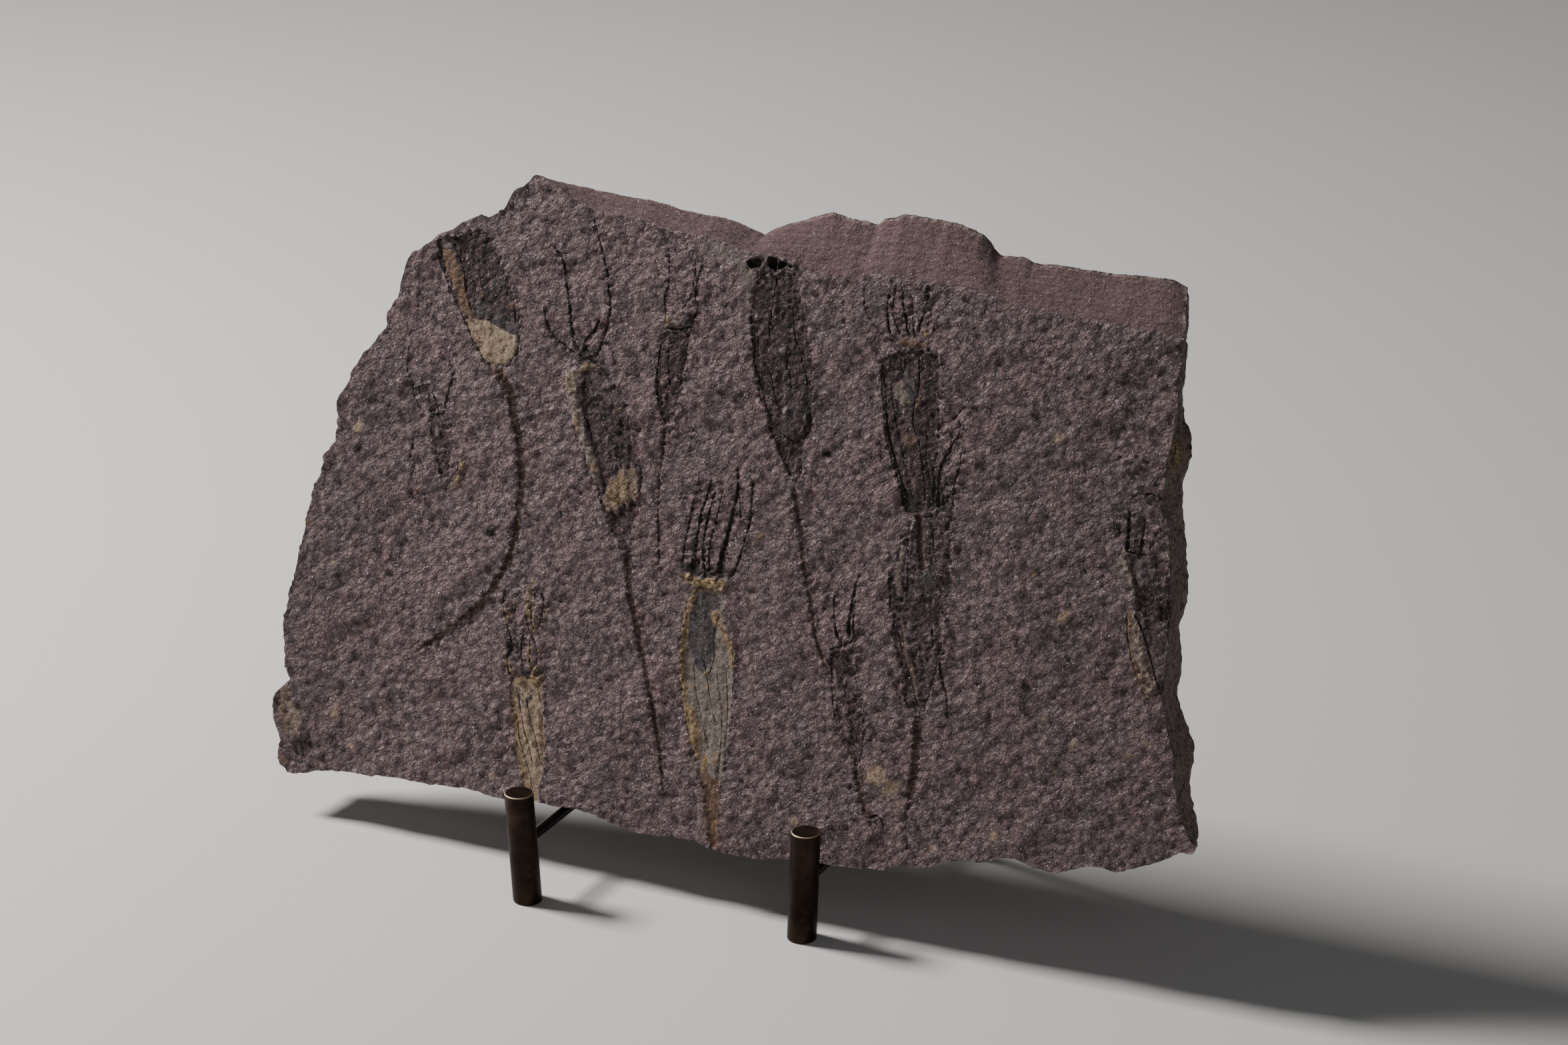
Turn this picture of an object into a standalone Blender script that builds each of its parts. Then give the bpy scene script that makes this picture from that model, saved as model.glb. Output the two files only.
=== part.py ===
"""Fossil crinoid plate on a brass display stand: the construction.

A slab of sandstone leans back on a small stand made of round rod. Stalked echinoderms lie in
its front face as sunken moulds: grooves for the arms and the stems, shallow pans for the bodies.

Units are metres in the scene. Points on the slab are written in millimetres on its front plane:
u runs along the slab, v runs up it, and w runs from the front plane into the stone.
"""
import math
from typing import NamedTuple

import bmesh
import bpy
from mathutils import Vector, noise
from mathutils.geometry import delaunay_2d_cdt, interpolate_bezier

MM = 0.001

# ---------------------------------------------------------------------------------------------
# Driving dimensions (millimetres and degrees)
# ---------------------------------------------------------------------------------------------
SLAB_LEAN = 15.0          # the slab leans back by this angle
SLAB_THICKNESS = 18.0
SLAB_FOOT_Y = 17.1        # the front plane's line v = 0, before the assembly is centred
SLAB_FOOT_Z = 22.9

POST_DIAMETER = 10.0
POST_HEIGHT = 40.0
POST_CHAMFER = 0.4
REAR_POST_HEIGHT = 27.0
ROD_DIAMETER = 3.6
ROD_HEIGHT = 21.0         # axis of the arms above the table
CROSS_BAR_HEIGHT = 11.0
GAP = 0.3                 # left between touching pieces

POST_LEFT = (-48.6, -8.2)     # where the posts' axes meet the table
POST_RIGHT = (47.9, 8.1)
POST_LEFT_LEAN = -3.7         # the tops lean apart, degrees along X
POST_RIGHT_LEAN = 2.1
REAR_Y = 92.0
STRUT_TOP_V = 128.0           # where the struts meet the slab's back
STRUT_CLEARANCE = 1.3         # the strut's round tip keeps off the rough back

RELIEF_LUMP = 0.55            # height of the sandstone's slanting lumps
STEM_DEPTH = 1.1
ARM_DEPTH = 1.0
BODY_DEPTH = 1.3
BODY_EDGE = 1.4               # how far in from its outline a body reaches full depth

FRONT_GRID = 7.5              # spacing of the free points on the front face
BODY_GRID = 4.2
BACK_GRID = 15.0
RIM_STEP = 7.5                # longest edge along the slab's rim
GROOVE_STEP = 5.5             # spacing of the sections along a groove


# ---------------------------------------------------------------------------------------------
# The slab's outline: stations of (front point, back point), clockwise from the lower left corner
# ---------------------------------------------------------------------------------------------
LEFT_SIDE = [
    ((-157, -7.5), (-154, -1)), ((-161.3, -4), (-158, 0)), ((-161.3, 3), (-159, 4)),
    ((-165, 10), (-161, 10)), ((-165.5, 18), (-162, 17)), ((-159.5, 25.5), (-160, 25)),
    ((-163, 35), (-161, 35)), ((-165, 46), (-163, 46)), ((-161.5, 64), (-160, 64)),
    ((-159.5, 84), (-159, 84)), ((-156, 100), (-156, 99)), ((-155.3, 106), (-154, 106)),
    ((-151, 115), (-150, 115)), ((-152.5, 126), (-150, 125)), ((-147.8, 136), (-146, 135)),
    ((-144.5, 144), (-143, 142)), ((-137.5, 152), (-138, 150)), ((-136, 160), (-136, 158)),
    ((-132.3, 170), (-133, 168)), ((-128.5, 182.5), (-129, 180)), ((-118, 191), (-119, 187)),
    ((-106, 198), (-108, 193)), ((-98, 200), (-101, 196)), ((-93.3, 205.5), (-97, 201)),
    ((-88, 211), (-93, 206)),
]
TOP_SIDE = [
    ((-82.5, 215.7), (-88, 211)), ((-74, 212.5), (-80, 211)), ((-66, 208.7), (-70, 210)),
    ((-55, 206.5), (-56, 209.5)), ((-40, 206), (-41, 208.7)), ((-33, 204.5), (-35, 207.5)),
    ((-20, 203.8), (-22, 206.8)), ((-10, 203), (-12, 206)), ((-2, 201), (-4.5, 203.7)),
    ((5, 200.9), (1, 207)), ((15, 200), (10, 210.6)), ((24, 197.7), (19.7, 214.7)),
    ((34, 197), (28, 213.6)), ((44, 199.7), (37, 213)), ((54, 200.4), (44, 217)),
    ((66, 200.3), (60, 217.7)), ((78, 200), (71, 216.6)), ((87, 199.3), (79, 211)),
    ((95, 197.3), (90.5, 209.8)), ((110, 196.6), (104, 208.8)), ((128, 196.6), (124, 209)),
    ((142, 196.3), (138, 209.2)),
]
RIGHT_SIDE = [
    ((155, 195.3), (147, 209.5)), ((155, 189), (149.5, 195)), ((155.2, 178), (150.2, 178)),
    ((155.4, 170), (152.2, 168)), ((155.6, 160), (156, 159)), ((156, 150), (154.3, 147)),
    ((158, 137), (157, 135)), ((160.5, 126), (159.5, 123)), ((162, 114), (160.6, 112)),
    ((163, 104), (159.2, 101)), ((164, 92), (162, 89)), ((164.6, 80), (162.5, 77.5)),
    ((168, 68), (169, 65)), ((171.3, 56), (170.3, 54)), ((175.5, 42), (173, 41)),
    ((181.5, 35), (174.8, 35)),
]
BOTTOM_SIDE = [
    ((183.6, 32), (176, 33)), ((173, 28.5), (168, 33)), ((163, 23), (160, 29)),
    ((154.5, 19.5), (152, 26)), ((146, 19.7), (144, 25)), ((136, 15.5), (135, 21)),
    ((127, 15), (127, 20)), ((118, 16.8), (117, 21)), ((107, 13.2), (107, 19)),
    ((96, 10.3), (96, 16)), ((84, 6.6), (85, 12)), ((74, 3.5), (75, 9)),
    ((58, 1.6), (60, 7)), ((44, 0.8), (45, 6.5)), ((33, -0.4), (34, 5)),
    ((18, -2.4), (18, 3.5)), ((5, -0.8), (5, 5)), ((-10, -1.3), (-10, 4.5)),
    ((-22, -2), (-22, 4)), ((-33, 0), (-33, 6)), ((-42, 1.8), (-42, 7.5)),
    ((-55, 0.7), (-55, 6.5)), ((-72, -0.4), (-72, 6)), ((-88, 0.2), (-88, 6)),
    ((-105, -1.4), (-105, 5)), ((-120, -2.2), (-120, 4)), ((-136, -3.3), (-136, 2.5)),
    ((-148, -6), (-146, 0.5)),
]
RIM_STATIONS = LEFT_SIDE + TOP_SIDE + RIGHT_SIDE + BOTTOM_SIDE


class Groove(NamedTuple):
    """A sunken line: the mould of an arm, a stem or a seam."""

    points: list
    width: float
    depth: float


class Pan(NamedTuple):
    """A sunken area: the mould of a body, full depth a little in from its outline."""

    outline: list
    depth: float


def arm(*points, width=1.7, depth=ARM_DEPTH):
    """Return the groove of an arm through the given points."""
    return Groove(list(points), width, depth)


def stem(*points, width=3.0, depth=STEM_DEPTH):
    """Return the groove of a stem through the given points."""
    return Groove(list(points), width, depth)


def body(*outline, depth=BODY_DEPTH):
    """Return the pan of a body inside the given outline."""
    return Pan(list(outline), depth)


# ---------------------------------------------------------------------------------------------
# The animals, from left to right (u, v in millimetres)
# ---------------------------------------------------------------------------------------------
LONG_STEMMED = [
    body((-110, 194), (-116, 189), (-116.5, 180), (-109, 168.5), (-102, 158), (-94, 148.3),
         (-87, 149.7), (-83.3, 154), (-83.7, 163), (-88, 174), (-93.5, 184), (-101, 195)),
    stem((-90.5, 148), (-85, 140.5), (-81.5, 130), (-78.3, 120), (-76.9, 110), (-76.4, 100),
         (-76.8, 90), (-79.3, 80), (-84.2, 70), (-92.4, 60), (-103, 50), (-110, 45)),
]
SMALL_LEFT = [
    body((-116, 128), (-109, 128.5), (-104.5, 118), (-106, 107), (-112, 110), (-115, 119),
         depth=0.7),
    arm((-117, 135), (-115.3, 132), (-115, 128.5), width=1.3),
    arm((-115.5, 135), (-113, 131), (-111, 128.5), width=1.3),
    arm((-108.3, 141), (-109.4, 135), (-109.5, 129.5), width=1.3),
]
HOOKED = [
    body((-62, 154), (-64.5, 149), (-62.6, 139.6), (-58.5, 130), (-53.3, 121), (-47, 110.5),
         (-42.4, 103.3), (-37, 97), (-33.3, 99.3), (-33.5, 110), (-32, 117.8), (-35, 128),
         (-35, 139), (-44.8, 147), (-49, 152.6), (-55, 155.5)),
    arm((-73.9, 192), (-69.4, 187.3), (-67, 178.5), (-64.6, 168.8), (-62.2, 160.7), (-57, 156.3)),
    arm((-60.2, 206), (-57, 196.5), (-52.9, 187.3), (-50, 176), (-50.5, 167), (-54, 156),
        width=1.4),
    arm((-53.3, 170.4), (-57.5, 163), (-57, 158), width=1.6),
    arm((-75.5, 172), (-72.3, 163.9), (-66, 159.5), (-61, 157), width=1.4),
    stem((-33.5, 95.5), (-31.9, 85), (-29.1, 75), (-25.8, 65), (-22.2, 55), (-18.1, 45),
         (-15, 35), (-12.2, 25), (-9.8, 13), width=2.7),
]
SLENDER = [
    body((-29.5, 171), (-29.6, 159), (-28.7, 148), (-26, 140.5), (-22.3, 140.5), (-20.2, 150),
         (-19.6, 163), (-19.2, 172), depth=1.0),
    arm((-29.2, 201), (-29, 190), (-29.4, 180), (-28.6, 171.6), width=1.5),
    arm((-17.6, 197), (-17, 191), (-19.2, 182.5), (-18.5, 174.4)),
    stem((-24, 140), (-24, 130), (-23.8, 120), (-23.3, 110), (-21.8, 100), (-21, 91), width=1.7),
]
MANY_ARMED = [
    body((-5, 85.5), (-7.9, 80), (-8.7, 71), (-7.5, 60), (-6.3, 50), (-3.5, 39.4), (0.6, 29.7),
         (4.5, 20.5), (11, 20.5), (12.2, 30), (12.6, 45), (13, 54), (11.8, 64), (7.4, 72.6),
         (5.2, 80), (4.8, 85.5)),
    arm((-8.9, 123), (-10.5, 112), (-11.5, 101.5), (-11.4, 90.5), width=1.5),
    arm((-4.5, 122), (-6.6, 112), (-7.5, 101), (-7.3, 91), width=1.6),
    arm((-2.7, 119.4), (-4.2, 109), (-4.8, 99), (-2.5, 89.5), width=1.6),
    arm((0.3, 120), (-1, 109), (-2.2, 99), (-1, 90.5), width=1.6),
    arm((6, 122.5), (4.7, 112), (2.9, 101), (2.7, 90.5), width=2.3, depth=1.4),
    arm((11.4, 119), (10.8, 107), (9, 97.5), (6.5, 91), width=1.6),
    stem((9.3, 20), (10, 10), (11.2, 3), (12, -1.5), width=4.4),
]
SHOULDERED = [
    body((1, 198.5), (2.2, 190), (1.5, 183.3), (3.6, 174), (6.2, 164.7), (9, 156), (14, 147),
         (18.7, 136.4), (25, 128.3), (28.3, 130.7), (27.8, 140.5), (28.8, 152), (28, 160),
         (26.5, 169), (19.8, 179), (17.5, 190), (16, 198.5)),
    arm((10.6, 194), (10, 181.7), (11, 174.4), (17.1, 165.5), (21.9, 155), width=1.5, depth=1.8),
    stem((26.6, 126), (29.2, 115), (32.4, 105), (34.8, 95), (38.1, 85), (41.7, 75), (46.5, 66),
         width=2.6),
]
LOWER = [
    body((47, 75), (46.3, 69), (48.1, 59.5), (51.8, 50.7), (56, 42), (60.2, 41), (60.8, 50),
         (57.4, 61.2), (54.5, 70), (53, 76.5), depth=1.0),
    arm((44.5, 94.4), (44.8, 86), (47.7, 78.3), (49.3, 76.3), width=1.8),
    arm((53.8, 103.3), (51.1, 96), (51.4, 84), (53.3, 78.5), width=2.2, depth=1.3),
    stem((59, 40), (61.5, 30), (65.7, 20.5), width=2.6),
    arm((66.7, 18.4), (68.3, 20.7), (71, 20.3), (72.6, 17.2), width=1.3, depth=1.5),
]
FAN_ARMED = [
    body((54.6, 179.3), (52.6, 169.6), (54.2, 160), (56.2, 149.4), (60.6, 140.4), (65.3, 131),
         (72.9, 126), (76, 133), (76.3, 144.6), (74.6, 158), (74, 170.4), (71.1, 178.8)),
    arm((53, 199.4), (52, 191), (54.6, 182.5), width=2.2),
    arm((55.8, 199), (58.2, 190.5), (60.6, 182), width=1.7),
    arm((59, 196), (60.4, 189), (61.9, 182.5), width=1.5),
    arm((65.9, 199.8), (65.5, 190), (63.3, 182.5), width=2.2, depth=1.3),
    arm((71.5, 196.2), (68.5, 188.5), (66, 182.5), width=1.5),
    stem((71.3, 125), (73.3, 115), (75.2, 106), width=2.9),
]
UNDERLYING = [
    body((74, 126), (72, 121), (66.5, 112), (64.5, 103), (65.6, 89.6), (68.5, 82.3), (74, 71.8),
         (78.5, 57), (82.2, 57), (84.6, 69.4), (85.3, 85), (85.2, 101.7), (83.6, 117),
         (83, 126), depth=1.0),
    arm((85.4, 165), (81, 158.3), (77.8, 153.5), width=1.3),
    arm((80.3, 150), (78.9, 145), (77, 136), (75.5, 127), width=2.0, depth=1.4),
    arm((83, 150), (83.6, 144), (81.5, 136), (83.4, 127), width=1.7),
    stem((80.2, 56.5), (81, 45), (81.4, 30), (81.9, 16), (82.3, 8.5), width=3.1),
    arm((85.4, 75.5), (88.2, 67.8), (90.4, 57.5), width=1.7),
]
EDGE_CUT = [
    body((146, 124), (149, 115), (149.3, 106), (150.3, 96), (154, 87), (159.3, 80.5),
         (163.3, 82), (163.3, 94), (161.5, 108), (158, 117), (154, 124), depth=1.1),
    arm((145, 141.4), (147.5, 144.2), (152, 144.6), (155, 143), width=1.3),
    arm((142.2, 137), (142.3, 130), (143.8, 125), width=1.5),
    arm((145.1, 138.8), (145.5, 131), (147.1, 125.3), width=2.2, depth=1.5),
    arm((150.3, 136.4), (149.9, 130), (150.9, 125.3), width=1.5),
    arm((155.5, 138), (153.8, 130), (152.3, 125.5), width=1.7),
]
CREAM_BODIED = [
    body((-71.5, 41.8), (-70.3, 33), (-69, 23), (-65, 10.4), (-62, 3.5), (-57.2, 3.5),
         (-56.3, 11), (-55.7, 19.2), (-58, 29), (-60.2, 42), depth=1.0),
    arm((-78, 72.6), (-78.3, 67), (-75.7, 58), (-74.7, 50), (-71.9, 43.4), width=2.0),
    arm((-67.4, 78), (-67.4, 69.4), (-65.4, 59.5), (-64.6, 46.6), width=1.8),
    arm((-69, 74), (-67.3, 64), (-69, 53), (-67.8, 45), width=1.8),
    arm((-64, 74), (-62.6, 64), (-62.3, 50.7), width=1.5),
]
BLACK_CAVITIES = [
    Pan([(-1.2, 198.8), (1.5, 199.8), (3.9, 199.5), (3.4, 197.2), (0, 196.3)], 3.0),
    Pan([(6.8, 200), (10.5, 200), (15, 199.2), (12, 196.8), (9.2, 195.6), (6.8, 196.8)], 3.0),
]
ANIMALS = (LONG_STEMMED + SMALL_LEFT + HOOKED + SLENDER + MANY_ARMED + SHOULDERED + LOWER
           + FAN_ARMED + UNDERLYING + EDGE_CUT + CREAM_BODIED + BLACK_CAVITIES)
GROOVES = [shape for shape in ANIMALS if isinstance(shape, Groove)]
PANS = [shape for shape in ANIMALS if isinstance(shape, Pan)]


# ---------------------------------------------------------------------------------------------
# Plane geometry
# ---------------------------------------------------------------------------------------------
def distance_to_segment(point, start, end):
    """Return the distance from a point to a segment, all in the plane."""
    along = end - start
    length2 = along.length_squared
    t = 0.0 if length2 == 0.0 else max(0.0, min(1.0, (point - start).dot(along) / length2))
    return (point - start - along * t).length


def distance_to_line(point, line):
    """Return the distance from a point to an open line of points."""
    return min(distance_to_segment(point, a, b) for a, b in zip(line, line[1:]))


def distance_to_loop(point, loop):
    """Return the distance from a point to a closed line of points."""
    return distance_to_line(point, loop + loop[:1])


def is_inside(point, loop):
    """Tell whether a point lies inside a closed line of points."""
    inside = False
    for a, b in zip(loop, loop[1:] + loop[:1]):
        if (a.y > point.y) != (b.y > point.y):
            if point.x < (b.x - a.x) * (point.y - a.y) / (b.y - a.y) + a.x:
                inside = not inside
    return inside


def smooth_line(points, step):
    """Return points about a step apart along a smooth curve through the given points."""
    knots = [Vector(p) for p in points]
    tangents = []
    for i in range(len(knots)):
        before = knots[max(i - 1, 0)]
        after = knots[min(i + 1, len(knots) - 1)]
        tangents.append((after - before) / 6.0)
    line = [knots[0]]
    for i in range(len(knots) - 1):
        pieces = max(1, round((knots[i + 1] - knots[i]).length / step))
        curve = interpolate_bezier(knots[i], knots[i] + tangents[i], knots[i + 1] - tangents[i + 1],
                                   knots[i + 1], pieces + 1)
        line.extend(Vector((p[0], p[1])) for p in curve[1:])
    return line


def split_loop(loop, step):
    """Return a closed line of points with no edge longer than a step."""
    points = []
    for a, b in zip(loop, loop[1:] + loop[:1]):
        pieces = max(1, math.ceil((b - a).length / step))
        points.extend(a.lerp(b, k / pieces) for k in range(pieces))
    return points


def shift_along_normal(line, distance):
    """Return an open line moved sideways by a distance."""
    moved = []
    for i, point in enumerate(line):
        along = line[min(i + 1, len(line) - 1)] - line[max(i - 1, 0)]
        side = Vector((-along.y, along.x)).normalized()
        moved.append(point + side * distance)
    return moved


def free_points(loop, spacing, seed):
    """Return points scattered on a jittered hexagonal grid inside a closed line."""
    low_u = min(p.x for p in loop)
    high_u = max(p.x for p in loop)
    low_v = min(p.y for p in loop)
    high_v = max(p.y for p in loop)
    points = []
    row_height = spacing * math.sqrt(3.0) / 2.0
    for row in range(int((high_v - low_v) / row_height) + 1):
        for column in range(int((high_u - low_u) / spacing) + 2):
            u = low_u + (column + 0.5 * (row % 2)) * spacing
            v = low_v + row * row_height
            jitter = noise.noise_vector(Vector((u * 0.37, v * 0.37, seed))) * spacing * 0.35
            point = Vector((u + jitter.x, v + jitter.y))
            if is_inside(point, loop):
                points.append(point)
    return points


# ---------------------------------------------------------------------------------------------
# Relief of the stone
# ---------------------------------------------------------------------------------------------
def lump_height(u, v, seed=0.0):
    """Return the height of the sandstone's lumps, drawn out along a slant of about 33 degrees."""
    along = u * 0.84 + v * 0.54
    across = -u * 0.54 + v * 0.84
    coarse = noise.noise(Vector((along * 0.028, across * 0.055, seed)))
    fine = noise.noise(Vector((along * 0.085, across * 0.17, seed + 7.0)))
    return RELIEF_LUMP * (1.5 * coarse + 0.9 * fine)


def smooth_step(t):
    """Return the smooth ramp from 0 to 1 for t from 0 to 1."""
    t = max(0.0, min(1.0, t))
    return t * t * (3.0 - 2.0 * t)


def mould_depth(point, grooves, pans):
    """Return how deep the fossils' moulds are at a point of the front face."""
    depth = 0.0
    for outline, full in pans:
        if is_inside(point, outline):
            depth = max(depth, full * smooth_step(distance_to_loop(point, outline) / BODY_EDGE))
    for line, width, full in grooves:
        offset = distance_to_line(point, line) / (width / 2.0)
        if offset < 1.0:
            depth = max(depth, full * (1.0 - offset * offset))
    return depth


# ---------------------------------------------------------------------------------------------
# The slab
# ---------------------------------------------------------------------------------------------
LEAN = math.radians(SLAB_LEAN)


def slab_point(u, v, w):
    """Return the place in metres of the point (u, v, w) of the slab."""
    y = SLAB_FOOT_Y + v * math.sin(LEAN) + w * math.cos(LEAN)
    z = SLAB_FOOT_Z + v * math.cos(LEAN) - w * math.sin(LEAN)
    return Vector((u, y, z)) * MM


def rim_lines():
    """Return the front and the back rim as closed lines with matching points."""
    front, back = [], []
    count = len(RIM_STATIONS)
    for i in range(count):
        front_a, back_a = (Vector(p) for p in RIM_STATIONS[i])
        front_b, back_b = (Vector(p) for p in RIM_STATIONS[(i + 1) % count])
        pieces = max(1, math.ceil((front_b - front_a).length / RIM_STEP))
        for k in range(pieces):
            chip = noise.noise_vector(Vector((front_a.x, front_a.y, k * 1.7))) * (0.7 if k else 0.0)
            front.append(front_a.lerp(front_b, k / pieces) + Vector((chip.x, chip.y)))
            back.append(back_a.lerp(back_b, k / pieces) + Vector((chip.y, chip.z)))
    return front, back


def triangulate(rim, points, lines):
    """Return (points, triangles) of a face inside its rim.

    The rim's points come first and keep their order; lines are kept as edges.
    """
    coordinates = list(rim)
    edges = [(i, (i + 1) % len(rim)) for i in range(len(rim))]
    for line in lines:
        first = len(coordinates)
        coordinates.extend(line)
        edges.extend((first + i, first + i + 1) for i in range(len(line) - 1))
    coordinates.extend(points)
    vertices, _, faces, origins, _, _ = delaunay_2d_cdt(coordinates, edges, [], 0, 0.05)
    rank = {origin: i for i, group in enumerate(origins) for origin in group}
    order = [rank[i] for i in range(len(rim))]
    order += [i for i in range(len(vertices)) if i not in set(order)]
    place = {old: new for new, old in enumerate(order)}
    triangles = []
    for face in faces:
        centre = sum((vertices[i] for i in face), Vector((0.0, 0.0))) / len(face)
        if is_inside(centre, rim):
            triangles.append([place[i] for i in face])
    return [vertices[i] for i in order], triangles


def clear_of(points, obstacles, distance):
    """Return the points that keep a distance from every obstacle point."""
    return [p for p in points if all((p - q).length > distance for q in obstacles)]


def front_face(rim):
    """Return (points with depth, triangles) of the front face with its moulds."""
    pans = [(split_loop([Vector(p) for p in pan.outline], GROOVE_STEP), pan.depth) for pan in PANS]
    grooves = [(smooth_line(g.points, GROOVE_STEP), g.width, g.depth) for g in GROOVES]
    lines, extras = [], []
    for line, width, _ in grooves:
        inner = [p for p in line if is_inside(p, rim) and distance_to_loop(p, rim) > 1.5]
        lines.append(inner)
        for side in (-1.0, 1.0):
            extras.extend(shift_along_normal(inner, side * width * 0.55))
    for outline, _ in pans:
        centre = sum(outline, Vector((0.0, 0.0))) / len(outline)
        extras.extend(outline)
        for point in outline:
            inward = (centre - point).normalized()
            extras.append(point + inward * BODY_EDGE)
        extras.extend(free_points(outline, BODY_GRID, 3.0))
    fixed = [p for line in lines for p in line]
    kept = []
    for point in extras:
        if is_inside(point, rim) and distance_to_loop(point, rim) > 1.2:
            if all((point - q).length > 0.8 for q in fixed):
                if all((point - q).length > 1.3 for q in kept):
                    kept.append(point)
    loose = [p for p in free_points(rim, FRONT_GRID, 1.0) if distance_to_loop(p, rim) > 3.0]
    kept += clear_of(loose, fixed + kept, 3.2)
    vertices, triangles = triangulate(rim, kept, lines)
    surface = []
    for point in vertices:
        depth = mould_depth(point, grooves, pans)
        surface.append((point.x, point.y, depth - lump_height(point.x, point.y)))
    return surface, triangles


def back_face(rim):
    """Return (points with depth, triangles) of the rough, plain back."""
    loose = [p for p in free_points(rim, BACK_GRID, 5.0) if distance_to_loop(p, rim) > 6.0]
    vertices, triangles = triangulate(rim, loose, [])
    surface = []
    for point in vertices:
        depth = SLAB_THICKNESS + lump_height(point.x, point.y, 20.0)
        surface.append((point.x, point.y, depth))
    return surface, triangles


def side_row(front, back, share):
    """Return one row of side points, a share of the way from the front rim to the back rim."""
    row = []
    for f, b in zip(front, back):
        chip = noise.noise(Vector((f[0] * 0.11, f[1] * 0.11, share * 4.0)))
        middle = Vector(f).lerp(Vector(b), share)
        outward = Vector((middle.x, middle.y - 100.0)).normalized() * chip * 1.1
        row.append((middle.x + outward.x, middle.y + outward.y, middle.z))
    return row


def build_slab():
    """Model the slab as one closed faceted body."""
    front_rim, back_rim = rim_lines()
    front, front_triangles = front_face(front_rim)
    back, back_triangles = back_face(back_rim)
    count = len(front_rim)
    rows = [side_row(front[:count], back[:count], share) for share in (0.33, 0.67)]

    bm = bmesh.new()
    front_verts = [bm.verts.new(slab_point(*p)) for p in front]
    back_verts = [bm.verts.new(slab_point(*p)) for p in back]
    rings = [front_verts[:count]]
    rings += [[bm.verts.new(slab_point(*p)) for p in row] for row in rows]
    rings.append(back_verts[:count])
    for triangle in front_triangles:
        bm.faces.new([front_verts[i] for i in triangle])
    for triangle in back_triangles:
        bm.faces.new([back_verts[i] for i in triangle])
    for ring, following in zip(rings, rings[1:]):
        for i in range(count):
            k = (i + 1) % count
            bm.faces.new([ring[i], ring[k], following[k], following[i]])
    bmesh.ops.triangulate(bm, faces=[f for f in bm.faces if len(f.verts) > 3])
    bmesh.ops.recalc_face_normals(bm, faces=bm.faces)
    return add_object("slab", bm, STONE)


# ---------------------------------------------------------------------------------------------
# The stand
# ---------------------------------------------------------------------------------------------
def build_post(name, foot, height, lean, segments=32):
    """Model an upright post with chamfered ends; the lean keeps its ends level.

    Args:
        name: The object's name.
        foot: The axis on the table, (x, y) in millimetres.
        height: Height in millimetres.
        lean: Lean along X in degrees.
        segments: Sides of the round.
    """
    bm = bmesh.new()
    bmesh.ops.create_cone(bm, cap_ends=True, segments=segments, radius1=POST_DIAMETER / 2 * MM,
                          radius2=POST_DIAMETER / 2 * MM, depth=height * MM)
    rims = [e for e in bm.edges if abs(e.verts[0].co.z - e.verts[1].co.z) < 1e-6]
    bmesh.ops.bevel(bm, geom=rims, offset=POST_CHAMFER * MM, segments=1, affect="EDGES")
    slope = math.tan(math.radians(lean))
    for vert in bm.verts:
        vert.co.z += height / 2 * MM
        vert.co.x += slope * vert.co.z
    return add_object(name, bm, BRASS, Vector((foot[0], foot[1], 0.0)) * MM)


def build_rod(name, start, end, round_end=False, segments=16):
    """Model a straight round rod between two points in millimetres.

    Args:
        name: The object's name.
        start: Centre of the first end.
        end: Centre of the second end.
        round_end: Whether the second end is domed.
        segments: Sides of the round.
    """
    start, end = Vector(start), Vector(end)
    length = (end - start).length
    radius = ROD_DIAMETER / 2
    profile = [(0.0, 0.0), (radius, 0.0)]
    if round_end:
        steps = 4
        for k in range(steps):
            angle = math.pi / 2 * k / steps
            profile.append((radius * math.cos(angle), length - radius + radius * math.sin(angle)))
    else:
        profile.append((radius, length))
    profile.append((0.0, length))
    bm = bmesh.new()
    verts = [bm.verts.new(Vector((r, 0.0, z)) * MM) for r, z in profile]
    edges = [bm.edges.new(pair) for pair in zip(verts, verts[1:])]
    bmesh.ops.spin(bm, geom=verts + edges, cent=(0, 0, 0), axis=(0, 0, 1), angle=math.tau,
                   steps=segments, use_merge=True)
    bmesh.ops.remove_doubles(bm, verts=bm.verts, dist=1e-6)
    bmesh.ops.recalc_face_normals(bm, faces=bm.faces)
    rod = add_object(name, bm, DARK_BRASS, start * MM)
    rod.rotation_euler = (end - start).to_track_quat("Z", "Y").to_euler()
    return rod


def build_side(side, foot, lean):
    """Model one side of the stand: front post, arm, rear post and strut.

    Args:
        side: left or right, used in the names.
        foot: The front post's axis on the table, (x, y) in millimetres.
        lean: The front post's lean along X in degrees.
    """
    arm_x = foot[0] + math.tan(math.radians(lean)) * ROD_HEIGHT
    reach = POST_DIAMETER / 2 + GAP
    back_y = SLAB_FOOT_Y + STRUT_TOP_V * math.sin(LEAN) + SLAB_THICKNESS * math.cos(LEAN)
    back_z = SLAB_FOOT_Z + STRUT_TOP_V * math.cos(LEAN) - SLAB_THICKNESS * math.sin(LEAN)
    stand_off = ROD_DIAMETER / 2 + STRUT_CLEARANCE
    tip = (arm_x, back_y + stand_off * math.cos(LEAN), back_z - stand_off * math.sin(LEAN))
    return [
        build_post(f"post_{side}", foot, POST_HEIGHT, lean),
        build_rod(f"arm_{side}", (arm_x, foot[1] + reach, ROD_HEIGHT),
                  (arm_x, REAR_Y - reach, ROD_HEIGHT)),
        build_post(f"rear_post_{side}", (arm_x, REAR_Y), REAR_POST_HEIGHT, 0.0),
        build_rod(f"strut_{side}", (arm_x, REAR_Y, REAR_POST_HEIGHT + 2 * GAP), tip,
                  round_end=True),
    ]


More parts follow.
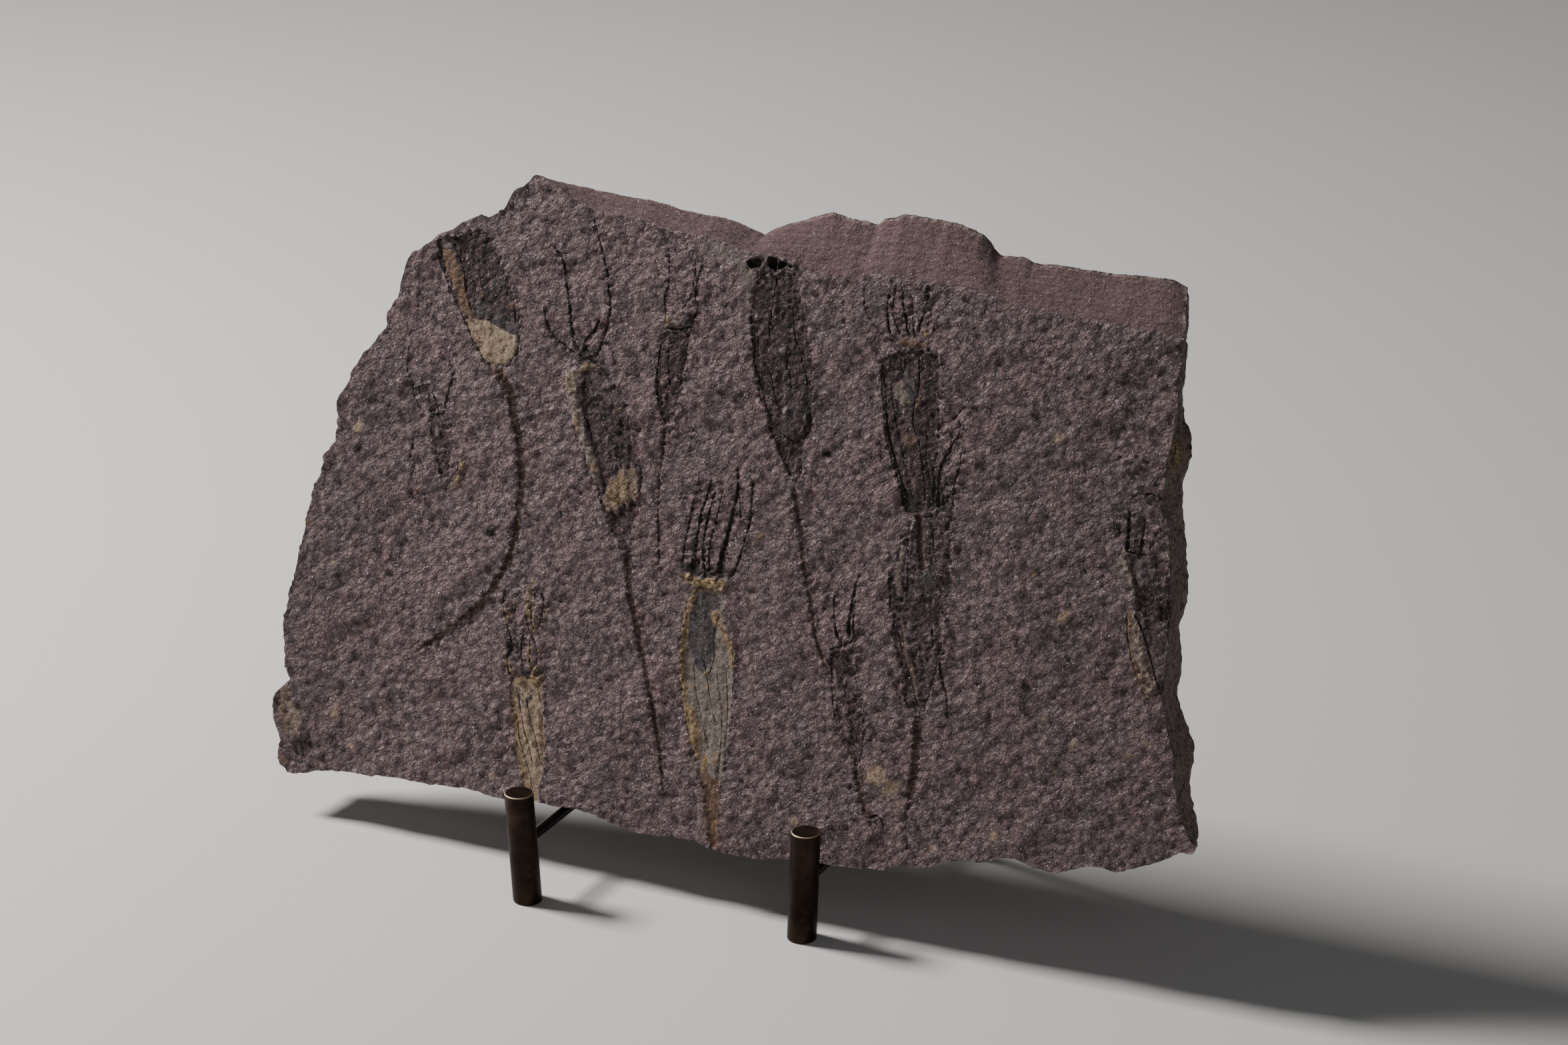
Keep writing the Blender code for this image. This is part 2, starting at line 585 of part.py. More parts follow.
def build_stand():
    """Model both sides of the stand and the bar that joins them."""
    pieces = build_side("left", POST_LEFT, POST_LEFT_LEAN)
    pieces += build_side("right", POST_RIGHT, POST_RIGHT_LEAN)
    left_x = next(o for o in pieces if o.name == "rear_post_left").location.x / MM
    right_x = next(o for o in pieces if o.name == "rear_post_right").location.x / MM
    reach = POST_DIAMETER / 2 + GAP
    pieces.append(build_rod("cross_bar", (left_x + reach, REAR_Y, CROSS_BAR_HEIGHT),
                            (right_x - reach, REAR_Y, CROSS_BAR_HEIGHT)))
    return pieces


# ---------------------------------------------------------------------------------------------
# Scene
# ---------------------------------------------------------------------------------------------
class Finish(NamedTuple):
    """A plain material: colour, roughness and metallic value."""

    name: str
    colour: tuple
    roughness: float
    metallic: float


STONE = Finish("sandstone", (0.132, 0.098, 0.102, 1.0), 0.85, 0.0)
BRASS = Finish("aged_brass", (0.22, 0.15, 0.085, 1.0), 0.38, 1.0)
DARK_BRASS = Finish("dark_brass", (0.05, 0.042, 0.036, 1.0), 0.35, 1.0)


def add_object(name, bm, finish, location=(0.0, 0.0, 0.0)):
    """Turn a bmesh into a named object with its own material."""
    mesh = bpy.data.meshes.new(name)
    bm.to_mesh(mesh)
    bm.free()
    mesh.shade_smooth()
    mesh.set_sharp_from_angle(angle=math.radians(32.0))
    material = bpy.data.materials.new(f"{name}_{finish.name}")
    material.use_nodes = True
    shader = material.node_tree.nodes["Principled BSDF"]
    shader.inputs["Base Color"].default_value = finish.colour
    shader.inputs["Roughness"].default_value = finish.roughness
    shader.inputs["Metallic"].default_value = finish.metallic
    mesh.materials.append(material)
    piece = bpy.data.objects.new(name, mesh)
    piece.location = location
    bpy.context.collection.objects.link(piece)
    return piece


def centre_on_origin(pieces):
    """Move the pieces so that the middle of the assembly's base is the world's origin."""
    bpy.context.view_layer.update()
    corners = [p.matrix_world @ v.co for p in pieces for v in p.data.vertices]
    low = Vector((min(c.x for c in corners), min(c.y for c in corners), 0.0))
    high = Vector((max(c.x for c in corners), max(c.y for c in corners), 0.0))
    for piece in pieces:
        piece.location -= (low + high) / 2.0


def main():
    """Build the slab and its stand."""
    for old in list(bpy.data.objects):
        bpy.data.objects.remove(old, do_unlink=True)
    pieces = [build_slab()] + build_stand()
    centre_on_origin(pieces)


main()
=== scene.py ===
"""Fossil crinoid plate on a bronze display stand: the finished look.

The stone is one closed mesh whose front carries the sunken moulds of stalked animals. Stem rings
and mica flakes are laid on it by Geometry Nodes. The stand is turned posts joined by round rod.

Points on the stone are written in millimetres on its front plane: u runs along the slab, v runs
up it, and w runs from the front plane into the stone. The scene itself is in metres.
"""
import logging
import math
from dataclasses import dataclass, field
from enum import Enum
from itertools import product
from typing import ClassVar, Iterable, Sequence

import bpy
import numpy as np
from mathutils import Euler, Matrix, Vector
from mathutils.geometry import delaunay_2d_cdt
from mathutils.kdtree import KDTree


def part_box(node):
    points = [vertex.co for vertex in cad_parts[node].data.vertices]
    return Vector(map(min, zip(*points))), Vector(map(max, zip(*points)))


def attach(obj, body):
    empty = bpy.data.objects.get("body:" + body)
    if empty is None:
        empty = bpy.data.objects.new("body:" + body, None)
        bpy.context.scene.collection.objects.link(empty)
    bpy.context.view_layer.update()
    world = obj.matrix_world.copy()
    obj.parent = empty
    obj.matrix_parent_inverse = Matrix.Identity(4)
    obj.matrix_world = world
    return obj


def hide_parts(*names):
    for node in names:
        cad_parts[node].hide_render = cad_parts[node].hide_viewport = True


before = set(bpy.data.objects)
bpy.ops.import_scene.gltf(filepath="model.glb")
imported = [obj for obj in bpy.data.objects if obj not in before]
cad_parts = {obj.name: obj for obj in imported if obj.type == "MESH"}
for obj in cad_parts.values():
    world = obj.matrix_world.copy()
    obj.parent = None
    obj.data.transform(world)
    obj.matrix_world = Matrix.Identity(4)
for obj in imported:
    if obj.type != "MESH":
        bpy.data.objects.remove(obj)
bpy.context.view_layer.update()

MM = 0.001
GRAIN_SLANT = math.radians(33.0)      # the rock's lumps run up to the right
GRAIN_COS = math.cos(GRAIN_SLANT)
GRAIN_SIN = math.sin(GRAIN_SLANT)
LOG = logging.getLogger("crinoid_plate")

Colour = tuple[float, float, float]
Pair = tuple[float, float]


# ---------------------------------------------------------------------------------------------
# Stains, parts of the stone and the shapes cut into it
# ---------------------------------------------------------------------------------------------
class Stain(Enum):
    """A mineral stain; its value names the point attribute that says where it lies. The black one also
    carries painted shade: it darkens creases, grooves and pits where shade falls.
    """

    OCHRE = "ochre"
    RUST = "rust"
    CREAM = "cream"
    VIOLET = "violet"
    SLATE = "slate"
    # Black stain, and painted shade in creases, grooves and pits
    SOOT_AND_SHADE = "soot"
    MOSS = "moss"
    BROWN = "brown"
    BLEACH = "bleach"


class Flank(Enum):
    """A side of the slab; its value is how far its surface strays in millimetres."""

    LEFT = 1.2
    TOP = 0.45
    RIGHT = 1.3
    BOTTOM = 0.8


def points_array(points: Iterable[Pair]) -> np.ndarray:
    """Return the points as an (n, 2) array of floats."""
    return np.array(list(points), dtype=float).reshape(-1, 2)


def smooth_ramp(share: np.ndarray) -> np.ndarray:
    """Return the smooth ramp from 0 to 1 for shares from 0 to 1."""
    share = np.clip(share, 0.0, 1.0)
    return share * share * (3.0 - 2.0 * share)


def resample(line: np.ndarray, count: int) -> np.ndarray:
    """Spread points evenly along an open line.

    Args:
        line: The line's points, (n, 2).
        count: How many points to return, both ends among them.

    Returns:
        The (count, 2) array of points.
    """
    lengths = np.hypot(*np.diff(line, axis=0).T)
    along = np.concatenate([[0.0], np.cumsum(lengths)])
    wanted = np.linspace(0.0, along[-1], count)
    return np.column_stack([np.interp(wanted, along, line[:, k]) for k in range(2)])


def smooth_line(points: Sequence[Pair], step: float) -> np.ndarray:
    """Run a smooth curve through points and return it as a line of short steps.

    Args:
        points: Points that the curve passes.
        step: Length of a step in millimetres.

    Returns:
        The curve's points, (n, 2).
    """
    knots = points_array(points)
    padded = np.vstack([2 * knots[0] - knots[1], knots, 2 * knots[-1] - knots[-2]])
    pieces = []
    for i in range(len(knots) - 1):
        before, start, end, after = padded[i:i + 4]
        count = max(1, round(float(np.hypot(*(end - start))) / step))
        t = (np.arange(count) / count)[:, None]
        pieces.append(0.5 * (2 * start + (end - before) * t
                             + (2 * before - 5 * start + 4 * end - after) * t ** 2
                             + (3 * start - before - 3 * end + after) * t ** 3))
    return np.vstack(pieces + [knots[-1:]])


def line_distance(points: np.ndarray, line: np.ndarray) -> tuple[np.ndarray, np.ndarray]:
    """Measure how far points are from an open line.

    Args:
        points: The points, (n, 2).
        line: The line, (m, 2).

    Returns:
        The distance of each point, and how far along the line its foot is, from 0 to 1.
    """
    best = np.full(len(points), np.inf)
    share = np.zeros(len(points))
    lengths = np.hypot(*np.diff(line, axis=0).T)
    starts = np.concatenate([[0.0], np.cumsum(lengths)])
    for i, length in enumerate(lengths):
        along = (line[i + 1] - line[i]) / max(length, 1e-9)
        offset = points - line[i]
        t = np.clip(offset @ along, 0.0, length)
        distance = np.hypot(*(offset - t[:, None] * along).T)
        closer = distance < best
        best[closer] = distance[closer]
        share[closer] = (starts[i] + t[closer]) / starts[-1]
    return best, share


def rows_beside(line: np.ndarray, offsets: Sequence[np.ndarray | float]) -> np.ndarray:
    """Return points in rows beside a line.

    Args:
        line: The points of the line.
        offsets: How far each row lies to the left of the line.

    Returns:
        The points of all the rows.
    """
    along = np.gradient(line, axis=0)
    along /= np.hypot(*along.T)[:, None]
    across = np.column_stack([-along[:, 1], along[:, 0]])
    return np.vstack([line + across * np.reshape(offset, (-1, 1)) for offset in offsets])


def is_inside(points: np.ndarray, loop: np.ndarray) -> np.ndarray:
    """Tell for each point whether it lies inside a closed line of points."""
    inside = np.zeros(len(points), dtype=bool)
    for (u0, v0), (u1, v1) in zip(loop, np.roll(loop, -1, axis=0)):
        if v0 == v1:
            continue
        crossing = (v0 > points[:, 1]) != (v1 > points[:, 1])
        limit = (u1 - u0) * (points[:, 1] - v0) / (v1 - v0) + u0
        inside ^= crossing & (points[:, 0] < limit)
    return inside


def inward_distance(points: np.ndarray, loop: np.ndarray) -> np.ndarray:
    """Return each point's distance from a closed line, positive inside it."""
    distance, _ = line_distance(points, np.vstack([loop, loop[:1]]))
    return np.where(is_inside(points, loop), distance, -distance)


@dataclass(frozen=True)
class RockNoise:
    """Smooth random values that are the same in every run."""

    seed: int

    def value(self, places: np.ndarray) -> np.ndarray:
        """Return gradient noise, about -1 to 1.

        Args:
            places: Where to read it, (n, 3), one cell to a unit.

        Returns:
            One value for each place.
        """
        cell = np.floor(places).astype(np.int64)
        local = places - cell
        fade = local ** 3 * (local * (local * 6.0 - 15.0) + 10.0)
        total = np.zeros(len(places))
        for corner in product((0, 1), repeat=3):
            step = np.array(corner)
            weight = np.where(step == 1, fade, 1.0 - fade).prod(axis=1)
            total += weight * (self._slopes(cell + step) * (local - step)).sum(axis=1)
        return 1.6 * total

    def fractal(self, places: np.ndarray, octaves: int, gain: float = 0.5) -> np.ndarray:
        """Return several octaves of noise added up.

        Args:
            places: Where to read it, (n, 3).
            octaves: How many layers, each twice as fine as the last.
            gain: Height of each layer over the last.

        Returns:
            One value for each place.
        """
        total = np.zeros(len(places))
        height = 1.0
        for octave in range(octaves):
            total += height * self.value(places * 2.03 ** octave + 17.3 * octave)
            height *= gain
        return total

    def _slopes(self, cell: np.ndarray) -> np.ndarray:
        """Return the fixed random slope of each lattice cell, (n, 3)."""
        key = cell[:, 0] * 73856093 ^ cell[:, 1] * 19349663 ^ cell[:, 2] * 83492791
        key = (key ^ self.seed * 40503) & 0x7FFFFFFF
        key = ((key >> 13) ^ key) * 1274126177 & 0x7FFFFFFF
        return SLOPES[((key >> 11) ^ key) & 255]


def random_slopes() -> np.ndarray:
    """Return 256 fixed random unit vectors."""
    vectors = np.random.default_rng(11).normal(size=(256, 3))
    return vectors / np.linalg.norm(vectors, axis=1)[:, None]


SLOPES = random_slopes()


@dataclass
class Ground:
    """Heights and stains being worked out at points of the front face.

    Heights are in millimetres; the stains run from 0 to 1.
    """

    points: np.ndarray
    pan: np.ndarray = field(init=False)
    cut: np.ndarray = field(init=False)
    crust: np.ndarray = field(init=False)
    ragged: np.ndarray = field(init=False)
    crumb: np.ndarray = field(init=False)
    stains: dict[Stain, np.ndarray] = field(init=False)

    def __post_init__(self) -> None:
        """Start with no moulds, crusts or stains."""
        count = len(self.points)
        self.pan, self.cut, self.crust = (np.zeros(count) for _ in range(3))
        spots = np.column_stack([self.points * 0.55, np.full(count, 3.0)])
        self.ragged = RockNoise(3).fractal(spots, 2)
        self.crumb = RockNoise(5).fractal(spots * 1.6, 2)
        self.stains = {stain: np.zeros(count) for stain in Stain}

    def near(self, line: np.ndarray, margin: float) -> np.ndarray:
        """Return the indices of the points within a margin of a line's box."""
        low, high = line.min(axis=0) - margin, line.max(axis=0) + margin
        return np.flatnonzero(((self.points > low) & (self.points < high)).all(axis=1))

    def tint(self, stain: Stain, near: np.ndarray, amount: np.ndarray) -> None:
        """Raise a stain at the points with these indices to at least the amount."""
        self.stains[stain][near] = np.maximum(self.stains[stain][near], np.clip(amount, 0, 1))


@dataclass(frozen=True)
class Groove:
    """A sunken line: the mould of an arm or a stem, or a seam between plates.

    The width and the depth go from the first point to the last.
    """

    line: Sequence[Pair]
    width: Pair
    depth: Pair
    stain: Stain
    strength: float

    def centre(self, step: float) -> np.ndarray:
        """Return the groove's centre line in short steps."""
        return smooth_line(self.line, step)

    def press(self, ground: Ground) -> None:
        """Cut the groove and its stain into the ground."""
        line = self.centre(1.2)
        near = ground.near(line, 4.0)
        distance, share = line_distance(ground.points[near], line)
        half = 0.5 * np.interp(share, [0, 1], self.width)
        half = half * (1.0 + 0.16 * ground.ragged[near])
        reach = distance / half
        ends = smooth_ramp(np.minimum(share, 1.0 - share) * 12.0 + 0.25)
        depth = np.interp(share, [0, 1], self.depth) * ends
        cut = depth * np.clip(1.0 - reach ** 2, 0.0, 1.0) ** 0.75
        ground.cut[near] = np.maximum(ground.cut[near], cut)
        ground.crust[near] += 0.12 * depth * np.exp(-((reach - 1.35) / 0.35) ** 2)
        # The stain is darkest in the groove's middle; where it is the black one, it is partly stain and
        # partly painted shade in the groove
        patchy = self.strength * ends * (0.9 + 0.4 * ground.crumb[near])
        ground.tint(self.stain, near, patchy * (1.2 - 0.9 * reach))
        ground.tint(Stain.VIOLET, near, 0.6 * patchy * (1.8 - reach))

    def rows(self, step: float) -> np.ndarray:
        """Return points in rows along the groove, for the mesh to follow it."""
        line = self.centre(step)
        half = np.linspace(0.5 * self.width[0], 0.5 * self.width[1], len(line))
        offsets = [0.0, half, -half, half + 0.28, -half - 0.28]
        if max(self.width) > 1.3:
            offsets += [0.5 * half, -0.5 * half]
        return rows_beside(line, offsets)


@dataclass(frozen=True)
class Pan:
    """A sunken area: the mould of a body, with a crease along its edge."""

    outline: Sequence[Pair]
    depth: float
    stain: Stain
    strength: float
    crease: float = 0.25

    def loop(self, step: float) -> np.ndarray:
        """Return the smooth outline in short steps, without its first point again."""
        return smooth_line(list(self.outline) + [self.outline[0]], step)[:-1]

    def press(self, ground: Ground) -> None:
        """Sink the pan, its crease and its stain into the ground."""
        loop = self.loop(1.0)
        near = ground.near(loop, 3.0)
        inward = inward_distance(ground.points[near], loop)
        ragged = inward + 0.25 * ground.ragged[near]
        ground.pan[near] = np.maximum(ground.pan[near], self.depth * smooth_ramp(ragged / 0.6))
        line = np.exp(-(inward / 0.20) ** 2) * np.clip(0.7 + 0.9 * ground.ragged[near], 0.1, 1.2)
        ground.cut[near] = np.maximum(ground.cut[near], self.crease * line)
        # The black tint along the crease is painted shade in it
        ground.tint(Stain.SOOT_AND_SHADE, near, 2.2 * self.crease * line)
        ground.tint(self.stain, near, self.strength * smooth_ramp(ragged / 1.6 + 0.5))

    def rows(self, step: float) -> np.ndarray:
        """Return points in rows along the outline, for the mesh to follow it."""
        return rows_beside(self.loop(step), [0.0, 0.27, -0.27, 0.62, -0.62])

    def fine_zone(self, points: np.ndarray) -> np.ndarray:
        """Tell which points need the fine mesh of this pan."""
        return inward_distance(points, points_array(self.outline)) > -1.3


@dataclass(frozen=True)
class Crust:
    """A coat or lump of another mineral with a crumbly top; a height of 0 is a mere stain."""

    outline: Sequence[Pair]
    height: float
    stain: Stain
    strength: float
    soft: float = 1.0

    def press(self, ground: Ground) -> None:
        """Lay the crust and its stain on the ground."""
        loop = points_array(self.outline)
        near = ground.near(loop, 2.0 + self.soft)
        inward = inward_distance(ground.points[near], loop) + 0.5 * ground.ragged[near]
        rise = smooth_ramp(inward / 1.1 + 0.3)
        ground.crust[near] += self.height * rise * (1.0 + 0.55 * ground.crumb[near])
        amount = smooth_ramp(inward / (2.0 * self.soft) + 0.5)
        ground.tint(self.stain, near, self.strength * amount)

    def fine_zone(self, points: np.ndarray) -> np.ndarray:
        """Tell which points need a fine mesh for this crust."""
        if self.height == 0.0:
            return np.zeros(len(points), dtype=bool)
        return inward_distance(points, points_array(self.outline)) > -0.8


Shape = Groove | Pan | Crust


def arm(*line: Pair, width: Pair = (0.6, 1.1), depth: Pair = (0.15, 0.35),
        stain: Stain = Stain.SOOT_AND_SHADE, strength: float = 0.6) -> Groove:
    """Return the groove of an arm, from its tip to its base.

    Args:
        line: Points along the arm.
        width: Width at the tip and at the base.
        depth: Depth at the tip and at the base.
        stain: The stain in the groove.
        strength: How strong the stain is.

    Returns:
        The groove.
    """
    return Groove(line, width, depth, stain, strength)


def stem(*line: Pair, width: Pair = (3.0, 2.6), depth: Pair = (0.5, 0.4),
         stain: Stain = Stain.BROWN, strength: float = 1.0) -> Groove:
    """Return the groove of a stem, from the body down; the arguments are as for an arm."""
    return Groove(line, width, depth, stain, strength)


def seam(*line: Pair, width: float = 0.5, depth: float = 0.2,
         stain: Stain = Stain.SOOT_AND_SHADE, strength: float = 0.55) -> Groove:
    """Return a fine line between two plates of a body; the arguments are as for an arm."""
    return Groove(line, (width, width), (depth, depth), stain, strength)


def body(*outline: Pair, depth: float = 0.40, stain: Stain = Stain.VIOLET,
         strength: float = 0.6, crease: float = 0.25) -> Pan:
    """Return the pan of a body.

    Args:
        outline: Its outline.
        depth: Its depth.
        stain: The stain on its floor.
        strength: How strong the stain is.
        crease: Depth of the crease along its edge.

    Returns:
        The pan.
    """
    return Pan(outline, depth, stain, strength, crease)


def crust(*outline: Pair, height: float = 0.5, stain: Stain = Stain.OCHRE,
          strength: float = 1.0, soft: float = 0.8) -> Crust:
    """Return a crust.

    Args:
        outline: Its outline.
        height: How far it stands up.
        stain: Its mineral.
        strength: How strong its colour is.
        soft: How far the colour fades at its edge.

    Returns:
        The crust.
    """
    return Crust(outline, height, stain, strength, soft)


def spot(u: float, v: float, radius: float, stain: Stain = Stain.CREAM, height: float = 0.0,
         strength: float = 0.9, slant: float = 1.0, soft: float = 0.8) -> Crust:
    """Return a round or slanting spot of a mineral.

    Args:
        u: Its middle along the slab.
        v: Its middle up the slab.
        radius: Its radius.
        stain: Its mineral.
        height: How far it stands up.
        strength: How strong its colour is.
        slant: Its length over its width, drawn out along the grain.
        soft: How far the colour fades at its edge.

    Returns:
        The spot.
    """
    outline = []
    for k in range(9):
        angle = math.tau * k / 9
        along = radius * slant * math.cos(angle)
        across = radius * (1.0 + 0.25 * math.sin(3.0 * angle + u)) * math.sin(angle)
        outline.append((u + along * GRAIN_COS - across * GRAIN_SIN,
                        v + along * GRAIN_SIN + across * GRAIN_COS))
    return Crust(outline, height, stain, strength, soft)


# ---------------------------------------------------------------------------------------------
# The animals, from left to right
# ---------------------------------------------------------------------------------------------
LONG_STEMMED = [
    body((-121.1, 189), (-120.1, 184), (-118.1, 179), (-114.5, 174.1), (-111, 168.6), (-107, 163.1),
        (-104, 158.1), (-100.4, 153.1), (-96.9, 149.1), (-94.9, 147.9), (-88.9, 149.6), (-86.4, 151.6),
        (-85.1, 154.1), (-85.1, 158.1), (-86.4, 166.6), (-89.4, 173.1), (-93.4, 181), (-96.9, 186),
        (-99.9, 191), (-105, 194), (-112, 191), (-117, 190), strength=0.62),
    crust((-118.9, 182.1), (-117.8, 184.4), (-115.8, 185.9), (-114.0, 185.5), (-112.9, 182.0),
        (-109.4, 178.0), (-108.3, 174.7), (-108.3, 171.8), (-105.4, 168.3), (-103.6, 165.6),
        (-105.0, 162.5), (-108.1, 164.6), (-110.5, 167.9), (-113.1, 173.1), (-116.0, 177.9), height=0.3,
        strength=0.75, stain=Stain.RUST, soft=0.5),
    crust((-120.7, 187.3), (-118.2, 191.2), (-115.7, 188.8), (-115.3, 186.5), (-118.1, 184.8),
        height=0.2, strength=0.5, stain=Stain.BLEACH, soft=0.8),
    spot(-117.5, 184.5, 1.3, Stain.OCHRE, 0.1, 0.7, 1.4),
    spot(-112, 173.1, 1.2, Stain.BLEACH, 0.1, 0.6, 1.6),
    seam((-114.5, 188), (-112.5, 184), (-110, 180), (-108, 172.1), (-104.5, 165.1), depth=0.3),
    crust((-107, 162.6), (-103, 163.3), (-98.9, 163.4), (-94.9, 162.1), (-90.9, 160.8), (-86.1, 160.1),
        (-85.8, 156.1), (-86.5, 152.8), (-88.9, 150.3), (-94.4, 148.1), (-98.9, 151.1), (-103, 156.1),
        height=0.4, stain=Stain.CREAM, strength=0.95, soft=0.35),
    crust((-105, 157.6), (-102.5, 158.1), (-98.9, 151.6), (-100.4, 150.6), height=0.0, strength=0.45,
        stain=Stain.RUST, soft=0.8),
    crust((-104.5, 164.6), (-103.5, 169.1), (-99.9, 170.6), (-97.4, 168.1), (-98.4, 163.6), height=0.0,
        stain=Stain.SLATE, strength=0.62, soft=1.2),
    crust((-96.4, 163.1), (-94.9, 167.1), (-89.9, 166.1), (-86.9, 164.6), (-86.4, 160.3), (-90.9, 161),
        height=0.0, stain=Stain.SLATE, strength=0.95, soft=0.6),
    spot(-91.4, 163.6, 2.2, Stain.SOOT_AND_SHADE, 0.0, 0.5, 1.3, 1.2),
    spot(-101.4, 172.1, 1.5, Stain.RUST, 0.2, 0.5, 1.3),
    spot(-89.9, 169.6, 1.7, Stain.RUST, 0.25, 0.5, 1.4),
    spot(-96.4, 176, 2.4, Stain.SLATE, 0.2, 0.55, 1.5),
    spot(-101.9, 184, 2.6, Stain.SOOT_AND_SHADE, -0.2, 0.4, 1.4, 1.5),
    spot(-107.5, 190, 3.0, Stain.SOOT_AND_SHADE, 0.2, 0.3, 1.3, 1.5),
    seam((-93.4, 181), (-90.4, 174.6), (-88.9, 170.1), (-87.4, 163.1), width=0.6, depth=0.3),
    seam((-108.5, 184), (-106.5, 178), (-103.8, 172.1)),
    seam((-104, 182), (-102.5, 176), (-99.9, 172.1)),
    stem((-92.9, 149.1), (-90.4, 144.6), (-86.7, 140.5), (-84.9, 135.1), (-83.3, 130.1), (-81.3, 125.2),
        (-80.1, 120.2), (-79.2, 115.2), (-78.4, 105.2), (-78.1, 95.2), (-79.5, 85.2), (-81.1, 80.2),
        (-86.1, 70.3), (-89.5, 65.3), (-94.3, 60.3), (-99.2, 55.3), (-105, 50.3), (-110.5, 46.3),
        (-114, 43.3), width=(3.4, 2.0), depth=(0.42, 0.21) ),
    crust((-94.5, 147.6), (-88.4, 148.5), (-85.7, 140.5), (-87.9, 139.3), (-90.8, 142.7), height=0.0,
        stain=Stain.RUST, strength=0.52, soft=0.5),
    seam((-121.3, 185), (-118.4, 178.8), (-114.7, 172.9), (-110.6, 166.8), (-107.4, 162),
        (-104.2, 157.4), (-100.6, 152.6), (-97, 148.9), width=0.45, depth=0.25, strength=0.8),
    crust((-105.7, 160.5), (-101.7, 161.5), (-99.7, 155.7), (-98.8, 151.5), (-101.8, 155.7), height=0.0,
        strength=0.42, stain=Stain.RUST, soft=0.8),
    crust((-92.9, 146.7), (-89.6, 147.7), (-86.7, 141.8), (-85.9, 138.9), (-88.2, 139.3), height=0.0,
        strength=0.5, stain=Stain.OCHRE, soft=0.5),
]
SMALL_LEFT = [
    body((-116.7, 127.2), (-116.4, 121.8), (-114.2, 116.3), (-111.9, 110.8), (-109.8, 106.4),
        (-107.0, 107.1), (-106.6, 111.7), (-107.2, 118.1), (-109.0, 122.9), (-110.5, 128.2),
        (-113.6, 128.2), depth=0.2, strength=0.5, crease=0.12),
    crust((-114.2, 122.0), (-109.6, 123.2), (-108.1, 118.0), (-113.0, 116.8), height=0.0,
        stain=Stain.VIOLET, strength=0.95, soft=0.6),
    crust((-113.2, 115.0), (-107.5, 116.3), (-107.3, 111.6), (-111.7, 111.1), height=0.0,
        stain=Stain.VIOLET, strength=0.95, soft=0.6),
    crust((-114.2, 123.2), (-112.7, 123.2), (-112.4, 120.6), (-113.7, 120.4), height=0.25,
        stain=Stain.BLEACH, strength=0.62, soft=0.4),
    crust((-113.0, 116.6), (-109.3, 117.4), (-109.3, 115.8), (-112.6, 115.1), height=0.25,
        stain=Stain.BLEACH, strength=0.62, soft=0.4),
    crust((-117.6, 126.7), (-115.7, 121.9), (-112.3, 110.7), (-113.3, 108.4), (-116.3, 115.9),
        (-118.4, 122.9), height=0.15, stain=Stain.MOSS, strength=0.35, soft=0.8),
    arm((-127.9, 151.3), (-127.9, 144.8), (-127.2, 141.2), (-125.3, 137.9), (-124.7, 135.0),
        (-123.7, 132.3), (-121.6, 130.3), width=(0.4, 0.5), strength=0.6),
    arm((-124.7, 134.9), (-122.7, 136.7), (-119.2, 137.9), width=(0.4, 0.45), strength=0.5),
    arm((-118.8, 135.6), (-117.8, 131.8), (-116.9, 127.7), width=(0.6, 0.8), depth=(0.2, 0.35),
        strength=0.85),
    arm((-117.2, 135.6), (-115.6, 133.2), (-114.3, 130.5), (-113.7, 128.5), width=(0.6, 0.8),
        depth=(0.2, 0.35), strength=0.85),
    arm((-109.2, 143.9), (-110.3, 139.5), (-111.0, 135.0), (-111.3, 131.0), (-111.5, 128.8),
        width=(0.5, 0.8), depth=(0.2, 0.35), strength=0.75),
    seam((-116.6, 127.9), (-113.6, 128.2), (-110.9, 129.2), width=0.75, depth=0.38, strength=0.95),
    seam((-121.8, 121.6), (-122.5, 116.8), (-122.6, 112.0), (-121.3, 110.7), (-120.5, 108.3),
        (-122.0, 104.4), width=0.45, strength=0.55),
    seam((-121.2, 129.0), (-120.1, 126.3), (-122.4, 124.5), width=0.45, strength=0.4),
    crust((-101.0, 114.6), (-101.7, 109.6), (-102.3, 104.8), (-104.4, 104.4), (-104.7, 107.0),
        (-103.6, 110.0), (-103.3, 113.3), height=0.3, strength=0.62, soft=0.4),
    seam((-103.7, 113.7), (-103.6, 109.2), (-104.2, 107.3), width=0.6, depth=0.3, strength=0.7),
    crust((-120.4, 101.7), (-118.8, 102.3), (-117.3, 100.4), (-118.7, 99.4), height=0.3,
        stain=Stain.RUST, strength=0.7, soft=0.4),
    crust((-120.7, 98.7), (-118.0, 99.4), (-117.9, 97.0), (-120.1, 96.6), height=0.4, stain=Stain.BLEACH,
        strength=0.4, soft=0.5),
    seam((-122.1, 99.6), (-120.4, 99.2), (-120.2, 96.6), width=0.7, depth=0.35, strength=0.7),
    seam((-115.9, 99.9), (-115.0, 97.5), (-115.4, 96.2), width=0.4, strength=0.6),
    spot(-106, 89.2, 0.9, Stain.RUST, 0.1, 0.5),
    spot(-105.3, 98.6, 3.0, Stain.BLEACH, 0.0, 0.45, 1.6, 2.0),
]
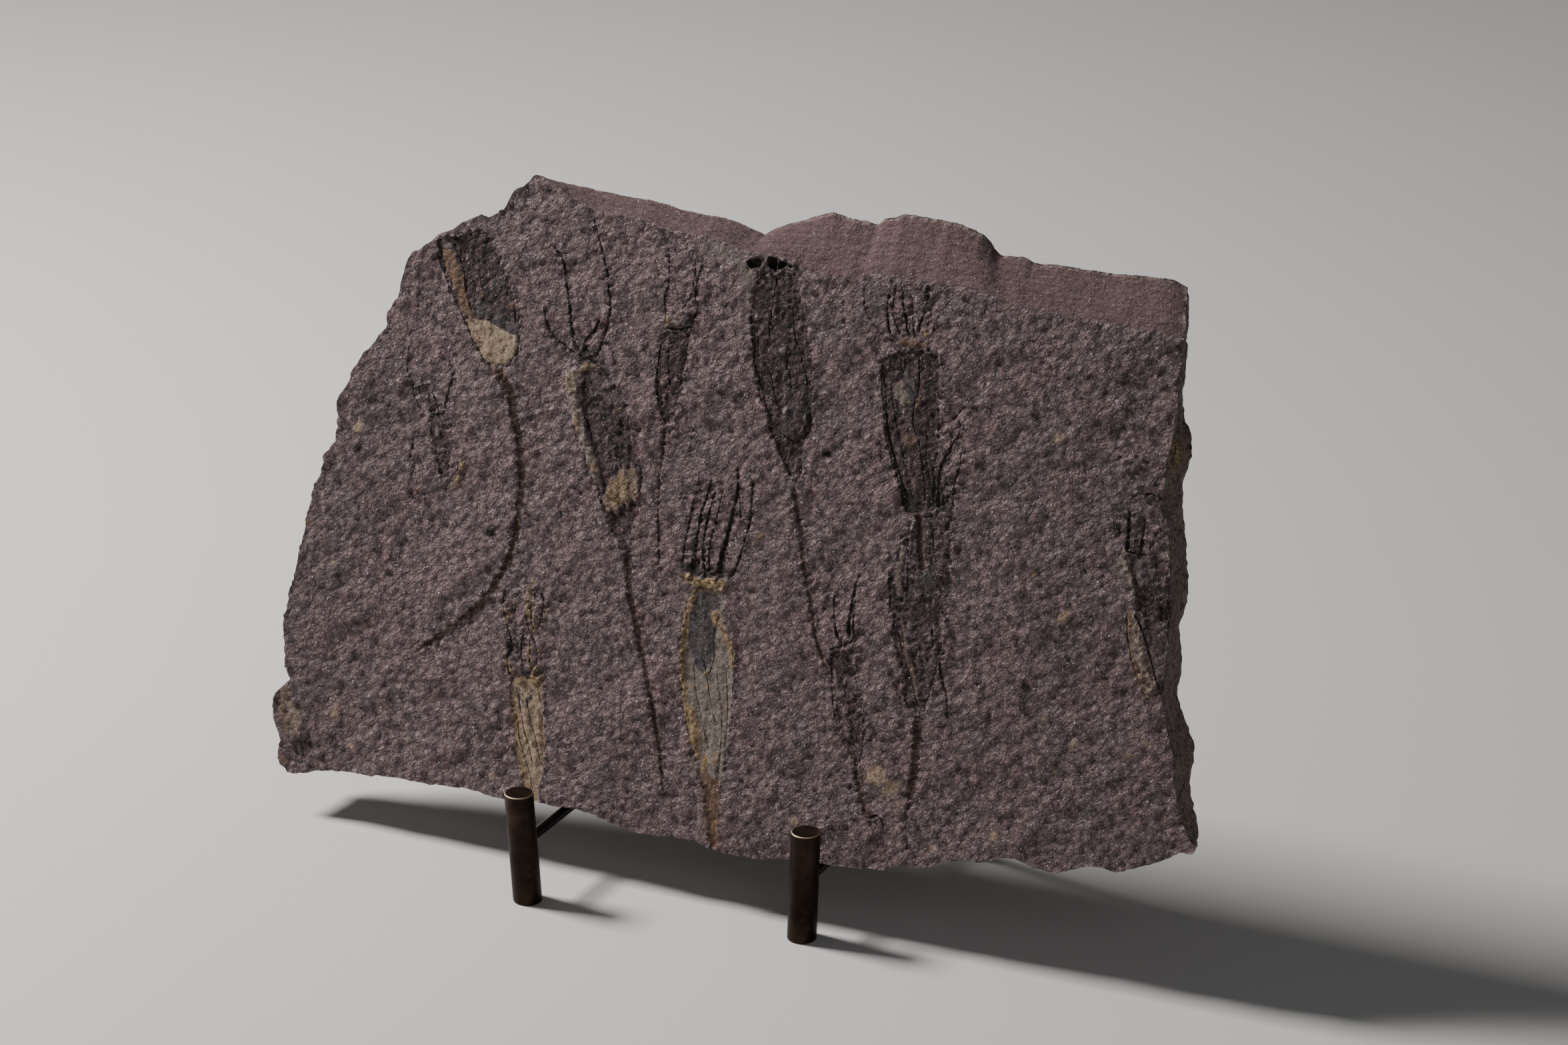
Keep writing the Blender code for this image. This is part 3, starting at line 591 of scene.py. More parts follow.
HOOKED = [
    body((-65.2, 154.6), (-66.3, 149.5), (-64.3, 139.7), (-61.9, 135.6), (-60.2, 130), (-56.6, 126),
        (-55, 121.2), (-50.6, 115.6), (-48.5, 110.7), (-44, 103.5), (-41.8, 98.7), (-36.1, 95.4),
        (-34.6, 99.5), (-34.2, 104.5), (-33.6, 110.2), (-32.6, 118), (-34.2, 124.7), (-37.6, 131.1),
        (-40.1, 139.7), (-43.6, 146.3), (-48.4, 151.1), (-52.6, 155.1), (-57.8, 157), (-62.7, 156.6),
        depth=0.3, strength=0.6),
    crust((-66.2, 153.6), (-63.7, 156.1), (-59.2, 154.1), (-58.7, 147.1), (-58.2, 139.1), (-55.2, 132.1),
        (-51.7, 124.7), (-47.6, 116.2), (-46.6, 111.2), (-51.7, 116.7), (-56.7, 124.7), (-61.9, 134.6),
        (-65.5, 144.7), height=0.5, stain=Stain.BLEACH, strength=0.62, soft=0.8),
    crust((-64.7, 153.1), (-60.7, 150.1), (-60.3, 140.1), (-56.7, 131.1), (-52.7, 122.7), (-49.2, 114.2),
        (-53.7, 120.7), (-59.7, 130.6), (-64.1, 143.7), height=0.2, stain=Stain.OCHRE, strength=0.36,
        soft=0.8),
    crust((-58.7, 155.6), (-52.7, 154.6), (-56.7, 152.1), (-62.7, 152.6), height=0.25, strength=0.5),
    spot(-59.2, 146.1, 2.0, Stain.SOOT_AND_SHADE, 0.3, 0.4, 1.4, 1.0),
    spot(-53.7, 146.1, 2.2, Stain.BLEACH, 0.35, 0.5, 1.5, 1.0),
    spot(-48.6, 149.1, 1.6, Stain.BLEACH, 0.3, 0.45, 1.6, 1.0),
    spot(-44.6, 141.1, 1.5, Stain.RUST, 0.2, 0.5, 1.6),
    spot(-43.6, 122.2, 1.6, Stain.BLEACH, 0.2, 0.4, 1.4),
    crust((-47.6, 110.2), (-45.6, 112.7), (-45.1, 117.7), (-42.6, 118.5), (-40.1, 123.7), (-38.1, 121.2),
        (-36.1, 122.7), (-33.1, 119.2), (-32.6, 113.2), (-33.6, 109.7), (-35.8, 111.7), (-36.4, 107.7),
        (-38.6, 109.9), (-40.2, 104), (-42, 106.5), (-44.1, 104.7), (-45.6, 107.7), height=0.7,
        stain=Stain.CREAM, strength=0.46, soft=0.4),
    crust((-45.6, 110.2), (-43.6, 116.2), (-40.1, 121.2), (-36.6, 117.2), (-37.6, 111.2), (-41.6, 107.2),
        height=0.0, strength=0.62, soft=1.2),
    crust((-37.6, 121.2), (-34.1, 119.2), (-33.6, 113.2), (-36.1, 114.2), height=0.0, stain=Stain.MOSS,
        strength=0.5, soft=0.9),
    spot(-38.6, 95.7, 1.6, Stain.BLEACH, 0.4, 0.4, 1.3),
    seam((-57.7, 153.1), (-54.7, 145.1), (-49.7, 136.1), (-43.6, 127.1), (-39.6, 118.2)),
    seam((-51.7, 150.1), (-45.6, 141.1), (-38.6, 131.1)),
    seam((-60.7, 146.1), (-55.7, 134.1), (-48.6, 122.2)),
    arm((-75.7, 192.2), (-72.8, 190.1), (-71.2, 187.3), (-70.4, 183.3), (-68.8, 178.5), (-67.1, 173.7),
        (-66.3, 168.9), (-65.1, 164.8), (-63.9, 160.8), (-61.1, 158), (-58.6, 156.4), width=(0.86, 1.72),
        depth=(0.23, 0.45), strength=0.85),
    arm((-61.9, 206.7), (-61.1, 202.6), (-57.8, 194.6), (-54.6, 187.3), (-52.2, 178.5), (-51.5, 173.7),
        (-52.6, 165.6), (-54.6, 158.4), (-56.2, 156), width=(0.77, 1.38), depth=(0.19, 0.38),
        strength=0.6),
    arm((-55, 170.5), (-56.6, 166.5), (-58.6, 164), (-59.8, 161.6), (-58.7, 158.4), width=(1.12, 1.72),
        depth=(0.34, 0.41), strength=0.85),
    arm((-77.3, 172.1), (-75.7, 167.3), (-74.1, 164), (-71.6, 161.6), (-67.8, 159.6), (-63.5, 157.6),
        width=(0.77, 1.38), strength=0.6),
    seam((-65.5, 177.6), (-62.7, 176.8), width=0.52),
    crust((-62.7, 159.6), (-55.7, 159.6), (-56.2, 155.6), (-61.7, 155.6), height=0.0, stain=Stain.SOOT_AND_SHADE,
        strength=0.65),
    spot(-58.7, 157.3, 0.8, Stain.MOSS, 0.3, 0.8, 2.0, 0.4),
    stem((-35.6, 96.2), (-34.3, 90.2), (-33.5, 85.2), (-32.3, 80.2), (-30.6, 75.2), (-28.8, 70.3),
        (-27.3, 65.3), (-23.7, 55.3), (-19.6, 45.3), (-16.5, 35.3), (-13.6, 25.4), (-11.5, 15.4),
        (-11.1, 12.9), width=(3.2, 1.4), depth=(0.5, 0.25), strength=0.85),
    spot(-19.5, 35.8, 1.4, Stain.OCHRE, 0.3, 0.4),
    crust((-66.8, 151.6), (-62.7, 151.2), (-60.5, 147.2), (-59.7, 140.9), (-56.4, 137.1), (-55.3, 131.5),
        (-52.6, 126.2), (-49.1, 121.0), (-47.4, 114.9), (-49.8, 114.5), (-52.6, 119.8), (-55.8, 125.7),
        (-58.4, 130.3), (-60.8, 132.8), (-63.1, 138.2), (-65.4, 143.6), height=0.4, stain=Stain.MOSS,
        strength=0.62, soft=0.6),
    crust((-66.3, 150.6), (-63.8, 150.3), (-63.1, 146.8), (-63.3, 143.2), (-65.4, 145.7), height=0.2,
        strength=0.55, soft=0.5),
    crust((-61.6, 134.8), (-59.0, 136.7), (-58.0, 131.8), (-60.0, 131.5), height=0.2, strength=0.5,
        soft=0.5),
    crust((-53.7, 120.3), (-50.7, 122.2), (-49.2, 118.2), (-52.3, 118.0), height=0.2, strength=0.5,
        soft=0.5),
    crust((-62.1, 153.0), (-57.8, 154.4), (-58.0, 152.6), (-61.0, 150.7), height=0.3, stain=Stain.CREAM,
        strength=0.6, soft=0.5),
    crust((-57.9, 151.9), (-53.0, 152.0), (-46.0, 147.3), (-42.3, 143.6), (-46.8, 141.5), (-53.7, 144.7),
        height=0.1, stain=Stain.BLEACH, strength=0.42, soft=0.8),
]
SLENDER = [
    body((-31.7, 169.3), (-31.8, 163.8), (-31.6, 158.1), (-31.2, 152.5), (-29.6, 146.3), (-26.9, 139.5),
        (-24.7, 139.1), (-21.6, 144.0), (-21.4, 149.8), (-21.1, 158.3), (-20.5, 166.2), (-20.5, 171.4),
        (-26.5, 170.9), depth=0.22, strength=0.5, crease=0.14),
    crust((-28.1, 170.0), (-21.0, 171.2), (-20.9, 164.0), (-21.6, 149.7), (-23.4, 145.2), (-26.8, 156.0),
        height=-0.1, stain=Stain.VIOLET, strength=0.9, soft=0.8),
    arm((-32.6, 199.0), (-31.1, 191.5), (-30.7, 185.2), (-31.5, 181.4), (-30.7, 176.0), (-29.8, 172.0),
        width=(0.5, 0.7), depth=(0.15, 0.3), strength=0.65),
    arm((-22.3, 196.6), (-21.3, 192.2), (-21.2, 186.6), (-22.1, 182.8), (-24.2, 178.9), width=(0.5, 0.6),
        strength=0.5),
    arm((-19.0, 195.7), (-19.8, 190.3), (-20.2, 183.5), (-18.8, 180.2), (-20.0, 174.7), (-20.6, 173.1),
        width=(0.6, 0.9), depth=(0.15, 0.35), strength=0.7),
    crust((-30.3, 174.3), (-29.3, 176.2), (-27.3, 178.6), (-22.8, 179.5), (-20.7, 178.7), (-20.4, 173.8),
        (-26.7, 172.2), (-29.8, 171.9), height=0.6, stain=Stain.MOSS, strength=0.36, soft=0.6),
    crust((-23.5, 178.5), (-20.8, 178.7), (-20.4, 174.0), (-23.0, 173.4), height=0.2, stain=Stain.SLATE,
        strength=0.8, soft=0.5),
    crust((-30.7, 174.9), (-28.6, 175.7), (-27.8, 172.3), (-30.1, 171.7), height=0.2, strength=0.6,
        soft=0.5),
    seam((-30.4, 171.5), (-26.7, 171.3), (-23.5, 172.1), (-20.1, 173.3), width=0.85, depth=0.42,
        strength=1.0),
    seam((-31.2, 168.8), (-31.2, 161.0), (-31.0, 152.5), (-29.0, 145.0), (-26.1, 138.9), width=0.45,
        depth=0.22, strength=0.85),
    seam((-28.1, 169.8), (-27.9, 162.9), (-27.0, 156.0), (-24.8, 149.9), width=0.45, strength=0.7),
    seam((-29.9, 164.0), (-30.2, 158.3), (-29.6, 152.7), (-27.6, 144.5), width=0.4, strength=0.5),
    seam((-20.8, 171.1), (-21.3, 162.5), (-21.7, 153.3), (-21.2, 145.5), width=0.4, strength=0.5),
    crust((-30.3, 154.1), (-27.7, 154.8), (-27.0, 152.1), (-29.4, 151.3), height=0.2, stain=Stain.CREAM,
        strength=0.5, soft=0.7),
    crust((-31.0, 162.5), (-28.6, 163.5), (-28.0, 156.5), (-30.0, 155.5), height=0.15, stain=Stain.MOSS,
        strength=0.4, soft=0.7),
    spot(-36.0, 163.2, 0.9, Stain.OCHRE, 0.1, 0.6),
    stem((-26.2, 138.6), (-25.9, 134.8), (-26.0, 129.1), (-25.9, 122.0), (-25.5, 114.9), (-24.7, 106.4),
        (-23.5, 98.1), (-22.0, 89.0), width=(1.7, 0.8), depth=(0.34, 0.18), strength=0.62),
    seam((-15.7, 139.3), (-15.6, 132.9), (-15.8, 129.3), width=0.4, strength=0.35),
]
MANY_ARMED = [
    body((-6.6, 85.7), (-9.8, 80.2), (-10.6, 75.2), (-10.2, 64.7), (-9.0, 55.8), (-8.2, 50.3),
        (-7.0, 44.9), (-5.4, 39.7), (-3.4, 34.4), (-1.3, 30), (0.4, 25.3), (2.7, 20.4), (9.5, 20.4),
        (10.4, 30.3), (10.6, 40.3), (10.8, 50.3), (10.2, 55.3), (9.6, 60.3), (8.8, 65.7), (7.5, 69.7),
        (5.6, 72.9), (3.6, 77.7), (3.4, 80.9), (3.6, 85.7), depth=0.32, stain=Stain.MOSS, strength=0.9),
    crust((-6.4, 85.2), (-9.1, 79.2), (-8.8, 70.3), (-8.2, 64.3), (-5.7, 62.8), (-4.5, 58.8),
        (-1.5, 57.5), (0.8, 62.3), (2.2, 66.3), (1.6, 73.3), (-0.9, 78.2), (1.8, 80.2), (1.2, 84.2),
        height=0.0, stain=Stain.SLATE, strength=0.9, soft=1.0),
    crust((-6.9, 81.2), (-2.9, 83.2), (-1.7, 76.2), (-3.3, 68.3), (-6.9, 70.3), height=0.0,
        stain=Stain.SOOT_AND_SHADE, strength=0.33, soft=1.6),
    crust((-8.4, 84.7), (-9.8, 80.7), (-11.2, 75.2), (-10.9, 66.3), (-10.1, 60.3), (-9.2, 52.3),
        (-7.5, 45.3), (-5.9, 40.3), (-2.9, 33.3), (-0.9, 28.3), (1.8, 28.3), (-0.9, 34.3), (-4.5, 40.3),
        (-6.1, 47.3), (-7.5, 55.3), (-8.7, 63.3), (-8.5, 70.3), (-9.1, 77.2), (-7.7, 83.2), height=0.3,
        strength=0.85, soft=0.6),
    crust((-1.2, 78.5), (1.6, 79.7), (2.8, 77.4), (5.6, 73.2), (8.6, 69.2), (10.2, 65.3), (10.8, 61.3),
        (8.6, 59.9), (7.2, 64.8), (5.0, 69.3), (2.0, 73.7), (-0.9, 75.7), height=0.35, strength=0.66,
        soft=0.7),
    crust((-13.6, 89.7), (-10.4, 90.1), (-5.9, 89), (-1.9, 90.4), (3.6, 90), (3.7, 87.5), (-1.9, 86.4),
        (-7.5, 85.8), (-9.9, 86.8), (-13.1, 87.8), height=0.5, strength=1.2, soft=0.4),
    crust((-4.4, 32.3), (-2.9, 36.3), (-5.9, 43.3), (-4.4, 46.3), (-1.5, 41.3), (0.8, 36.3), (0.6, 31.3),
        height=0.3, strength=0.75),
    crust((1.6, 23.4), (2.0, 28.8), (3.8, 30.8), (5.0, 26.8), (4.2, 22.9), height=0.25, strength=0.8),
    crust((5.6, 26.3), (6.2, 31.3), (8.7, 31.8), (8.2, 26.8), height=0.2, strength=0.6),
    spot(-5.3, 89.8, 0.9, Stain.SOOT_AND_SHADE, -0.3, 0.8),
    spot(-0.2, 90, 0.9, Stain.SOOT_AND_SHADE, -0.3, 0.8),
    spot(-9.9, 89.4, 0.8, Stain.SOOT_AND_SHADE, -0.3, 0.7),
    spot(-4.5, 51.8, 0.8, Stain.OCHRE, 0.2, 0.8, 1.8),
    spot(-0.2, 57.3, 0.7, Stain.OCHRE, 0.2, 0.7, 1.8),
    spot(7.4, 47.3, 1.0, Stain.RUST, 0.1, 0.5, 1.8),
    seam((-1.7, 61.5), (0.4, 55.8), (2.0, 50.3), (4.0, 44.5), (6.0, 39.7), strength=0.35),
    seam((-5.4, 60.3), (-3.5, 51.3), (-0.9, 44.3), (2.2, 36.3), (4.6, 30.3), strength=0.3),
    seam((3.4, 60.3), (5.4, 52.3), (7.4, 44.3), (8.4, 34.3), (8.6, 22.4), strength=0.3),
    seam((6.8, 60.8), (8.4, 52.3), (9.6, 43.3), (10.0, 32.3), strength=0.3),
    seam((2.2, 77.2), (1.0, 70.3), (2.1, 63.3), (0.6, 56.3), width=0.47, strength=0.6),
    spot(1.2, 52.8, 0.8, Stain.OCHRE, 0.1, 0.8, 1.8),
    spot(4.4, 44.3, 0.7, Stain.OCHRE, 0.1, 0.8, 1.8),
    arm((-10.8, 124.2), (-11.2, 120.2), (-12.5, 111.7), (-13.4, 101.7), (-13.7, 95.2), (-13.2, 90),
        width=(0.69, 1.29), strength=0.65),
    arm((-6.2, 123.7), (-7.4, 117.2), (-8.8, 110.7), (-9.3, 104.2), (-9.4, 98.7), (-9.1, 90.7),
        width=(0.86, 1.46), strength=0.9),
    arm((-4.6, 119.6), (-5.6, 112.4), (-6.8, 103.5), (-6.2, 97), (-4.2, 89.5), width=(0.86, 1.46),
        strength=0.9),
    arm((-1.6, 120.4), (-2.4, 113.2), (-4.0, 103.5), (-4.2, 97.8), (-3.2, 91.2), width=(0.52, 0.86),
        strength=0.85),
    arm((2.7, 129.1), (4.0, 122.2), (3.4, 116.4), (2.8, 111.6), (1.6, 102.7), (0.8, 98.7), (0.7, 91),
        width=(0.95, 2.15), depth=(0.23, 0.56), strength=1.0),
    arm((8.8, 126), (9.4, 119.6), (9.5, 110.7), (8.8, 106.7), (7.8, 100.2), (6.2, 94.2), (4.4, 91),
        width=(0.69, 1.46), strength=0.7),
    arm((3.8, 122), (4.8, 118.8), (5.6, 114.8), (6.0, 109.9), width=(0.43, 0.6) ),
    seam((-16.8, 117.2), (-17.0, 113.2), strength=0.35),
    # Two sunken pits at the arms' base, blackened: black stain and painted shade in them
    crust((-10.5, 95.4), (-7.1, 95), (-6.9, 89.8), (-10.3, 89.8), height=-0.5, stain=Stain.SOOT_AND_SHADE),
    crust((-0.4, 99.2), (2.2, 98.7), (2.3, 92.2), (-0.3, 92.2), height=-0.4, stain=Stain.SOOT_AND_SHADE),
    crust((-13.4, 93.7), (5.7, 94.2), (5.2, 90.2), (-12.9, 89.7), height=0.0, stain=Stain.SOOT_AND_SHADE,
        strength=0.5, soft=1.2),
    seam((4.4, 24.4), (6.6, 17.4), (7.4, 11.4), stain=Stain.RUST),
    seam((8.0, 26.3), (9.0, 18.4), (9.6, 10.4), (10.4, 3.4), strength=0.4),
    stem((6.4, 21.4), (7.6, 15.4), (8.2, 10.4), (9.0, 5.4), (10.2, 0.9), (10.5, -1.1), width=(6.5, 3.3),
        depth=(0.29, 0.38), stain=Stain.RUST, strength=1.2),
    crust((2.8, 22.4), (9.1, 22.4), (10.2, 15.4), (10.6, 9.4), (11.2, 4.4), (12.0, -0.6), (8.4, -0.6),
        (7.2, 5.4), (5.8, 11.4), (4.8, 16.9), height=0.0, stain=Stain.RUST, strength=1.3, soft=0.5),
    spot(14.3, 107.2, 1.1, Stain.OCHRE, 0.1),
    crust((-9.4, 77.1), (-9.5, 80.4), (-8.7, 83.6), (-6.7, 85.7), (-2.6, 87.0), (2.6, 87.3), (3.3, 86.0),
        (-2.5, 85.6), (-6.2, 84.2), (-7.2, 81.2), (-7.7, 77.5), height=0.25, strength=0.66, soft=0.5),
    crust((-6.6, 83.9), (-2.4, 85.3), (3.6, 85.8), (3.6, 84.8), (-2.3, 84.2), (-6.0, 82.7), height=0.2,
        stain=Stain.BLEACH, strength=0.6, soft=0.5),
    crust((-9.3, 80.8), (-3.3, 82.6), (-1.7, 76.4), (-4.9, 70.1), (-7.7, 72.5), height=0.0,
        stain=Stain.SOOT_AND_SHADE, strength=0.36, soft=1.2),
    crust((-0.6, 83.8), (4.2, 83.2), (5.9, 77.8), (3.0, 78.7), (1.2, 79.1), height=0.0, stain=Stain.SOOT_AND_SHADE,
        strength=0.33, soft=1.0),
    crust((-4.2, 77.4), (-1.1, 75.1), (0.6, 68.2), (-0.8, 63.7), (-4.1, 70.3), height=0.15,
        stain=Stain.OCHRE, strength=0.26, soft=1.0),
]
SHOULDERED = [
    body((1.9, 193.2), (1.1, 189.2), (0.8, 185.0), (0.8, 179.3), (2.7, 171.9), (4.0, 165.1),
        (6.3, 159.8), (7.8, 155.1), (10.8, 149.3), (13.3, 143.3), (16.3, 138.5), (19.2, 133.7),
        (22.3, 129.1), (26.2, 129.6), (25.8, 140.4), (26.6, 144.0), (27.7, 147.4), (27.3, 151.9),
        (27.5, 156.1), (26.2, 161.1), (25.9, 167.0), (23.4, 174.3), (20.8, 184.4), (18.3, 187.5),
        (17.7, 191.6), (15.7, 196.6), (8.1, 195.3), depth=0.26, strength=0.64, crease=0.15),
    crust((20.5, 154.9), (22.8, 153.1), (24.8, 151.6), (27.0, 152.1), (27.3, 147.1), (25.8, 143.3),
        (22.3, 140.9), (18.1, 143.2), (16.2, 146.9), (17.9, 151.1), height=0.55, stain=Stain.SLATE,
        strength=0.42, soft=0.6),
    crust((24.9, 151.1), (26.7, 151.4), (26.9, 147.6), (25.7, 144.2), (24.0, 143.6), (25.2, 147.3),
        height=0.25, stain=Stain.MOSS, strength=0.28, soft=0.8),
    spot(17.8, 150.7, 1.3, Stain.MOSS, 0.3, 0.7, 1.3),
    crust((15.4, 138.7), (19.1, 133.7), (22.1, 129.6), (25.8, 130.0), (25.4, 140.3), (21.4, 140.7),
        height=0.0, stain=Stain.VIOLET, strength=0.9),
    crust((18.0, 138.1), (19.0, 135.1), (20.0, 134.9), (19.3, 137.6), height=0.3, stain=Stain.BLEACH,
        strength=0.4, soft=0.5),
    crust((23.4, 135.1), (23.0, 131.8), (24.7, 131.2), (24.7, 134.6), height=0.3, stain=Stain.BLEACH,
        strength=0.45, soft=0.5),
    crust((9.3, 195.3), (8.8, 189.6), (8.6, 182.6), (8.9, 175.7), (6.8, 175.3), (5.9, 182.2),
        (6.3, 190.0), (7.0, 195.0), height=-0.1, stain=Stain.SOOT_AND_SHADE, strength=0.4, soft=0.8),
    crust((8.4, 180.5), (9.4, 174.3), (13.1, 171.4), (17.9, 173.5), (16.3, 181.7), (12.4, 186.0),
        height=-0.15, stain=Stain.VIOLET, strength=0.8, soft=1.2),
    crust((15.0, 167.5), (18.9, 160.4), (26.1, 157.3), (24.0, 164.0), (20.7, 170.4), height=-0.1,
        stain=Stain.VIOLET, strength=0.75, soft=1.2),
    crust((10.6, 154.5), (10.5, 151.7), (12.3, 149.8), (13.8, 151.1), (12.7, 154.1), height=0.5,
        stain=Stain.BLEACH, strength=0.4, soft=0.6),
    crust((12.9, 171.4), (15.6, 172.3), (16.0, 170.3), (14.5, 168.9), (12.6, 169.9), height=0.35,
        stain=Stain.BLEACH, strength=0.65, soft=0.5),
    crust((17.8, 180.5), (20.1, 180.8), (20.7, 177.1), (18.7, 177.0), height=0.3, stain=Stain.BLEACH,
        strength=0.6, soft=0.5),
    crust((14.6, 158.3), (17.3, 159.4), (17.9, 156.7), (15.7, 154.9), height=0.3, stain=Stain.BLEACH,
        strength=0.5, soft=0.5),
    crust((2.0, 181.6), (4.4, 181.3), (4.6, 178.9), (2.4, 178.5), height=0.25, stain=Stain.BLEACH,
        strength=0.5, soft=0.5),
    crust((10.7, 169.3), (12.3, 169.9), (12.8, 168.2), (11.1, 167.6), height=0.25, stain=Stain.BLEACH,
        strength=0.45, soft=0.5),
    crust((17.9, 186.1), (20.4, 187.0), (21.8, 182.5), (19.4, 181.4), height=0.2, stain=Stain.BLEACH,
        strength=0.35, soft=0.8),
    crust((24.0, 166.0), (26.0, 166.2), (26.3, 163.3), (24.6, 163.2), height=0.3, stain=Stain.BLEACH,
        strength=0.4, soft=0.5),
    seam((9.3, 195.3), (8.8, 189.6), (8.4, 181.9), (8.3, 176.6), (9.2, 173.6), (12.0, 171.2),
        (14.6, 167.1), (17.6, 163.3), (18.4, 159.6), (20.1, 157.0), width=0.5, depth=0.3, strength=0.95),
    seam((1.1, 179.4), (2.6, 172.6), (4.0, 167.9), (4.3, 164.4), (6.6, 159.9), (7.4, 155.0),
        (10.1, 149.8), width=0.45, depth=0.25, strength=0.85),
    seam((11.0, 148.6), (13.5, 142.6), (16.6, 138.2), (19.2, 133.7), (22.5, 129.2), width=0.5,
        depth=0.25, strength=0.8),
    seam((6.5, 165.5), (8.4, 164.0), (10.7, 161.9), (12.9, 155.9), (15.6, 150.6), width=0.5, depth=0.28,
        strength=0.9),
    seam((16.1, 185.1), (17.0, 179.7), (18.4, 175.0), (20.3, 171.8), (21.4, 168.4), (23.6, 163.9),
        (25.1, 160.6), width=0.5, depth=0.28, strength=0.9),
    seam((22.4, 175.2), (24.2, 172.4), (24.9, 169.0), (26.0, 164.3), width=0.4, strength=0.6),
    seam((2.7, 178.9), (4.8, 172.2), (5.4, 166.7), width=0.4, strength=0.45),
    seam((17.7, 191.6), (19.0, 184.2), (18.6, 181.3), width=0.4, strength=0.4),
    seam((14.3, 162.5), (15.6, 158.4), (15.4, 155.6), width=0.4, strength=0.5),
    seam((22.2, 140.7), (21.6, 136.9), (21.1, 132.6), width=0.45, strength=0.6),
    seam((17.4, 142.9), (20.0, 141.2), (23.0, 141.0), width=0.5, depth=0.3, strength=0.8),
    seam((27.0, 151.8), (27.8, 147.0), (25.7, 141.1), (26.5, 130.7), width=0.6, depth=0.3, strength=0.9),
    # Four deep pits at the top edge, blackened: black stain and painted shade in them
    body((-2.9, 197.9), (-1.4, 198.8), (2.2, 199.6), (2.6, 196.3), (0.8, 196.2), (-1.0, 195.6),
        depth=1.3, stain=Stain.SOOT_AND_SHADE, strength=1.0, crease=0.2),
    body((5.0, 200.8), (7.5, 200.9), (8.6, 198.7), (8.5, 196.0), (6.5, 196.6), (5.1, 198.2), depth=1.8,
        stain=Stain.SOOT_AND_SHADE, strength=1.0, crease=0.2),
    body((9.1, 200.3), (12.4, 199.5), (11.3, 197.8), (9.2, 196.5), (8.7, 198.7), depth=1.6,
        stain=Stain.SOOT_AND_SHADE, strength=1.0, crease=0.2),
    body((12.7, 199.3), (15.4, 198.8), (13.7, 198.0), (12.3, 198.0), depth=1.1, stain=Stain.SOOT_AND_SHADE,
        strength=0.9, crease=0.2),
    crust((-3.9, 196.9), (1.9, 200.5), (16.9, 199.2), (15.8, 196.2), (8.2, 194.4), (2.1, 193.5),
        height=0.0, stain=Stain.SOOT_AND_SHADE, strength=0.42, soft=1.6),
    stem((24.4, 126.1), (25.7, 120.2), (27.0, 115.2), (28.9, 110.2), (31.1, 100.2), (32.7, 95.2),
        (34.4, 90.2), (37.6, 80.2), (39.6, 75.2), (41.9, 70.3), (44.8, 65.8), width=(2.6, 1.2),
        depth=(0.40, 0.22), strength=0.75),
    crust((38.1, 77.1), (40.1, 77.5), (43.5, 71.0), (45.5, 66.0), (44.5, 65.8), (41.3, 70.6), height=0.0,
        stain=Stain.RUST, strength=0.42, soft=0.5),
    crust((16.7, 150.4), (21.1, 153.9), (25.2, 152.1), (27.2, 150.3), (26.9, 145.4), (23.5, 141.3),
        (18.6, 143.4), height=0.2, stain=Stain.MOSS, strength=0.36, soft=0.8),
]
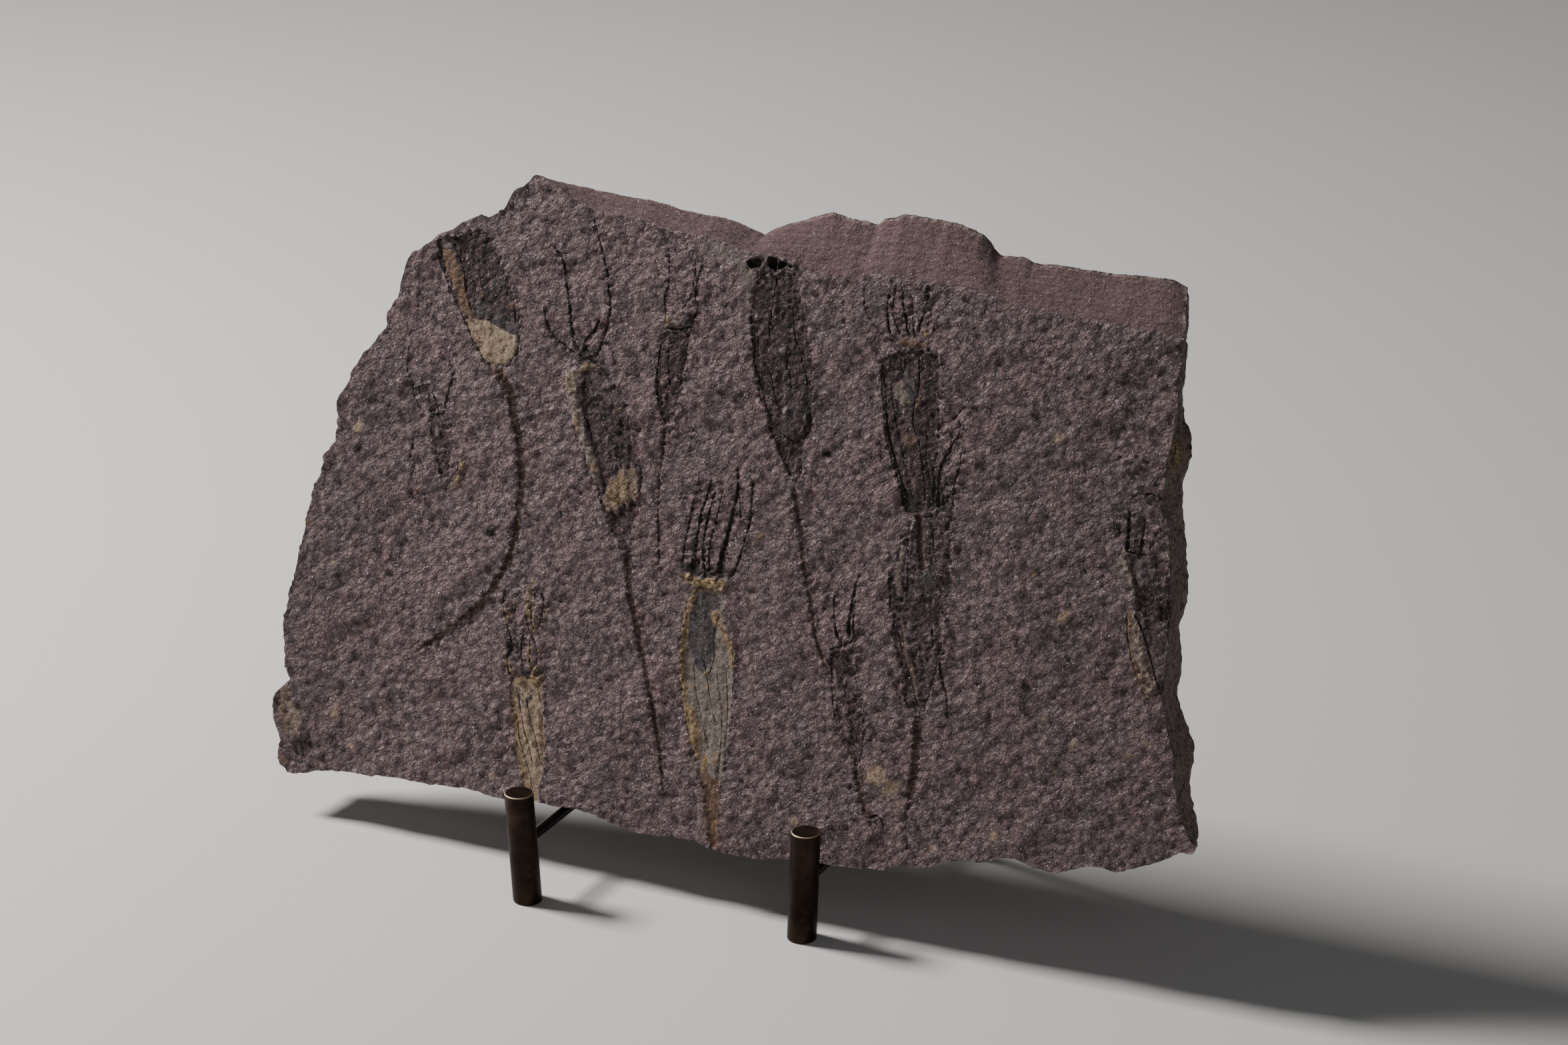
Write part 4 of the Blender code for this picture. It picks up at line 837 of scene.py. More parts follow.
LOWER = [
    body((44.8, 73.6), (45.7, 66.1), (46.9, 59.9), (49.1, 53.9), (51.1, 48.6), (53.8, 43.1),
        (57.4, 39.4), (59.4, 39.5), (60.3, 43.3), (60.6, 49.7), (59.5, 54.4), (57.2, 59.7), (55.1, 64.9),
        (53.6, 70.3), (53.5, 75.8), (49.4, 75.5), depth=0.18, strength=0.42, crease=0.13),
    crust((45.8, 73.5), (52.7, 75.3), (53.4, 67.5), (51.7, 64.3), (47.5, 66.4), height=0.0,
        stain=Stain.VIOLET, strength=0.75, soft=1.0),
    crust((50.2, 63.4), (55.2, 63.6), (59.2, 54.4), (59.7, 44.6), (54.8, 46.5), height=0.0,
        stain=Stain.VIOLET, strength=0.6, soft=1.4),
    crust((46.0, 67.2), (47.6, 66.4), (50.0, 60.5), (50.8, 57.8), (49.0, 58.2), (47.3, 62.1), height=0.2,
        stain=Stain.MOSS, strength=0.45, soft=0.7),
    arm((43.5, 93.3), (43.9, 87.0), (45.3, 82.3), (46.8, 78.5), (48.7, 76.5), width=(0.6, 1.1),
        depth=(0.2, 0.4), strength=0.75),
    arm((52.0, 100.7), (50.9, 97.4), (50.4, 93.1), (50.4, 86.7), (50.5, 82.5), (51.4, 79.0),
        width=(0.6, 1.7), depth=(0.2, 0.5), strength=0.85),
    arm((50.8, 95.3), (51.7, 86.2), (52.9, 79.4), width=(0.45, 0.7), strength=0.6),
    arm((41.8, 94.0), (40.5, 88.5), (40.1, 84.8), width=(0.4, 0.45), strength=0.4),
    arm((43.4, 103.8), (40.7, 101.6), (41.3, 98.5), width=(0.4, 0.45), strength=0.35),
    seam((44.3, 73.9), (47.0, 75.1), (50.0, 76.6), (52.7, 78.5), width=0.6, depth=0.32, strength=0.9),
    crust((51.5, 77.4), (54.1, 78.3), (55.3, 76.4), (53.7, 75.0), (51.9, 75.7), height=0.45,
        stain=Stain.BLEACH, strength=0.42, soft=0.6),
    crust((53.9, 78.2), (55.1, 78.0), (54.9, 76.2), (53.9, 76.8), height=0.1, strength=0.6, soft=0.4),
    crust((44.8, 73.6), (50.2, 75.7), (51.8, 75.8), (50.3, 74.6), (45.5, 73.0), height=0.2,
        stain=Stain.BLEACH, strength=0.35, soft=0.5),
    seam((44.7, 73.7), (46.2, 63.3), (47.6, 56.5), (50.6, 48.5), (53.8, 43.1), (58.3, 38.5), width=0.5,
        depth=0.24, strength=0.8),
    seam((51.4, 69.9), (55.1, 65.0), (58.2, 57.0), (60.6, 50.3), width=0.42, strength=0.6),
    seam((48.7, 65.9), (52.9, 57.5), (55.5, 50.2), (57.4, 42.7), width=0.4, strength=0.35),
    seam((60.0, 48.9), (60.3, 43.3), (60.1, 37.5), width=0.5, strength=0.7),
    seam((61.2, 46.8), (62.5, 47.6), (63.9, 47.5), width=0.45, strength=0.6),
    seam((61.9, 45.5), (63.5, 46.3), width=0.6, depth=0.3, strength=0.7),
    crust((55.5, 42.3), (57.8, 39.9), (59.4, 36.0), (58.6, 35.1), (56.8, 38.3), height=0.15,
        stain=Stain.RUST, strength=0.5, soft=0.6),
    stem((58.0, 39.4), (59.4, 33.8), (61.2, 28.5), (63.0, 24.2), (65.2, 20.0), width=(2.3, 1.6),
        depth=(0.3, 0.2), strength=0.62),
    arm((65.8, 19.7), (66.9, 20.8), (68.5, 21.5), (70.3, 20.7), (71.9, 17.8), width=(0.77, 0.69),
        depth=(0.45, 0.35), strength=1.0),
    arm((66.5, 19.6), (68.5, 15.7), (71.1, 11.2), (73.9, 6.1), width=(1.29, 1.2), depth=(0.12, 0.1),
        stain=Stain.CREAM, strength=0.36),
    crust((56.9, 39.8), (59.6, 39.6), (62.1, 32.2), (64.1, 25.5), (66.8, 20.3), (65.2, 19.2),
        (62.1, 24.8), (59.5, 31.7), height=0.0, stain=Stain.RUST, strength=0.42, soft=0.6),
]
FAN_ARMED = [
    body((50.4, 172.5), (50.5, 168.4), (51.8, 162.3), (53.7, 155.6), (55.4, 149.0), (57.5, 143.0),
        (60.3, 136.5), (63.6, 131.5), (65.2, 125.5), (78.6, 127.7), (78.0, 135.2), (75.6, 140.4),
        (74.4, 147.1), (73.3, 158.0), (72.7, 163.5), (72.4, 170.3), (71.2, 176.7), (67.7, 177.9),
        (61.0, 177.2), (53.6, 175.4), depth=0.26, strength=0.62, crease=0.16),
    crust((54.5, 176.9), (55.5, 175.4), (64.1, 176.5), (71.1, 178.1), (68.3, 179.0), (62.3, 178.6),
        (57.4, 178.3), height=0.2, stain=Stain.SOOT_AND_SHADE, strength=0.55, soft=0.8),
    crust((55.5, 179.6), (57.6, 180.9), (61.4, 181.0), (64.3, 180.7), (66.5, 181.2), (66.1, 179.5),
        (61.6, 179.2), (56.6, 178.6), height=0.4, stain=Stain.RUST, strength=0.85, soft=0.5),
    crust((63.8, 184.4), (65.4, 185.0), (66.1, 183.3), (64.5, 182.9), height=0.3, strength=0.75,
        soft=0.4),
    crust((50.7, 173.2), (53.8, 174.1), (54.1, 170.4), (51.4, 169.9), height=-0.12, stain=Stain.SOOT_AND_SHADE,
        strength=0.42),
    crust((54.5, 174.2), (58.1, 174.5), (58.5, 171.5), (54.9, 170.8), height=-0.12, stain=Stain.SOOT_AND_SHADE,
        strength=0.62, soft=0.5),
    crust((59.2, 174.7), (62.9, 175.2), (63.1, 172.2), (59.7, 171.6), height=-0.12, stain=Stain.SOOT_AND_SHADE,
        strength=0.55, soft=0.5),
    crust((64.2, 175.6), (68.3, 176.3), (69.2, 172.6), (64.9, 171.9), height=-0.1, stain=Stain.VIOLET,
        strength=0.9, soft=0.5),
    crust((55.9, 164.0), (57.0, 166.0), (58.8, 167.7), (60.2, 166.7), (59.7, 164.6), (61.4, 163.7),
        (63.0, 163.3), (62.9, 160.0), (60.7, 158.8), (58.1, 159.8), (56.6, 161.3), height=0.3,
        stain=Stain.MOSS, strength=0.62, soft=0.35),
    crust((57.6, 169.4), (61.0, 170.1), (63.3, 166.2), (64.1, 162.8), (62.9, 160.6), (61.9, 163.5),
        (60.2, 164.6), (60.3, 167.1), (58.8, 168.2), height=0.0, stain=Stain.SLATE, strength=1.0,
        soft=0.5),
    crust((60.6, 165.7), (62.4, 166.0), (63.4, 163.4), (61.8, 163.0), height=0.0, stain=Stain.SOOT_AND_SHADE,
        strength=0.65, soft=0.5),
    crust((63.9, 162.2), (65.9, 163.0), (66.2, 160.4), (65.0, 157.4), (64.0, 158.0), height=0.25,
        stain=Stain.RUST, strength=0.62, soft=0.4),
    crust((60.7, 149.2), (63.4, 150.4), (65.2, 151.9), (67.5, 149.6), (67.5, 146.7), (64.4, 145.4),
        (61.8, 145.2), height=0.28, stain=Stain.RUST, strength=0.5, soft=0.5),
    crust((62.0, 149.3), (63.8, 150.0), (65.8, 147.8), (64.3, 146.2), (62.6, 146.3), height=0.0,
        stain=Stain.CREAM, strength=0.38, soft=0.8),
    crust((58.0, 146.6), (60.6, 145.6), (62.2, 142.0), (61.2, 141.2), (58.9, 143.9), height=0.2,
        stain=Stain.MOSS, strength=0.45, soft=0.7),
    crust((64.5, 140.0), (67.4, 135.9), (69.6, 135.1), (70.9, 131.3), (68.0, 131.5), (64.8, 135.9),
        height=0.2, stain=Stain.RUST, strength=0.38, soft=0.8),
    crust((65.4, 167.9), (71.6, 170.2), (72.5, 163.8), (69.1, 161.5), (66.4, 162.5), height=0.0,
        stain=Stain.VIOLET, strength=1.0),
    crust((65.4, 156.5), (69.6, 158.2), (73.1, 157.0), (74.0, 149.2), (69.4, 148.1), (66.9, 150.8),
        height=0.0, stain=Stain.VIOLET, strength=0.95),
    crust((53.1, 167.4), (52.5, 158.9), (54.6, 155.1), (57.0, 158.2), (55.0, 164.9), height=0.0,
        stain=Stain.SOOT_AND_SHADE, strength=0.42),
    crust((62.3, 132.7), (64.1, 125.3), (68.7, 126.0), (66.5, 129.9), height=-0.3, stain=Stain.SOOT_AND_SHADE,
        strength=0.85),
    crust((71.9, 138.1), (73.2, 126.8), (78.4, 127.7), (75.9, 134.9), height=-0.25, stain=Stain.SOOT_AND_SHADE,
        strength=0.75),
    crust((67.0, 175.0), (68.7, 173.2), (71.3, 173.6), (70.8, 176.3), height=0.15, stain=Stain.BLEACH,
        strength=0.35),
    crust((69.2, 160.9), (69.1, 157.4), (70.5, 156.8), (72.7, 160.7), (71.5, 161.9), height=0.25,
        stain=Stain.BLEACH, strength=0.38),
    seam((50.4, 170.4), (51.5, 164.3), (53.6, 155.6), (55.3, 148.2), (57.3, 143.0), (60.4, 136.5),
        (64.2, 131.4), width=0.5, depth=0.25, strength=0.85),
    seam((53.8, 173.8), (54.3, 167.5), (56.4, 159.5), (58.5, 152.9), (61.3, 145.0), (63.3, 140.5),
        width=0.45, strength=0.7),
    seam((63.6, 175.6), (65.1, 166.5), (64.2, 160.1), (64.4, 153.9), (66.9, 148.7), (69.4, 141.5),
        (72.1, 129.4), width=0.5, depth=0.3, strength=0.9),
    seam((72.2, 164.8), (73.3, 158.0), (74.3, 147.1), (73.5, 137.3), (75.3, 127.8), width=0.45,
        strength=0.55),
    seam((69.9, 151.3), (70.6, 143.8), (72.4, 137.1), width=0.4, strength=0.4),
    seam((58.7, 174.8), (59.0, 171.1), (58.1, 168.1), width=0.5, strength=0.7),
    seam((52.6, 169.8), (58.9, 170.9), width=0.4, strength=0.5),
    arm((51.0, 199.2), (50.4, 194.0), (50.6, 187.8), (52.8, 181.0), width=(0.8, 0.9), strength=0.85),
    arm((52.5, 198.4), (52.5, 189.4), (55.0, 183.9), (57.8, 181.4), width=(0.7, 0.8), strength=0.75),
    arm((54.7, 198.7), (56.5, 190.0), (59.4, 182.0), width=(0.7, 0.9), strength=0.75),
    arm((58.6, 195.2), (59.6, 188.8), (61.3, 182.3), width=(0.6, 0.8), strength=0.7),
    arm((63.9, 199.9), (64.1, 192.5), (62.9, 186.7), (62.5, 182.5), width=(1.6, 1.2), depth=(0.35, 0.35),
        strength=0.8),
    arm((66.0, 197.6), (66.1, 191.4), (65.6, 185.7), width=(0.6, 0.6), strength=0.55),
    arm((69.6, 192.0), (68.7, 188.4), (67.6, 184.8), width=(0.5, 0.6), strength=0.4),
    arm((41.0, 196.7), (42.1, 189.3), (46.0, 184.2), (51.4, 180.3), (54.4, 179.4), width=(0.6, 0.8),
        strength=0.45),
    spot(40.8, 198.5, 1.0, Stain.SOOT_AND_SHADE, -0.3, 0.9),
    crust((39.3, 196.5), (48.2, 198.5), (50.1, 190.5), (45.4, 184.9), (41.0, 189.1), height=0.0,
        stain=Stain.SLATE, strength=0.4, soft=1.5),
    stem((69.9, 126.2), (70.8, 122.9), (72.0, 116.1), (73.4, 109.4), (74.2, 105.7), width=(2.8, 2.6),
        depth=(0.46, 0.35) ),
    crust((59.3, 159.2), (64.1, 159.6), (64.7, 153.8), (66.0, 151.9), (61.8, 150.9), (60.2, 154.5),
        height=0.1, stain=Stain.BLEACH, strength=0.36, soft=0.8),
    crust((65.4, 135.5), (70.4, 135.2), (71.7, 131.3), (67.9, 131.0), height=0.1, stain=Stain.BLEACH,
        strength=0.36, soft=0.8),
    crust((50.9, 172.5), (54.6, 173.7), (56.9, 165.0), (58.2, 158.3), (54.2, 159.1), height=0.0,
        stain=Stain.SOOT_AND_SHADE, strength=0.36, soft=1.0),
    crust((68.2, 168.9), (72.7, 169.6), (73.5, 164.9), (69.8, 162.9), height=0.0, stain=Stain.SOOT_AND_SHADE,
        strength=0.34, soft=1.0),
    seam((51.2, 169.7), (53.3, 161.7), (54.6, 155.0), (56.4, 148.3), (59.8, 140.5), (62.8, 134.7),
        (65.8, 129.6), width=0.7, depth=0.38, strength=1.0),
    arm((64.5, 199.7), (64.0, 194.5), (63.2, 188.8), (62.7, 182.6), width=(1.3, 0.9), depth=(0.3, 0.35),
        stain=Stain.BROWN, strength=0.8),
]
UNDERLYING = [
    body((69.6, 123.4), (69.4, 120.6), (67.0, 116.2), (64.9, 112.4), (63.9, 107.4), (62.7, 103.0),
        (64.0, 92.0), (65.5, 88.8), (67.1, 82.4), (68.9, 76.7), (71.1, 71.8), (72.8, 64.8), (76.4, 58.7),
        (80.9, 59.4), (82.7, 64.5), (84.4, 75.7), (84.4, 81.6), (83.9, 88.5), (84.7, 92.9), (84.5, 98.4),
        (84.4, 106.1), (84.0, 113.0), (82.8, 119.7), (82.3, 125.5), (76.8, 125.7), (73.1, 124.5),
        depth=0.22, strength=0.5, crease=0.14),
    crust((63.8, 131.2), (64.0, 127.0), (65.9, 123.8), (70.5, 124.5), (71.4, 126.9), (67.4, 130.4),
        height=-0.35, stain=Stain.SOOT_AND_SHADE, strength=0.9),
    crust((75.1, 131.6), (76.4, 125.6), (81.6, 126.5), (81.6, 129.2), (80.1, 132.5), (77.8, 129.6),
        height=-0.3, stain=Stain.SOOT_AND_SHADE, strength=0.9),
    crust((73.1, 104.8), (74.8, 99.2), (79.3, 100.3), (79.7, 103.9), (77.1, 106.2), height=0.0,
        stain=Stain.SLATE, strength=0.8, soft=1.2),
    crust((65.4, 113.3), (64.5, 107.5), (63.9, 103.2), (66.2, 95.2), (68.2, 95.6), (66.7, 103.7),
        (67.1, 109.4), (67.4, 112.9), height=0.25, stain=Stain.MOSS, strength=0.5, soft=0.8),
    crust((67.8, 89.9), (70.4, 83.3), (72.1, 75.9), (74.7, 70.0), (77.2, 64.2), (78.5, 64.4),
        (76.6, 71.1), (74.7, 75.6), (71.7, 83.5), (68.9, 90.1), height=0.35, stain=Stain.CREAM,
        strength=0.42, soft=0.6),
    crust((66.3, 88.2), (67.6, 82.5), (70.5, 75.6), (72.1, 72.4), (70.8, 77.8), (68.5, 83.7),
        (67.2, 88.4), height=0.15, stain=Stain.RUST, strength=0.5, soft=0.6),
    crust((82.4, 92.4), (83.7, 85.7), (86.3, 86.1), (85.2, 91.5), height=0.25, stain=Stain.MOSS,
        strength=0.45, soft=0.8),
    crust((77.1, 88.0), (77.1, 84.2), (82.2, 85.1), (81.4, 88.1), height=0.15, stain=Stain.BLEACH,
        strength=0.4),
    crust((69.6, 93.7), (70.0, 87.5), (82.7, 89.7), (82.2, 98.0), (75.1, 98.2), height=0.0,
        stain=Stain.VIOLET, strength=0.8, soft=1.5),
    seam((62.7, 103.6), (63.2, 97.5), (64.4, 91.2), width=0.6, depth=0.3, strength=0.9),
    seam((65.9, 89.5), (68.8, 82.3), (70.9, 77.1), (73.2, 72.6), (75.6, 67.4), (78.3, 60.8), width=0.45,
        strength=0.6),
    seam((72.5, 64.6), (74.1, 61.3), (76.2, 58.9), width=0.55, depth=0.3, strength=0.8),
    seam((81.2, 101.3), (82.7, 93.9), (83.9, 87.1), (84.8, 77.5), width=0.4, strength=0.45),
    seam((83.0, 74.4), (82.3, 67.2), (80.9, 62.0), width=0.6, stain=Stain.VIOLET, strength=0.7),
    seam((67.5, 120.6), (68.3, 111.7), (69.1, 102.7), (69.8, 95.8), width=0.45, strength=0.4),
    seam((76.2, 118.6), (77.6, 112.6), (77.0, 106.9), (78.8, 103.7), width=0.45, strength=0.4),
    seam((80.1, 87.3), (80.6, 84.8), width=0.9, depth=0.6, strength=1.0),
    seam((77.2, 57.0), (80.8, 56.9), width=0.7, depth=0.3, strength=0.8),
    arm((84.6, 76.2), (85.4, 73.0), (86.8, 69.4), (88.7, 64.9), (89.1, 58.8), width=(1.1, 0.8),
        depth=(0.4, 0.2), stain=Stain.BROWN, strength=0.9),
    seam((84.5, 76.6), (85.3, 73.4), width=0.9, depth=0.5, strength=1.0),
    stem((78.9, 57.1), (79.7, 51.2), (79.8, 44.9), (80.1, 39.3), (79.6, 33.6), (79.4, 28.2),
        width=(4.0, 2.9), depth=(0.42, 0.26), strength=0.85),
    stem((79.2, 28.2), (79.6, 22.9), (80.1, 17.4), (81.5, 11.2), width=(2.3, 1.6), depth=(0.16, 0.1),
        strength=0.42),
    arm((84.1, 165.1), (82.3, 162.5), (80.4, 159.8), (76.8, 155.6), width=(0.6, 0.6), depth=(0.15, 0.2),
        strength=0.5),
    crust((83.8, 162.7), (84.8, 163.9), (85.6, 163.0), (84.1, 160.4), (82.6, 160.1), height=0.2,
        strength=0.5, soft=0.5),
    arm((80.8, 157.1), (81.5, 154.1), (80.9, 151.9), (79.5, 149.6), width=(0.7, 0.8), strength=0.7),
    arm((76.7, 154.4), (78.0, 152.5), (78.7, 150.9), width=(0.5, 0.6), strength=0.6),
    arm((79.5, 149.4), (78.4, 146.3), (77.0, 143.0), (76.3, 138.7), (76.4, 132.1), (76.9, 127.3),
        width=(1.1, 1.4), depth=(0.35, 0.45), strength=1.0),
    arm((82.8, 147.7), (83.1, 142.2), (81.9, 136.5), (82.0, 128.5), width=(0.6, 1.2), depth=(0.2, 0.4),
        strength=0.75),
    arm((79.0, 138.8), (78.6, 133.9), (78.4, 128.3), width=(0.5, 0.7), strength=0.6),
    crust((76.4, 148.1), (76.3, 141.8), (77.2, 139.2), (79.0, 145.0), height=-0.1, stain=Stain.SLATE,
        strength=0.6, soft=0.6),
    arm((74.2, 138.4), (74.6, 133.2), (75.6, 127.8), width=(0.6, 0.9), strength=0.8),
]
EDGE_CUT = [
    body((146.4, 123.0), (151.3, 124.5), (157.3, 123.9), (161.3, 117.1), (163.0, 105.1), (163.0, 94.8),
        (163.6, 81.5), (161.0, 81.4), (157.3, 87.6), (153.1, 96.5), (151.3, 104.4), (149.4, 112.9),
        (146.6, 118.6), depth=0.3, strength=0.5, crease=0.12),
    crust((147.0, 122.3), (149.4, 119.8), (151.7, 113.4), (153.7, 113.0), (156.0, 116.8), (152.2, 123.0),
        height=0.3, stain=Stain.SLATE, strength=0.55, soft=0.8),
    crust((150.2, 113.8), (151.4, 107.5), (155.9, 107.2), (156.8, 111.5), (154.0, 115.1), height=-0.25,
        stain=Stain.VIOLET, strength=1.0),
    crust((156.5, 108.0), (159.2, 103.7), (162.5, 103.6), (162.3, 107.7), (159.4, 108.9), height=-0.3,
        stain=Stain.VIOLET, strength=1.0),
    crust((158.2, 101.5), (159.1, 94.8), (162.9, 91.4), (162.4, 100.2), height=-0.1, stain=Stain.VIOLET,
        strength=0.42, soft=1.2),
    crust((157.1, 119.7), (159.3, 119.4), (160.2, 116.2), (158.0, 115.8), height=0.25,
        stain=Stain.BLEACH, strength=0.5),
    crust((141.8, 122.9), (144.2, 123.0), (146.4, 120.0), (149.0, 114.3), (150.6, 109.1), (149.5, 108.5),
        (146.5, 113.8), (144.2, 117.5), (141.9, 119.2), height=0.3, stain=Stain.MOSS, strength=0.62,
        soft=0.6),
    crust((149.3, 107.1), (151.2, 105.0), (153.9, 99.4), (157.5, 91.8), (161.7, 82.6), (160.2, 81.6),
        (158.5, 78.9), (156.7, 79.3), (153.9, 84.3), (151.0, 90.6), (149.0, 97.8), (147.8, 104.4),
        height=0.5, stain=Stain.CREAM, strength=0.42, soft=0.7),
    crust((147.4, 105.7), (148.7, 105.3), (150.1, 97.3), (152.2, 90.1), (154.8, 84.4), (158.7, 77.6),
        (156.6, 78.2), (153.2, 84.1), (150.3, 90.5), (148.4, 97.7), height=0.1, stain=Stain.RUST,
        strength=0.75, soft=0.6),
    crust((139.8, 122.3), (138.8, 113.8), (141.3, 111.5), (144.5, 114.8), (142.4, 119.9), height=0.0,
        stain=Stain.MOSS, strength=0.3, soft=2.0),
    seam((149.6, 105.6), (151.7, 103.1), (154.1, 99.0), (156.5, 93.6), (159.0, 87.9), (162.2, 81.0),
        width=0.6, depth=0.35, strength=0.9),
    seam((147.3, 105.4), (148.7, 97.7), (150.9, 90.2), (154.1, 84.3), (157.8, 77.9), width=0.5,
        depth=0.3, strength=0.8),
    seam((154.8, 117.3), (156.6, 112.8), (158.5, 108.4), (161.0, 104.7), width=0.45, strength=0.6),
    arm((142.8, 140.5), (144.4, 142.2), (146.1, 143.5), (149.4, 144.3), (152.2, 144.1), (154.4, 143.3),
        width=(0.5, 0.5), strength=0.75),
    arm((140.8, 137.8), (141.3, 132.1), (141.4, 128.0), width=(0.6, 0.7), strength=0.5),
    arm((144.1, 138.0), (144.4, 132.6), (145.1, 124.9), width=(1.1, 1.6), depth=(0.3, 0.55),
        strength=1.0),
    arm((149.3, 136.5), (149.5, 130.7), (149.3, 124.2), width=(0.8, 1.2), depth=(0.2, 0.4), strength=0.9),
    arm((147.2, 135.1), (147.3, 129.7), (147.6, 124.6), width=(0.5, 0.7), strength=0.5),
    arm((156.3, 138.7), (154.0, 131.5), (152.0, 125.4), width=(0.6, 0.9), stain=Stain.VIOLET,
        strength=0.42),
    seam((144.7, 124.6), (147.6, 124.4), (150.6, 124.2), width=0.7, depth=0.4, strength=0.95),
    crust((138.7, 154.5), (144.5, 155.1), (146.2, 153.3), (144.5, 150.0), (140.5, 149.3), (138.6, 151.4),
        height=0.8, stain=Stain.BLEACH, strength=0.45, soft=1.0),
    crust((143.2, 155.4), (145.9, 155.5), (144.6, 154.1), (143.1, 154.2), height=-0.2, stain=Stain.SOOT_AND_SHADE,
        strength=0.45),
    seam((137.7, 154.1), (139.0, 154.8), width=0.58, depth=0.41, strength=0.8),
    crust((147.2, 122.8), (152.2, 123.9), (154.3, 119.6), (153.1, 117.3), (151.5, 113.0), (149.1, 114.6),
        (147.6, 119.1), height=0.1, stain=Stain.MOSS, strength=0.42, soft=0.8),
    crust((142.7, 125.1), (144.8, 124.8), (147.0, 121.8), (148.8, 116.6), (150.2, 112.0), (148.8, 111.8),
        (145.8, 117.4), (143.7, 120.5), height=0.2, stain=Stain.CREAM, strength=0.36, soft=0.8),
    crust((149.1, 106.4), (152.6, 105.6), (155.6, 99.3), (158.7, 93.0), (161.6, 86.6), (163.3, 81.5),
        (160.6, 79.6), (157.3, 84.5), (153.9, 90.7), (150.8, 97.1), height=0.1, stain=Stain.BLEACH,
        strength=0.62, soft=0.7),
    crust((155.6, 102.0), (162.6, 102.6), (165.1, 87.3), (163.9, 82.9), (160.8, 89.2), (157.6, 95.5),
        height=0.1, stain=Stain.MOSS, strength=0.3, soft=0.8),
]
